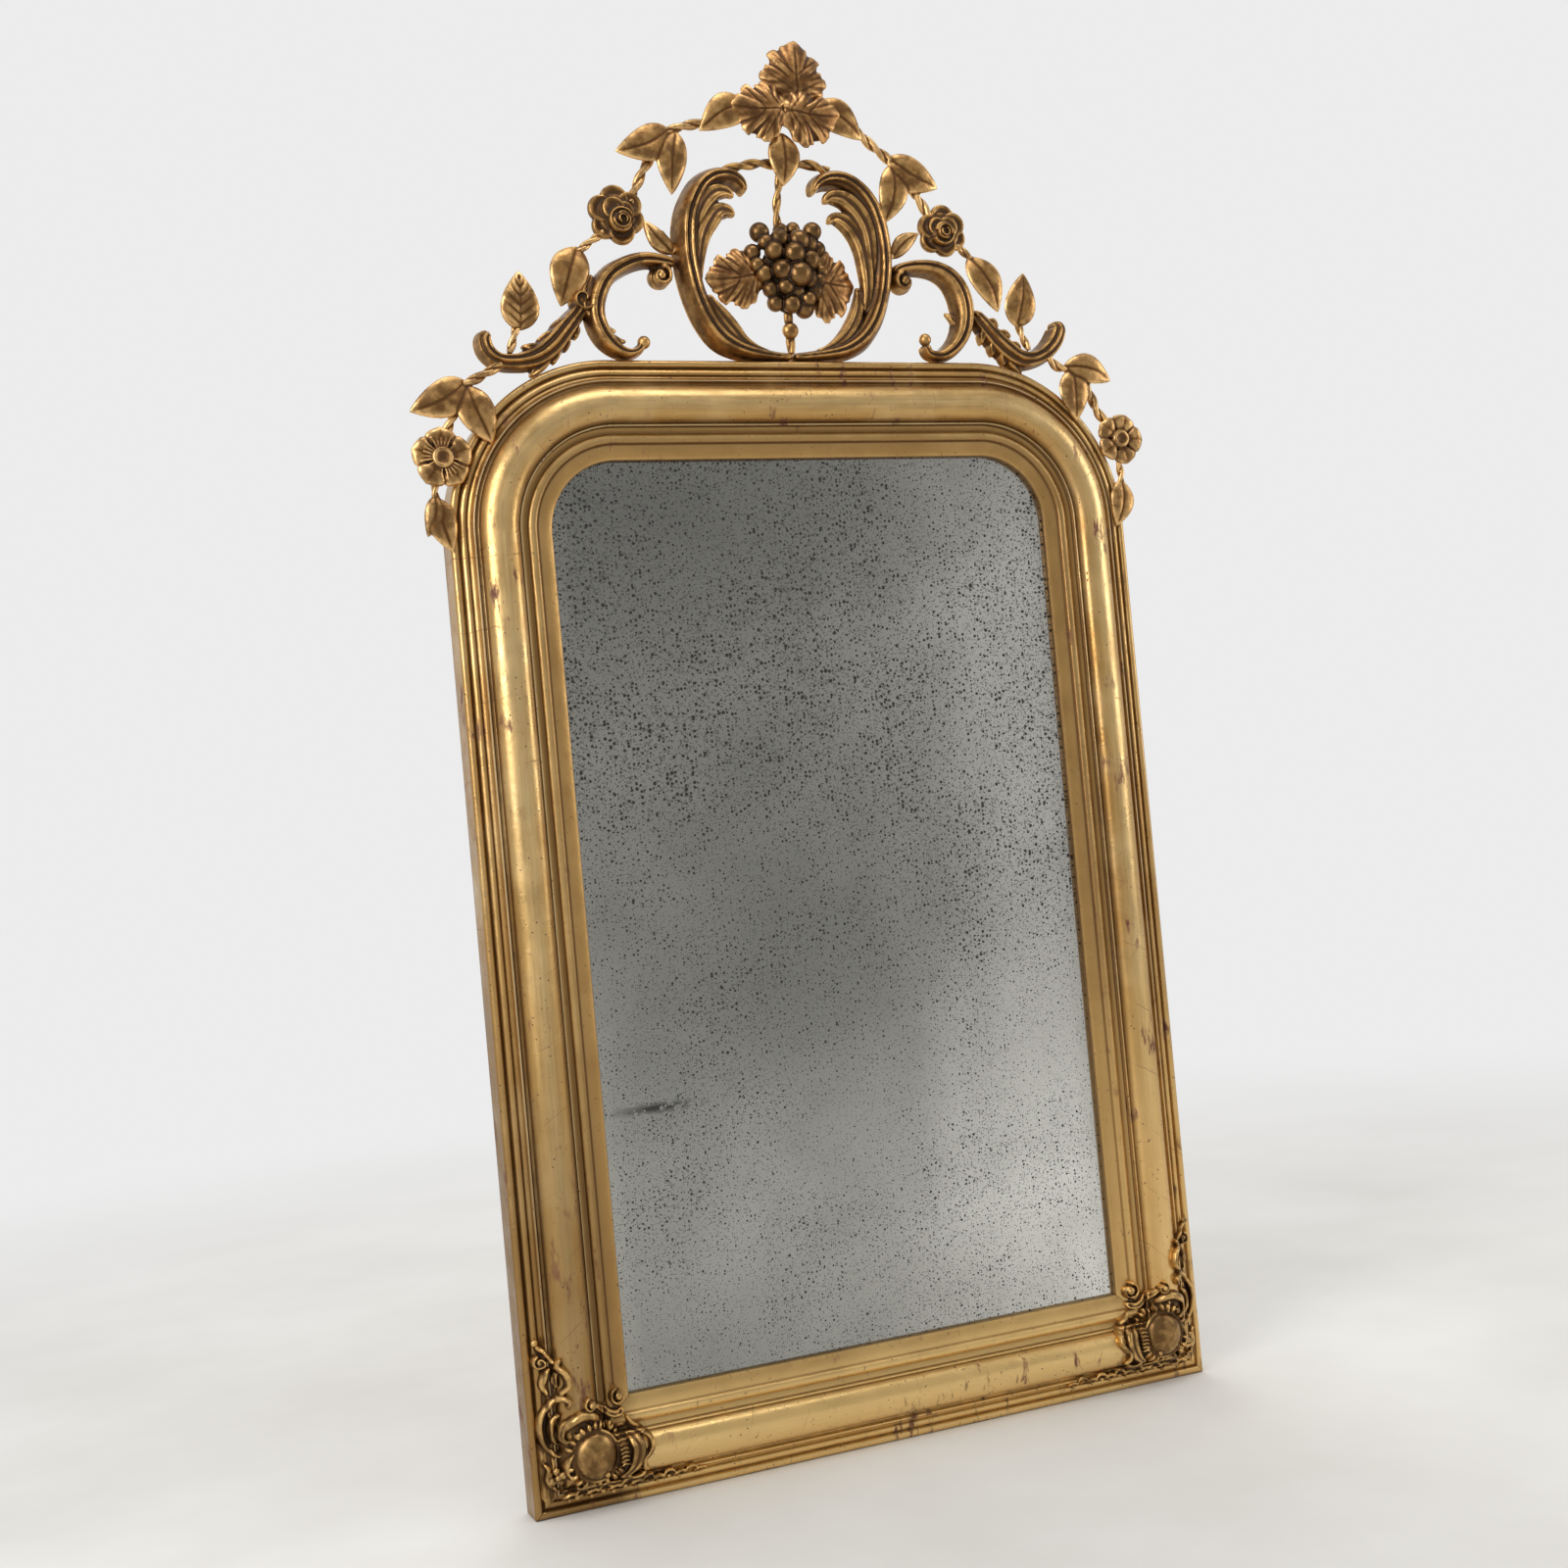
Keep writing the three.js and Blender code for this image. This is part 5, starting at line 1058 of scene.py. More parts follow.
# Places on half of a vine leaf's edge: how far along the leaf, and how far out, from stalk to tip.
VINE_EDGE = [(-0.06, 0.08), (-0.14, 0.26), (-0.10, 0.46), (0.0, 0.56), (0.05, 0.70), (0.10, 0.90),
    (0.20, 0.92),
             (0.27, 1.03), (0.38, 1.0), (0.42, 0.90), (0.50, 0.86), (0.51, 0.74), (0.60, 0.76), (0.66, 0.84),
             (0.74, 0.72), (0.78, 0.62), (0.79, 0.46), (0.86, 0.42), (0.90, 0.28), (0.95, 0.18), (1.0, 0.03)]
VEINS = [(0.40, 1.0), (0.70, 0.74), (0.14, 0.85), (-0.12, 0.42)]


def vine_leaf(base, tip, width, back=20.0, bend=0.0, rise=8.0, crinkle=1.6, curl_up=4.0, seed=0, thick=4.2):
    """A lobed vine leaf: an edge of five lobes, a vein to each lobe, puffed blades and a crinkled rim."""
    rng = np.random.default_rng(seed)
    base, tip = np.array(base, float), np.array(tip, float)
    along = tip - base
    side = np.array([-along[1], along[0]]) / np.hypot(*along)
    places = np.array(VINE_EDGE, float)
    fine = smooth_rows(np.column_stack([places * 100, places]), 3.2)[:, 2:]
    stretch = rng.uniform(0.9, 1.1, 2)
    edge = np.concatenate([fine * (1, stretch[0]), (fine * (1, -stretch[1]))[::-1]])
    heart = np.array([0.18, 0.0])
    r = np.concatenate([[0.02], np.linspace(0.07, 1.0, 22)])[:, None, None]
    flat = heart + (edge[None] - heart) * r
    t, u = flat[..., 0], flat[..., 1]
    xz = base + along * t[..., None] + side * (u * width / 2 + bend * np.sin(np.pi * np.clip(t, 0, 1)))[...,
        None]
    length = np.hypot(*along)
    spot = np.stack([t * length, u * width / 2], -1)
    groove = np.exp(-(np.abs(spot[..., 1]) / 1.3) ** 2) * 1.1
    for vein_t, vein_u in VEINS:
        for mirrored in (1, -1):
            start = np.array([max(0.0, vein_t - 0.36) * length, 0.0])
            end = np.array([vein_t * length, mirrored * vein_u * width / 2])
            run = end - start
            share = np.clip(((spot - start) @ run) / (run @ run), 0, 0.92)
            off = np.hypot(*np.moveaxis(spot - start - share[..., None] * run, -1, 0))
            groove = np.maximum(groove, 0.8 * np.exp(-(off / 1.2) ** 2))
    turn = np.linspace(0, 2 * np.pi, flat.shape[1], endpoint=False)[None]
    q = r[..., 0]
    ripple = crinkle * 0.6 * q ** 2 * (np.sin(turn * 5 + rng.uniform(0,
        6)) + 0.4 * np.sin(turn * 9 + rng.uniform(0, 6)))
    puff = rise * (1 - q ** 2.4) + curl_up * q ** 3 * np.sin(turn * 2 + rng.uniform(0, 6))
    rim = np.sqrt(np.maximum(0.0, 1 - q ** 8))
    front = back + puff + ripple - groove * 0.65 + thick / 2 * rim
    behind = back + puff * 0.8 + ripple - thick / 2 * rim
    rings = [np.stack([xz[i, :, 0], -front[i], xz[i, :, 1]], -1) for i in range(len(r))]
    rings += [np.stack([xz[i, :, 0], -behind[i], xz[i, :, 1]], -1) for i in range(len(r) - 2, -1, -1)]
    return loft(rings)


print("a vine leaf has", len(VINE_EDGE), "places on half its edge")

# %% Twisted vines from Geometry Nodes
# A vine follows a path, so nodes make it: two strands wind round the path's curve and each gets a round
# section.
vine_tree, given = new_tree("twisted vine", [
    ("Strand Radius", "NodeSocketFloat", 0.0033), ("Strand Offset", "NodeSocketFloat", 0.0022),
    ("Pitch", "NodeSocketFloat", 0.034), ("Material", "NodeSocketMaterial", None)])
tree = vine_tree
path = put(tree, "GeometryNodeResampleCurve", {"Curve": given["Geometry"], "Length": 0.0016}, mode="LENGTH")
gone = put(tree, "GeometryNodeSplineParameter", out="Length")
normal = put(tree, "GeometryNodeInputNormal")
tangent = put(tree, "GeometryNodeInputTangent")
binormal = put(tree, "ShaderNodeVectorMath", {0: tangent, 1: normal}, operation="CROSS_PRODUCT")
strands = put(tree, "GeometryNodeJoinGeometry", out=None)
ring = put(tree, "GeometryNodeCurvePrimitiveCircle", {
    "Resolution": 10, "Radius": given["Strand Radius"]}, out=None)
for half_turn in (0.0, math.pi):
    angle = put(tree, "ShaderNodeMath", [
        put(tree, "ShaderNodeMath", [
            put(tree, "ShaderNodeMath", [gone, given["Pitch"]], operation="DIVIDE"),
            2 * math.pi], operation="MULTIPLY"),
        half_turn], operation="ADD")
    sideways = put(tree, "ShaderNodeVectorMath", {
        0: normal,
        "Scale": put(tree, "ShaderNodeMath", [
            put(tree, "ShaderNodeMath", [angle], operation="COSINE"),
            given["Strand Offset"]], operation="MULTIPLY")}, operation="SCALE")
    forwards = put(tree, "ShaderNodeVectorMath", {
        0: binormal,
        "Scale": put(tree, "ShaderNodeMath", [
            put(tree, "ShaderNodeMath", [angle], operation="SINE"),
            given["Strand Offset"]], operation="MULTIPLY")}, operation="SCALE")
    shift = put(tree, "ShaderNodeVectorMath", {0: sideways, 1: forwards}, operation="ADD")
    strand = put(tree, "GeometryNodeSetPosition", {"Geometry": path, "Offset": shift})
    strand = put(tree, "GeometryNodeCurveToMesh", {
        "Curve": strand, "Profile Curve": ring.outputs[0], "Fill Caps": True})
    tree.links.new(strand, strands.inputs[0])
ended(tree, strands.outputs[0], given["Material"])


def shells_of(obj):
    """The points in millimetres and the faces of an object, which is then removed."""
    points = np.empty(len(obj.data.vertices) * 3, np.float32)
    obj.data.vertices.foreach_get("co", points)
    faces = [list(face.vertices) for face in obj.data.polygons]
    bpy.data.objects.remove(obj)
    return points.reshape(-1, 3) / MM, faces


def vine(route, thick=9.0, back=8.0, pitch=34.0):
    """A twisted vine along places of across and up, and if given how far forward of the others it comes."""
    rows = np.array([(p[0], p[1], p[2] if len(p) > 2 else 0.0) for p in route], float)
    line = smooth_rows(rows, 4.0)
    points = np.stack([line[:, 0], -(back + thick / 2 + line[:, 2]), line[:, 1]], 1)
    path = curve_object("vine path", points)
    path.data.twist_mode = "MINIMUM"
    return shells_of(grown("vine", path, vine_tree, strand_radius=thick * 0.31 * MM,
                           strand_offset=thick * 0.20 * MM, pitch=pitch * MM))


print("nodes in a vine:", len(vine_tree.nodes))

# %% Merging strokes into one carved piece
def drop_crumbs(mesh):
    """Keeps the largest connected part of a mesh."""
    count = len(mesh.vertices)
    edges = np.empty(len(mesh.edges) * 2, np.int32)
    mesh.edges.foreach_get("vertices", edges)
    a, b = edges[0::2], edges[1::2]
    label = np.arange(count)
    while True:
        low = np.minimum(label[a], label[b])
        new = label.copy()
        np.minimum.at(new, a, low)
        np.minimum.at(new, b, low)
        new = new[new]
        if (new == label).all():
            break
        label = new
    names, sizes = np.unique(label, return_counts=True)
    if len(names) == 1:
        return 1
    keep = label == names[sizes.argmax()]
    shape = bmesh.new()
    shape.from_mesh(mesh)
    shape.verts.ensure_lookup_table()
    bmesh.ops.delete(shape, geom=[shape.verts[i] for i in np.nonzero(~keep)[0]], context="VERTS")
    shape.to_mesh(mesh)
    shape.free()
    return len(names)


def store_hollows(mesh, rounds=22):
    """Stores how deep each point lies below the surface round it, in millimetres; edges are negative."""
    count = len(mesh.vertices)
    points = np.empty(count * 3, np.float32)
    mesh.vertices.foreach_get("co", points)
    points = points.reshape(-1, 3).astype(float)
    normals = np.empty(count * 3, np.float32)
    mesh.vertex_normals.foreach_get("vector", normals)
    edges = np.empty(len(mesh.edges) * 2, np.int32)
    mesh.edges.foreach_get("vertices", edges)
    a, b = edges[0::2], edges[1::2]
    ends, others = np.concatenate([a, b]), np.concatenate([b, a])
    neighbours = np.maximum(np.bincount(ends, minlength=count), 1)
    smooth = points.copy()
    for _ in range(rounds):
        smooth = np.stack([np.bincount(ends, smooth[others, k], count) / neighbours for k in range(3)], 1)
    hollow = ((smooth - points) * normals.reshape(-1, 3)).sum(1) / MM
    mesh.attributes.new("hollow", "FLOAT", "POINT").data.foreach_set("value", hollow.astype(np.float32))
    return hollow


def carved(name, shells, material, slot, nodes, voxel=0.9, smooth=3):
    """Merges shells into one gesso-coated piece and hands it over."""
    points, faces, start = [], [], 0
    for shell_points, shell_faces in shells:
        points.append(shell_points)
        faces += [[index + start for index in face] for face in shell_faces]
        start += len(shell_points)
    mesh = bpy.data.meshes.new("rough " + name)
    mesh.from_pydata(np.concatenate(points) * MM, [], faces)
    maker = bpy.data.objects.new("rough " + name, mesh)
    bpy.context.scene.collection.objects.link(maker)
    skin = maker.modifiers.new("gesso", "REMESH")
    skin.mode = "VOXEL"
    skin.voxel_size = voxel * MM
    soften = maker.modifiers.new("soften", "SMOOTH")
    soften.factor = 0.5
    soften.iterations = smooth
    piece = plain_mesh(name, maker)
    parts = drop_crumbs(piece.data)
    piece.data.materials.clear()
    piece.data.materials.append(material)
    piece.data.shade_smooth()
    hollow = store_hollows(piece.data)
    handed_over(piece, slot, *nodes)
    print(name, len(piece.data.polygons), "faces,", parts, "part(s), hollows to",
        round(float(hollow.max()), 2), "mm")
    return piece

# %% [markdown]
# ## The cartouche
# Two big acanthus C-scrolls stand foot to foot and frame the grapes. Each is one long roll with a deep
# groove along it, and at its top the leaf breaks into tongues that curl over. The two sides were carved
# by eye, so their measures differ; each side has its own table. Tables give up as the height above the
# floor.

# %% The two cartouche scrolls
CARTOUCHE = {
    "left": [
        (scroll_section, 0, [
            (-43, 1452, 4, 22), (-47, 1462, 7.5, 27), (-60, 1470, 10, 31), (-80, 1469, 12, 33),
            (-97, 1459, 13, 34), (-109, 1442, 14, 34.5), (-118, 1420, 15, 34.5), (-122, 1390, 15.5, 34.5),
            (-121, 1360, 15, 34), (-115, 1330, 15, 33), (-103, 1301, 15.5, 32), (-88, 1282, 15.5, 30),
            (-68, 1270.5, 12.5, 28), (-42, 1264, 9, 25), (-16, 1261.5, 6.5, 21), (-0.4, 1261, 6, 20)]),
        (tongue_section, 12, [
            (-58, 1446, 2.4, 8), (-68, 1451, 7.3, 14), (-82, 1450, 10.4, 18), (-96, 1440, 11.6, 19),
            (-106, 1424, 9.8, 18), (-110, 1406, 6.1, 14)]),
        (tongue_section, 10, [
            (-58.5, 1424, 2.4, 9), (-67, 1429, 7.9, 14), (-80, 1428, 11, 18), (-92, 1416, 12.2, 19),
            (-102, 1398, 10.4, 18), (-107, 1376, 7.3, 15), (-110, 1352, 4.9, 12), (-110, 1334, 3, 9)]),
        (tongue_section, 8, [
            (-99, 1333, 2.4, 9), (-94, 1320, 7.3, 14), (-86, 1307, 10.4, 17), (-74, 1292, 10.4, 17),
            (-62, 1279, 7.9, 15), (-46, 1270, 5.5, 12), (-28, 1265, 3.7, 9)]),
    ],
    "right": [
        (scroll_section, 0, [
            (43, 1455, 4, 22), (48, 1465, 8, 27), (62, 1472, 11, 31), (82, 1471, 13, 33), (100, 1460, 14, 34),
            (114, 1441, 15, 34.5), (122, 1416, 15.5, 34.5), (125, 1386, 14.5, 34), (123, 1358, 14, 33.5),
            (116, 1328, 14, 32.5), (104, 1301, 14.5, 31), (88, 1282, 14, 29), (66, 1269.5, 11.5, 27),
            (42, 1264.5, 8.5, 24), (16, 1262, 6.5, 20.5), (0.4, 1261, 6, 20)]),
        (tongue_section, 13, [
            (54, 1443, 2.4, 8), (62, 1449, 7.9, 13), (76, 1448, 11, 17), (91, 1437, 12.8, 19),
            (103, 1417, 12.2, 19), (108, 1392, 9.8, 17), (108, 1366, 6.7, 13), (105, 1346, 3.7, 9)]),
        (tongue_section, 11, [
            (58, 1420, 2.4, 9), (66, 1425, 7.3, 14), (78, 1421, 10.4, 17), (90, 1408, 11.6, 18.5),
            (98, 1388, 11, 18), (101, 1362, 9.8, 17), (101, 1336, 7.3, 14), (97, 1314, 4.3, 10)]),
        (tongue_section, 8, [
            (90, 1345, 2.2, 8), (90, 1333, 5.5, 12), (86, 1315, 8.5, 15), (77, 1298, 9.2, 16),
            (64, 1283, 7.9, 15), (48, 1272, 5.5, 12), (30, 1266, 3.7, 9)]),
    ],
}
for side, flip in (("left", 1), ("right", -1)):
    shells = [stroke(rows, section, back, flip) for section, back, rows in CARTOUCHE[side]]
    carved("carved_cartouche_scroll_" + side, shells, dark_carving, "carved_gilding",
           ["cartouche_scroll_" + side], 0.95)

# %% [markdown]
# ## C-scrolls and S-scrolls
# They step down from the cartouche to the shoulders. Each ends in a volute, a spiral that winds in to an
# eye, and small leaves break out along their edges where the two scrolls meet.

# %% The C-scrolls
C_SCROLLS = {
    "left": [
        (twin_section, 3, [
            (-138, 1366, 6, 22), (-150, 1368.5, 8, 24), (-176, 1370, 9.5, 26), (-200, 1363, 10.5, 26.5),
            (-220, 1350, 11.5, 27), (-233, 1330, 12.5, 27), (-238, 1306, 13, 27), (-231, 1283, 12.5, 26),
            (-218, 1268.5, 9.5, 24), (-203, 1262.5, 7, 22), (-191, 1266, 5.5, 21), (-185, 1273, 6.5, 21)]),
        (tongue_section, 10, [
            (-238, 1352, 3, 9), (-246, 1336, 6, 14), (-248, 1316, 6.5, 16), (-240, 1296, 5.5, 15),
            (-226, 1280, 3, 10)]),
        (tongue_section, 9, [
            (-214, 1288, 1.6, 7), (-224, 1290, 4, 12), (-234, 1300, 5, 14),
            (-240, 1314, 4, 12)]),
        (tongue_section, 9, [
            (-203, 1277, 1.6, 6), (-212, 1277, 3.6, 11), (-223, 1283, 4.5, 13),
            (-232, 1294, 4, 12)]),
    ],
    "right": [
        (twin_section, 3, [
            (137, 1362, 6, 22), (148, 1367, 8, 24), (172, 1370, 10, 26), (196, 1367, 12, 26.5),
            (213, 1357, 14, 27), (224, 1340, 15.5, 27), (228, 1315, 15, 27), (222, 1290, 13, 26),
            (208, 1272, 10.5, 24), (191, 1263.5, 8, 22), (177, 1266, 6, 21), (172, 1277, 6.5, 21)]),
        (tongue_section, 12, [
            (206, 1356, 2, 8), (217, 1345, 4, 13), (222, 1325, 4.5, 14), (219, 1302, 4, 12),
            (212, 1288, 2, 8)]),
        (tongue_section, 9, [
            (204, 1316, 1.6, 6), (212, 1308, 4, 11), (218, 1295, 4.5, 12),
            (216, 1280, 4, 11)]),
    ],
}
C_EYES = {"left": ((-157, 1351), (-184, 1275), -350), "right": ((150, 1351), (172, 1282), 530)}
for side, (eye, knob, end_degrees) in C_EYES.items():
    shells = [stroke(rows, section, back) for section, back, rows in C_SCROLLS[side]]
    shells.append(curl(eye, 12.5, 3, 90, end_degrees, (5.2, 3.2), (23, 21), back=4))
    shells.append(ball(eye, 5.0, 22, 1.0))
    shells.append(turned(eye, [(12.5, 4), (13, 10), (12, 15), (8, 18), (0.2, 18)]))
    shells.append(ball(knob, 7.6, 17, 1.0))
    carved("carved_c_scroll_" + side, shells, dark_carving, "carved_gilding", ["c_scroll_" + side], 0.9)

# %% The S-scrolls with their leafy backs
S_SCROLLS = {
    "left": [
        (reeded_section, 3, [
            (-250, 1318, 8, 22), (-262, 1304, 11, 25), (-277, 1287, 13.5, 27), (-294, 1269, 14.5, 27.5),
            (-313, 1257, 13, 27), (-336, 1252, 10.5, 26.5), (-355, 1254, 10, 26.5), (-366, 1264, 10.5, 26.5),
            (-368, 1277, 10, 25), (-361, 1285, 6.5, 22)]),
        (tongue_section, 4, [
            (-292, 1266, 6, 20), (-302, 1253, 7.5, 20), (-311, 1244, 6, 18),
            (-318, 1237, 2, 12)]),
    ],
    "right": [
        (reeded_section, 3, [
            (240, 1318, 8, 22), (252, 1303, 11, 25), (267, 1285, 13.5, 27), (283, 1270, 14.5, 27.5),
            (301, 1260, 13, 27), (321, 1261, 11, 26.5), (338, 1270, 12, 27), (351, 1284, 12.5, 27),
            (357, 1299, 11, 25), (353, 1307, 7, 22)]),
        (tongue_section, 4, [
            (280, 1266, 6, 20), (289, 1255, 7.5, 20), (297, 1246, 6, 18),
            (302, 1240, 2, 12)]),
    ],
}
S_LEAVES = {
    "left": [
        [(-266, 1296, 3, 14), (-262, 1288, 5, 18), (-263, 1278, 1.6, 10)],
        [(-276, 1286, 3, 14), (-274, 1275, 5, 18), (-276, 1264, 1.6, 10)],
        [(-287, 1274, 3, 14), (-287, 1262, 5, 18), (-291, 1250, 1.6, 10)],
        [(-272, 1298, 3, 14), (-281, 1296, 5, 18), (-291, 1292, 1.6, 10)],
        [(-287, 1285, 3, 14), (-297, 1281, 5, 18), (-308, 1276, 1.6, 10)],
        [(-304, 1270, 3, 14), (-315, 1269, 4.5, 17), (-326, 1270, 1.6, 10)],
    ],
    "right": [
        [(254, 1298, 3, 14), (250, 1288, 5, 18), (250, 1277, 1.6, 10)],
        [(264, 1286, 3, 14), (262, 1274, 5, 18), (264, 1263, 1.6, 10)],
        [(275, 1275, 3, 14), (275, 1263, 5, 18), (279, 1251, 1.6, 10)],
        [(258, 1306, 3, 14), (266, 1305, 5, 18), (276, 1299, 1.6, 10)],
        [(270, 1293, 3, 14), (281, 1291, 5, 18), (292, 1287, 1.6, 10)],
        [(286, 1279, 3, 14), (296, 1277, 4.5, 17), (305, 1273, 1.6, 10)],
    ],
}
BOSS = (-253, 1322)
for side, sign in (("left", -1), ("right", 1)):
    shells = [stroke(rows, section, back, sign) for section, back, rows in S_SCROLLS[side]]
    shells += [stroke(rows, tongue_section, 7) for rows in S_LEAVES[side]]
    if side == "left":
        shells.append(turned(BOSS, [(13, 4), (15, 12), (12, 20), (6, 23), (0.2, 24)]))
        shells.append(curl(BOSS, 15, 3, 40, -400, (3.6, 2.4), (27, 26), back=3, steps=14))
    carved("carved_s_scroll_" + side, shells, dark_carving, "carved_gilding", ["s_scroll_" + side], 0.9)

# %% [markdown]
# ## The link, the grapes and the peg
# A bunch of grapes hangs in the cartouche on a twisted stem. Grapes repeat, so nodes set a ball on each
# point of a small cloud, and each point carries its own size.

# %% The bunch of grapes
grape_tree, given = new_tree("grapes on points", [
    ("Fineness", "NodeSocketInt", 3), ("Squash", "NodeSocketFloat", 0.95),
    ("Material", "NodeSocketMaterial", None)])
tree = grape_tree
berry = put(tree, "GeometryNodeMeshIcoSphere", {"Radius": 1.0, "Subdivisions": given["Fineness"]})
width = put(tree, "GeometryNodeInputNamedAttribute", {"Name": "berry_radius"}, data_type="FLOAT")
size_of_berry = put(tree, "ShaderNodeCombineXYZ", {
    0: width,
    1: put(tree, "ShaderNodeMath", [width, given["Squash"]], operation="MULTIPLY"),
    2: width})
bunch = put(tree, "GeometryNodeInstanceOnPoints", {
    "Points": given["Geometry"], "Instance": berry, "Scale": size_of_berry})
ended(tree, bunch, given["Material"])

GRAPES = [
    (-31, 1405, 11, 18), (-9, 1397, 10, 24), (14, 1394, 12, 27), (36, 1408, 10.5, 18), (-41, 1382, 9.5, 15),
    (-19, 1381, 10.5, 28), (4, 1377, 12, 33), (26, 1372, 11.5, 25), (42, 1388, 9.5, 15),
    (-30, 1356, 10.5, 20), (-12, 1358, 11, 31), (8, 1353, 14, 32.5), (44, 1361, 9, 15), (32, 1337, 10, 18),
    (23, 1350, 10.5, 24), (-18, 1323, 9.5, 17), (17, 1316, 10.5, 19), (8, 1335, 9, 22), (0, 1321, 10.5, 22),
    (-8, 1340, 9.5, 27), (28, 1391, 9, 24), (-27, 1392, 8.5, 24), (-38, 1366, 8.5, 20), (20, 1326, 8.5, 26),
    (-24, 1338, 9, 20), (38, 1349, 8.5, 20), (-3, 1409, 8.5, 15), (13, 1411, 8, 15)]


def points_object(name, places, **numbers):
    """A mesh of loose points in millimetres, each with its own numbers."""
    mesh = bpy.data.meshes.new(name)
    mesh.from_pydata(np.asarray(places, float) * MM, [], [])
    for key, values in numbers.items():
        mesh.attributes.new(key, "FLOAT", "POINT").data.foreach_set("value", np.asarray(values, np.float32))
    obj = bpy.data.objects.new(name, mesh)
    bpy.context.scene.collection.objects.link(obj)
    return obj


cloud = points_object("grape places", [(x, -forward, z) for x, z, _, forward in GRAPES],
                      berry_radius=[radius * 1.1 * MM for _, _, radius, _ in GRAPES])
berries = shells_of(grown("grapes", cloud, grape_tree, fineness=3))
core = [ball((4, 1361), 36, 14, 0.30, 32), ball((0, 1331), 20, 14, 0.4, 24)]
carved("carved_grape_bunch", [berries, *core], grape_carving, "carved_gilding", ["grape_bunch"], 0.9, 1)
carved("carved_grape_stem", [vine([(4, 1484), (1, 1462), (-4, 1440), (-5, 1420), (-4, 1408)], 10.5, 8, 52)],
       dark_carving, "carved_gilding", ["grape_stem"], 0.8)
carved("carved_cartouche_link", [vine([(-70, 1477), (-42, 1485), (-18, 1489), (4, 1488), (24, 1489),
    (44, 1490),
                                       (68, 1482)], 12.5, 5, 50)], dark_carving, "carved_gilding",
       ["cartouche_link"], 0.8)
carved("carved_cartouche_peg", [ball((-2, 1291), 10, 16, 0.8), vine([(-2, 1312), (-2, 1295), (-2, 1264)],
    11, 8, 60)],
       dark_carving, "carved_gilding", ["cartouche_peg"], 0.8)

# %% The vine leaves beside the grapes
for side, base, tip, width, bend, seed in (
        ("left", (-38, 1356), (-103, 1350), 76, 3, 3), ("right", (32, 1350), (88, 1346), 82, -3, 8)):
    carved("carved_grape_leaf_" + side, [vine_leaf(base, tip, width, 13, bend, 7, 1.8, 2.5, seed)],
           vine_carving, "leaf_gilding", ["grape_leaf_" + side], 0.8, 2)

# %% [markdown]
# ## The vine with its roses and leaves
# From the crown a twisted vine runs down each side to a rose, and on over leaves to the shoulders. A rose
# is a handful of swollen petals round a furled heart; a leaf is a thin swollen shell with a sunk midrib.

# %% Roses
def rose(centre, petals, heart, heart_radius, turn):
    """A full rose: cupped petals as (across, up, radius, forward), and a heart of furled rings."""
    shells = [turned(centre, [(20, 6), (24, 12), (22, 18), (12, 20), (0.2, 20)], 36)]
    for x, z, radius, forward in petals:
        rim = forward + radius * 0.36
        shells.append(turned((x, z), [
            (radius * 0.5, forward - 9), (radius * 0.9, forward - 5), (radius, forward),
            (radius * 0.95, rim - 1.2),
            (radius * 0.84, rim), (radius * 0.7, rim - 0.9), (radius * 0.4, rim - 2.6), (0.2, rim - 3.2)],
            30))
    for ring, (reach, width, depth) in enumerate(((1.0, 3.4, 28), (0.68, 3.0, 31), (0.36, 2.6, 33))):
        start = turn + ring * 140
        shells.append(curl(heart, heart_radius * reach, heart_radius * reach * 0.80, start, start + 330,
                           (width, width * 0.7), (depth - 8, depth - 7), back=8, steps=12))
    shells.append(turned(heart, [(heart_radius * 1.05, 10), (heart_radius, 21), (heart_radius * 0.7, 26),
                                 (0.2, 28)], 28))
    return shells


ROSES = {
    "left": ((-203, 1421), [(-204, 1438, 17, 13), (-220, 1427, 16, 14), (-217, 1408, 15.5, 13),
                            (-198, 1402, 16, 14), (-185, 1415, 15.5, 13), (-187, 1432, 15.5, 14),
                            (-207, 1426, 14, 19), (-194, 1423, 12, 19)], (-200, 1412), 14.5, 20),
    "right": ((209, 1415), [(211, 1432, 16, 13), (224, 1423, 15.5, 14), (225, 1407, 15, 13),
    (212, 1399, 15, 14),
                            (195, 1404, 15, 13), (193, 1420, 15.5, 14), (215, 1419, 13, 19),
                            (201, 1419, 12, 19)],
              (207, 1411), 14, 200),
}
for side, (centre, petals, heart, heart_radius, turn) in ROSES.items():
    carved("carved_rose_" + side, rose(centre, petals, heart, heart_radius, turn), dark_carving,
           "carved_gilding", ["rose_" + side], 0.85)

# %% Upper sprigs: vine and leaves from the crown to the roses
UPPER_SPRIGS = {
    "left": ([(8, 1548), (-45, 1543), (-90, 1532), (-118, 1525), (-140, 1513), (-152, 1493), (-167, 1470),
              (-179, 1447), (-186, 1436)],
             [dict(base=(-131, 1522), tip=(-197, 1493), width=43, bend=7, bow=5, fold=1.5),
              dict(base=(-122, 1519), tip=(-134, 1446), width=39, bend=-5, bow=5, fold=-1.5)]),
    "right": ([(14, 1548), (58, 1545), (104, 1535), (128, 1515), (146, 1501), (162, 1483), (178, 1461),
    (188, 1445),
               (194, 1434)],
              [dict(base=(145, 1501), tip=(208, 1467), width=43, bend=-6, bow=5, fold=1.5),
               dict(base=(150, 1493), tip=(131, 1421), width=38, bend=5, bow=5, fold=1.0)]),
}
for side, (route, leaves) in UPPER_SPRIGS.items():
    shells = [vine(route, 12.5, 7, 50)] + [leaf(back=15, **values) for values in leaves]
    carved("carved_upper_sprig_" + side, shells, leaf_carving, "leaf_gilding", ["upper_sprig_" + side], 0.85)

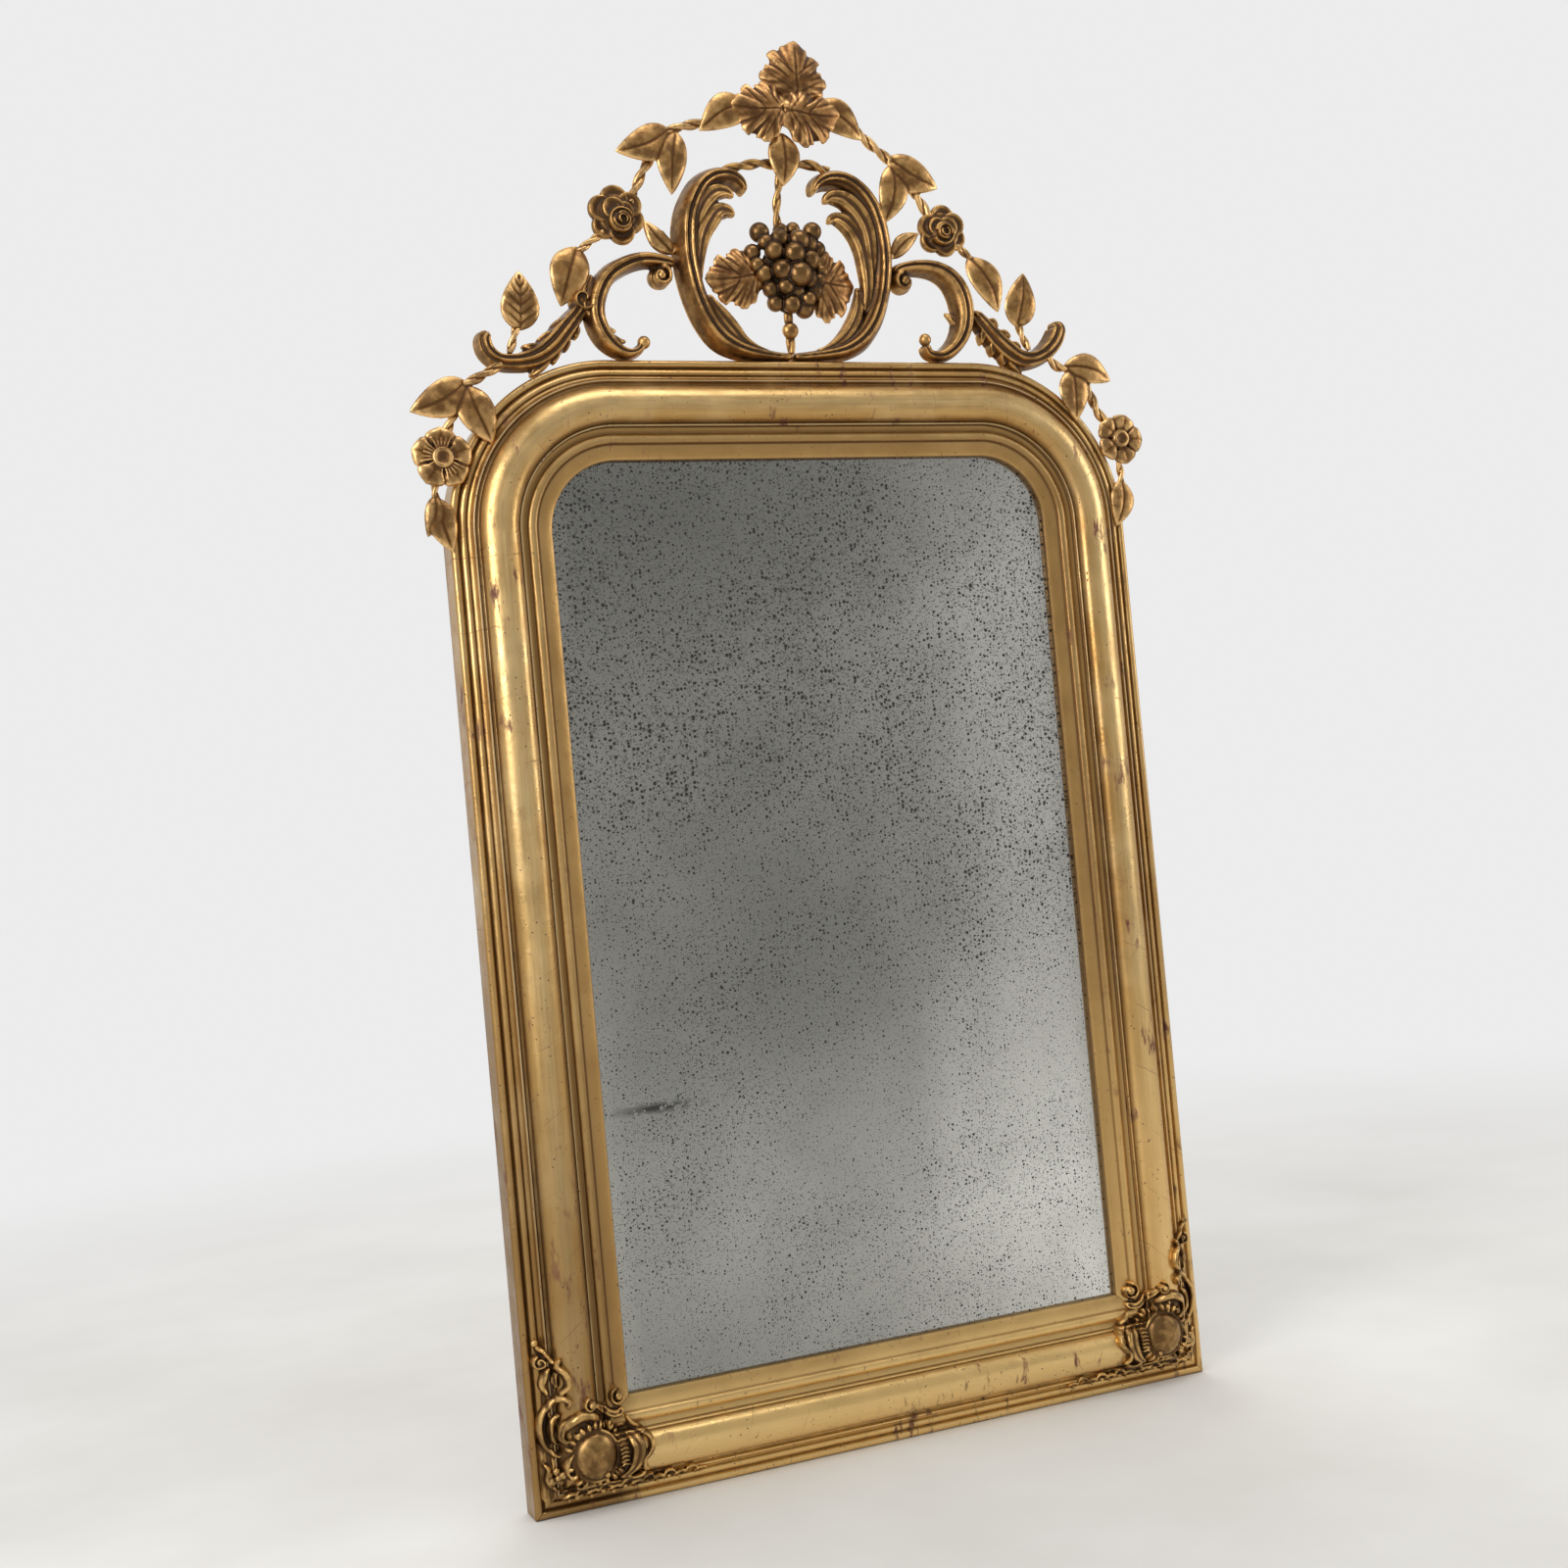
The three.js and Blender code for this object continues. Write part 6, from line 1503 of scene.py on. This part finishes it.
# %% The crown
crown = {
    "crown_leaf_top": [vine_leaf((30, 1566), (36, 1636), 80, 17, 2, 9, 1.8, 2, 21),
                       vine([(33, 1586), (33, 1568), (36, 1545)], 8, 11, 30)],
    "crown_leaf_left": [vine_leaf((8, 1549), (-57, 1551), 68, 24, 4, 8, 2.0, 3, 5)],
    "crown_leaf_right": [vine_leaf((14, 1547), (84, 1545), 68, 24, -4, 8, 2.0, 3, 12)],
    "crown_leaf_hanging": [leaf((9, 1524), (5, 1461), 41, 17, 3, 3, bend=1)],
    "crown_back_leaf_left": [leaf((-28, 1556), (-94, 1522), 42, 16, 6, 3, bend=-6)],
    "crown_back_leaf_right": [leaf((46, 1556), (112, 1521), 44, 16, 6, 3, bend=7)],
}
LOBED_LEAVES = ("crown_leaf_top", "crown_leaf_left", "crown_leaf_right")
for node, shells in crown.items():
    gilding = vine_carving if node in LOBED_LEAVES else leaf_carving
    carved("carved_" + node, shells, gilding, "leaf_gilding", [node], 0.8)

# %% Leaves with their own stalks
STALKED = {
    "leaf_below_rose_left": ([(-219, 1401), (-240, 1386), (-256, 1374)], dict(
        base=(-251, 1383), tip=(-277, 1315), width=46, bend=-3, bow=7)),
    "leaf_below_rose_right": ([(228, 1399), (244, 1386), (254, 1376)], dict(
        base=(243, 1385), tip=(277, 1318), width=42, bend=3, bow=7)),
    "leaf_beside_rose_left": ([(-136, 1380), (-143, 1392), (-152, 1402)], dict(
        base=(-137, 1378), tip=(-171, 1416), width=24, bend=4, bow=3)),
    "leaf_beside_rose_right": ([(136, 1380), (144, 1392), (154, 1402)], dict(
        base=(139, 1381), tip=(178, 1412), width=22, bend=4, bow=3)),
    "upright_leaf_left": ([(-327, 1300), (-334, 1278), (-340, 1262)], dict(
        base=(-326, 1288), tip=(-322, 1354), width=45, bow=4, veins=6, fullest=0.36)),
    "upright_leaf_right": ([(303, 1312), (307, 1292), (316, 1272)], dict(
        base=(301, 1301), tip=(317, 1367), width=43, bow=4, fullest=0.36)),
}
for node, (stalk, values) in STALKED.items():
    carved("carved_" + node, [vine(stalk, 10, 8, 38), leaf(back=13, **values)], leaf_carving, "leaf_gilding",
           [node], 0.8)

# %% [markdown]
# ## Lower sprigs, flowers and drop leaves
# Beside each shoulder hang two leaves, an open flower with five cupped petals round a button, and a last
# leaf.

# %% Open flowers
def flower(centre, radius, turn, ribs, back=20.0):
    """Five cupped petals round a sunk button; the ribs of a petal run a little way out from the middle."""
    shells = []
    for k in range(5):
        angle = math.radians(turn + 72 * k)
        out = (math.sin(angle), math.cos(angle))
        start = (centre[0] + out[0] * radius * 0.06, centre[1] + out[1] * radius * 0.06)
        tip = (centre[0] + out[0] * radius * 1.05, centre[1] + out[1] * radius * 1.05)
        shells.append(leaf(start, tip, radius * 1.05, back + 1.4 * (k % 2), 3.0, 2.6, 5.4, 0.68,
            turn_tip=2.2, rib=0.0))
        for off in ribs:
            rows = [(centre[0] + radius * (r * out[0] + off * r * out[1]),
                     centre[1] + radius * (r * out[1] - off * r * out[0]), half, 7.0)
                    for r, half in ((0.3, 1.9), (0.46, 1.7), (0.6, 1.3), (0.7, 0.8))]
            shells.append(stroke(rows, round_section, back + 2.2, step=1.2))
    shells.append(turned(centre, [(0.2, back - 1), (radius * 0.6, back - 1), (radius * 0.62, back + 2),
                                  (0.2, back + 2.4)], 40))
    shells.append(turned(centre, [(radius * 0.36, back), (radius * 0.38, back + 8), (radius * 0.33,
        back + 10.4),
                                  (radius * 0.27, back + 11), (radius * 0.2, back + 10),
                                  (radius * 0.1, back + 8.6),
                                  (0.2, back + 8.2)], 30))
    return shells


for side, centre, radius, turn, ribs in (("left", (-427.6, 1145), 32.4, 0, (-0.5, -0.25, 0.0, 0.25, 0.5)),
                                         ("right", (426.6, 1158.5), 30.7, 20, ())):
    carved("carved_flower_" + side, flower(centre, radius, turn, ribs), leaf_carving, "leaf_gilding",
           ["flower_" + side], 0.8, 2)

# %% Sprigs and drop leaves beside the shoulders
LOWER_SPRIGS = {
    "left": ([(-352, 1249), (-376, 1235), (-398, 1223), (-406, 1201), (-418, 1177), (-426, 1163)],
             [dict(base=(-394, 1229), tip=(-458, 1196), width=42, bend=6, bow=5),
              dict(base=(-394, 1224), tip=(-370, 1161), width=43, bend=-3, bow=6)]),
    "right": ([(338, 1261), (352, 1249), (376, 1245), (392, 1219), (402, 1193), (418, 1177)],
              [dict(base=(358, 1250), tip=(423, 1232), width=38, bend=5, bow=5),
               dict(base=(371, 1248), tip=(369, 1182), width=42, bend=-4, bow=6)]),
}
for side, (route, leaves) in LOWER_SPRIGS.items():
    shells = [vine(route, 12, 13, 46)] + [leaf(back=20, **values) for values in leaves]
    carved("carved_lower_sprig_" + side, shells, leaf_carving, "leaf_gilding", ["lower_sprig_" + side], 0.85)
for side, stalk, leaves in (
        ("left", [(-434, 1128), (-438, 1110), (-436, 1092)],
         [dict(base=(-437, 1102), tip=(-424, 1043), width=34, bend=-3),
         dict(base=(-438, 1104), tip=(-450, 1060),
                                                                          width=24, bend=3)]),
        ("right", [(424, 1132), (426, 1114), (424, 1096)],
         [dict(base=(425, 1108), tip=(412, 1050), width=34, bend=3)])):
    shells = [vine(stalk, 9.5, 16, 36)] + [leaf(back=21, bow=3, **values) for values in leaves]
    carved("carved_drop_leaf_" + side, shells, leaf_carving, "leaf_gilding", ["drop_leaf_" + side], 0.8)

# %% [markdown]
# ## The corner ornaments
# Pressed composition ornaments cover the two bottom mitres: a smooth dome in strapwork, with loops up the
# stile and a trail of leaves along the rail. Each is soft when it is laid, so it follows the moulding
# under it: every stroke here stands on the moulding's own height. Places are given from the frame's outer
# side and its foot.

# %% How high the moulding stands under an ornament
FRONT = np.array([point for point in frame_profile[1:-6] + slip_profile[3:-4]], float)


def resting_height(across, reach=3.0):
    """The highest front of the moulding near a place, because soft composition bridges its narrow hollows."""
    return np.max([np.interp(across + shift, FRONT[:, 0], FRONT[:, 1]) for shift in np.linspace(-reach,
        reach, 7)], 0)


def on_corner(xz):
    """How far forward of the crest's back the moulding stands at a place beside a bottom corner."""
    return resting_height(np.minimum(HALF_WIDTH - np.abs(xz[..., 0]), xz[..., 1])) - BACK_Y - 4.0


# %% The strapwork tables: distance from the outer side, height, half width, depth
GROUND = [
    [(16, 16, 9, 4), (18, 50, 10, 4), (18, 90, 10, 4), (22, 128, 9, 4), (22, 160, 7, 4), (14, 184, 4, 4)],
    [(24, 20, 8, 4), (60, 24, 9, 4), (100, 24, 9, 4), (140, 23, 7, 4), (176, 20, 4, 4)],
    [(38, 92, 10, 4), (58, 100, 12, 4), (84, 100, 14, 4), (104, 104, 14, 4)],
    [(98, 92, 12, 4), (106, 70, 13, 4), (104, 48, 12, 4), (94, 32, 9, 4)],
    [(34, 40, 10, 4), (36, 64, 8, 4), (38, 86, 9, 4)],
]
ROLLS = [
    [(30, 66, 2.6, 9), (19, 74, 3.6, 11), (12, 88, 4.0, 12), (12, 106, 4.2, 12), (20, 121, 4.0, 12),
     (32, 130, 4.6, 12), (41, 126, 4.2, 12), (39, 117, 2.4, 9)],
    [(28, 78, 1.6, 8), (22, 90, 4.4, 10), (24, 104, 4.2, 10), (32, 113, 2.0, 8)],
    [(37, 80, 1.6, 8), (31, 88, 3.6, 11), (33, 99, 3.8, 11), (40, 107, 2.0, 8)],
    [(33, 133, 2.2, 9), (42, 143, 4.6, 12), (40, 155, 4.6, 12), (32, 164, 4.0, 12), (36, 172, 2.4, 9)],
    [(22, 132, 2.0, 8), (18, 144, 4.4, 11), (22, 156, 4.2, 11), (27, 163, 2.4, 9)],
    [(31, 140, 1.4, 7), (29, 149, 3.2, 10), (31, 158, 1.6, 7)],
    [(30, 166, 2.6, 10), (24, 176, 3.2, 11), (16, 184, 3.4, 11), (13, 190, 2.6, 9)],
    [(31, 93, 2.4, 9), (38, 101, 5.4, 12), (50, 107.5, 7.0, 12.5), (62, 107.5, 6.2, 12.5),
    (74, 101, 3.0, 10)],
    [(70, 117, 2.6, 11), (79, 110, 4.2, 12), (87, 103, 4.6, 13), (96, 100, 4.6, 13), (106, 103, 3.4, 11)],
    [(88, 96, 3.6, 12), (84, 88, 3.2, 12), (86, 80, 2.4, 9)],
    [(106, 96, 2.0, 9), (111, 88, 3.6, 12), (118, 81, 4.0, 12), (127, 73, 4.2, 12.5), (129, 63, 4.2, 12.5),
     (124, 55, 3.8, 12), (118, 49, 3.4, 12), (119, 41, 3.6, 12), (125, 36, 2.4, 9)],
    [(103, 82, 4.0, 10), (110, 74, 7.6, 12.5), (113, 62, 8.4, 13), (110, 49, 7.6, 12.5), (102, 39, 4.6, 11),
     (92, 33, 2.4, 9)],
    [(99, 36, 2.6, 10), (106, 30, 4.2, 12), (115, 30, 4.4, 12), (120, 36, 2.2, 9)],
    [(42, 32, 2.0, 9), (50, 29, 4.2, 12), (60, 31, 4.4, 12), (68, 26, 2.4, 9)],
    [(74, 32, 2.2, 9), (82, 28, 4.0, 12), (92, 27, 4.0, 12), (98, 23, 2.0, 9)],
    [(38, 44, 2.0, 8), (33, 52, 3.6, 11), (35, 62, 3.8, 11), (41, 70, 1.8, 8)],
    [(12, 60, 2.0, 8), (17, 54, 3.6, 11), (15, 42, 3.6, 11), (20, 34, 3.0, 10), (28, 31, 1.8, 8)],
]
BALLS = [(13, 190, 4.0, 9), (100, 118, 4.2, 13), (64, 119, 3.2, 13), (17, 168, 3.0, 9), (24, 46, 3.2, 12),
         (8, 12, 3.4, 8), (15, 10, 3.2, 8), (10, 19, 3.0, 8), (45, 20, 3.2, 9), (76, 42, 2.8, 9),
         (120, 96, 3.4, 10), (114, 103, 3.6, 11), (47, 90, 2.6, 9)]
VOLUTES = [((64, 119), 7.6, 2.4), ((100, 118), 10.4, 2.9), ((17, 168), 7.6, 2.5)]


def corner_ornament(sign, seed):
    """The strokes of one ornament; the hand that pressed it left small differences, which the seed sets."""
    rng = np.random.default_rng(seed)

    def place(row, drift=0.6):
        shift = rng.uniform(-drift, drift, 2)
        return (sign * (HALF_WIDTH - row[0] - shift[0]), row[1] + shift[1], *row[2:])

    shells = [stroke([place(row, 0) for row in rows], place=on_corner) for rows in GROUND]
    shells += [stroke([place(row) for row in rows], tongue_section if index % 3 == 2 else round_section,
                      place=on_corner, step=1.2) for index, rows in enumerate(ROLLS)]
    dome = place((66, 63), 0)
    shells.append(turned(dome, [(24.5 * math.cos(t), 14.3 * math.sin(t)) for t in np.linspace(-0.1, 1.56,
        16)], 56,
                         1.06, on_corner))
    shells.append(turned(dome, [(20, 0), (26.8, 1), (27.2, 3), (25.6, 4.6), (20, 4)], 56, 1.06, on_corner))
    for degrees in (*range(32, 160, 14), *range(196, 350, 16)):
        a = math.radians(degrees)
        rows = [(66 + math.cos(a) * r, 63 + math.sin(a) * r * 1.06, half, deep)
                for r, half, deep in ((26, 1.6, 8), (29.5, 3.4, 11), (33.5, 3.2, 10), (36.5, 1.2, 6))]
        shells.append(stroke([place(row, 0.4) for row in rows], place=on_corner, step=1.2))
    for (x, z), radius, half in VOLUTES:
        shells.append(curl(place((x, z), 0), radius, radius * 0.2, 90, 90 - sign * 500, (half, half * 0.7),
            (12, 12),
                           place=on_corner, steps=16))
    for x, z, radius, forward in BALLS:
        centre = place((x, z), 0)
        stands = float(on_corner(np.array([centre])))
        shells.append(ball(centre, radius, stands + forward, 0.9, 16))
    for k in range(5):
        a = math.radians(90 + 72 * k)
        centre = place((24 + 6.2 * math.cos(a), 46 + 6.2 * math.sin(a)), 0)
        shells.append(ball(centre, 4.0, float(on_corner(np.array([centre]))) + 8.5, 0.7, 16))
    shells.append(stroke([place(row, 0) for row in ((95, 80, 5.6, 9), (97, 66, 6.2, 10), (95, 46, 5.0, 9))],
                         place=on_corner))
    for z in np.arange(48, 79, 4.2):
        shells.append(stroke([place((90.5, z, 1.3, 11.5), 0), place((96, z + 2.4, 1.5, 12.5), 0),
                              place((102, z + 1, 1.3, 11.5), 0)], place=on_corner, step=1.2))
    for k, x in enumerate(np.arange(34, 186, 12.5)):
        small = 1.0 - 0.35 * max(0.0, (x - 110) / 76)
        up = 20 + 3.5 * (k % 2)
        shells.append(stroke([place(row) for row in (
            (x - 5, up - 3, 1.6 * small, 8), (x, up + 4 * small, 3.4 * small, 11 * small),
            (x + 7, up + 5 * small, 3.2 * small, 11 * small), (x + 11, up, 1.6 * small, 8))], place=on_corner,
            step=1.2))
        centre = place((x + 3, up - 3 * small), 0)
        shells.append(ball(centre, 2.9 * small, float(on_corner(np.array([centre]))) + 7, 0.9, 12))
    return shells


for side, sign, seed in (("left", -1, 4), ("right", 1, 9)):
    carved("pressed_corner_ornament_" + side, corner_ornament(sign, seed), corner_carving, "carved_gilding",
           ["corner_ornament_" + side], 0.86, 3)

# %% [markdown]
# ## The hangers
# Two iron straps are screwed to the back of the stiles. The end of each is rolled into an eye, and a D
# ring bent from round wire swings in it. Nodes make the wire, because it only follows a path.

# %% Straps, screws and rings
wire_tree, given = new_tree("bent wire", [
    ("Wire Radius", "NodeSocketFloat", 0.00225), ("Sides", "NodeSocketInt", 14),
    ("Material", "NodeSocketMaterial", None)])
tree = wire_tree
path = put(tree, "GeometryNodeResampleCurve", {"Curve": given["Geometry"], "Length": 0.0012}, mode="LENGTH")
ring = put(tree, "GeometryNodeCurvePrimitiveCircle", {
    "Resolution": given["Sides"], "Radius": given["Wire Radius"]}, out=None)
wire = put(tree, "GeometryNodeCurveToMesh", {
    "Curve": path, "Profile Curve": ring.outputs[0], "Fill Caps": True}, out=None)
ended(tree, wire.outputs[0], given["Material"])

RING_PLACE = {"left": -393.75, "right": 393.75}
EYE_Y, EYE_HEIGHT, EYE_BORE, EYE_OUTER = 22.9, 985.0, 2.6, 4.55
STRAP_REACH, STRAP_HALF, STRAP_THICK = 62.0, 11.0, 2.4


def ring_line():
    """The D ring's middle line: a straight bar in the eye and a round bowl below it."""
    bar = [(x, 0.0) for x in np.linspace(-15, 15, 7)]
    right = [(15.5 + 4.5 * math.sin(a), -4.5 + 4.5 * math.cos(a)) for a in np.linspace(0.2, 1.5, 6)]
    bowl = [(20 * math.cos(a), -10 - 20 * math.sin(a)) for a in np.linspace(0.05, math.pi - 0.05, 30)]
    left = [(-x, z) for x, z in reversed(right)]
    return bar + right + bowl + left


def strap_with_eye(middle):
    """The strap's shells: the plate with its corners taken off, and the eye as a thick half tube."""
    shape = bmesh.new()
    bmesh.ops.create_cube(shape, size=1)
    length = STRAP_REACH - 1
    for corner in shape.verts:
        corner.co = Vector((middle + corner.co.x * 2 * STRAP_HALF,
                            BACK_Y + GAP + (corner.co.y + 0.5) * STRAP_THICK,
                            EYE_HEIGHT + 1 + (corner.co.z + 0.5) * length)) * MM
    upright = [edge for edge in shape.edges if abs(edge.verts[0].co.y - edge.verts[1].co.y) > 0.001
               and min(v.co.z for v in edge.verts) > (EYE_HEIGHT + 30) * MM]
    bmesh.ops.bevel(shape, geom=upright, offset=5 * MM, segments=6, affect="EDGES", profile=0.5)
    sharp = [edge for edge in shape.edges if edge.calc_face_angle(0) > 1.2]
    bmesh.ops.bevel(shape, geom=sharp, offset=0.4 * MM, segments=2, affect="EDGES", profile=0.5)
    angles = np.linspace(-2.6, 2.75, 34)
    rings = []
    for radius in (EYE_BORE, EYE_OUTER):
        rings.append([(EYE_Y - radius * math.cos(a), EYE_HEIGHT - radius * math.sin(a)) for a in angles])
    outline = rings[0] + rings[1][::-1]
    ends = [[shape.verts.new(Vector((middle + off, y, z)) * MM) for y, z in outline]
            for off in (-STRAP_HALF, STRAP_HALF)]
    count = len(angles)
    for k in range(count - 1):
        for end, order in ((0, 1), (1, -1)):
            a, b = ends[end][k], ends[end][k + 1]
            c, d = ends[end][2 * count - 2 - k], ends[end][2 * count - 1 - k]
            shape.faces.new((a, b, c, d)[::order])
    total = len(outline)
    for k in range(total):
        shape.faces.new((ends[0][k], ends[1][k], ends[1][(k + 1) % total], ends[0][(k + 1) % total]))
    return shape


def screw(shape, middle, height):
    """A slotted round head on the strap."""
    top = BACK_Y + STRAP_THICK + GAP
    profile = [(4.2, -0.4), (4.2, 0.3), (3.7, 1.0), (2.4, 1.6), (0.05, 1.9)]
    around = 20
    rings = [[shape.verts.new(Vector((middle + r * math.cos(a), top + h, height + r * math.sin(a))) * MM)
              for a in np.linspace(0, 2 * math.pi, around, endpoint=False)] for r, h in profile]
    for low, high in zip(rings, rings[1:]):
        for k in range(around):
            shape.faces.new((low[k], low[(k + 1) % around], high[(k + 1) % around], high[k]))
    shape.faces.new(rings[-1])
    shape.faces.new(rings[0][::-1])
    slot = bmesh.ops.create_cube(shape, size=1)["verts"]
    tilt = Matrix.Rotation(0.5 + height * 0.9, 4, "Y")
    for corner in slot:
        local = tilt @ Vector((corner.co.x * 7.0, corner.co.y * 0.5, corner.co.z * 0.9))
        corner.co = (Vector((middle, top + 1.75, height)) + local) * MM


def solid_from(name, shape, material, slot, node, body):
    """Makes an object from a bmesh, with its normals outward and soft shading, and hands it over."""
    bmesh.ops.recalc_face_normals(shape, faces=shape.faces)
    mesh = bpy.data.meshes.new(name)
    shape.to_mesh(mesh)
    shape.free()
    obj = bpy.data.objects.new(name, mesh)
    bpy.context.scene.collection.objects.link(obj)
    mesh.materials.append(material)
    mesh.shade_smooth()
    mesh.set_sharp_from_angle(angle=math.radians(35))
    handed_over(obj, slot, node, body=body)
    return obj


for side, middle in RING_PLACE.items():
    shape = strap_with_eye(middle)
    for height in (EYE_HEIGHT + 22, EYE_HEIGHT + 50):
        screw(shape, middle, height)
    solid_from("rolled_hanger_strap_" + side, shape, iron, "hanger_iron", "hanger_strap_" + side, "mirror")
    path = curve_object("ring path", [(middle + x, EYE_Y, EYE_HEIGHT + z) for x, z in ring_line()],
        closed=True)
    bent = grown("bent_ring_" + side, path, wire_tree, wire_radius=2.2 * MM, sides=16)
    bent.data.materials.clear()
    bent.data.materials.append(iron)
    bent.data.shade_smooth()
    handed_over(bent, "hanger_iron", "hanger_ring_" + side, body="ring_" + side)
print("hangers made")

# %% [markdown]
# ## The glass and the boards
# The glass, the backboards and the glue blocks are plain in the real mirror too, so their solids stay and
# only get a finish.

# %% Finishes for the solids that stay as they are
def finished_solid(node, material):
    """Gives one of the frame's own solids its material."""
    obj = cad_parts[node]
    obj.data.materials.clear()
    obj.data.materials.append(material)


KEPT_SOLIDS = {"mirror_glass": silvered_glass, "backboard_": board_deal, "glass_block_": block_deal}
for beginning, material in KEPT_SOLIDS.items():
    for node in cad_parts:
        if node.startswith(beginning):
            finished_solid(node, material)
print("solids that stay:", ", ".join(KEPT_SOLIDS))
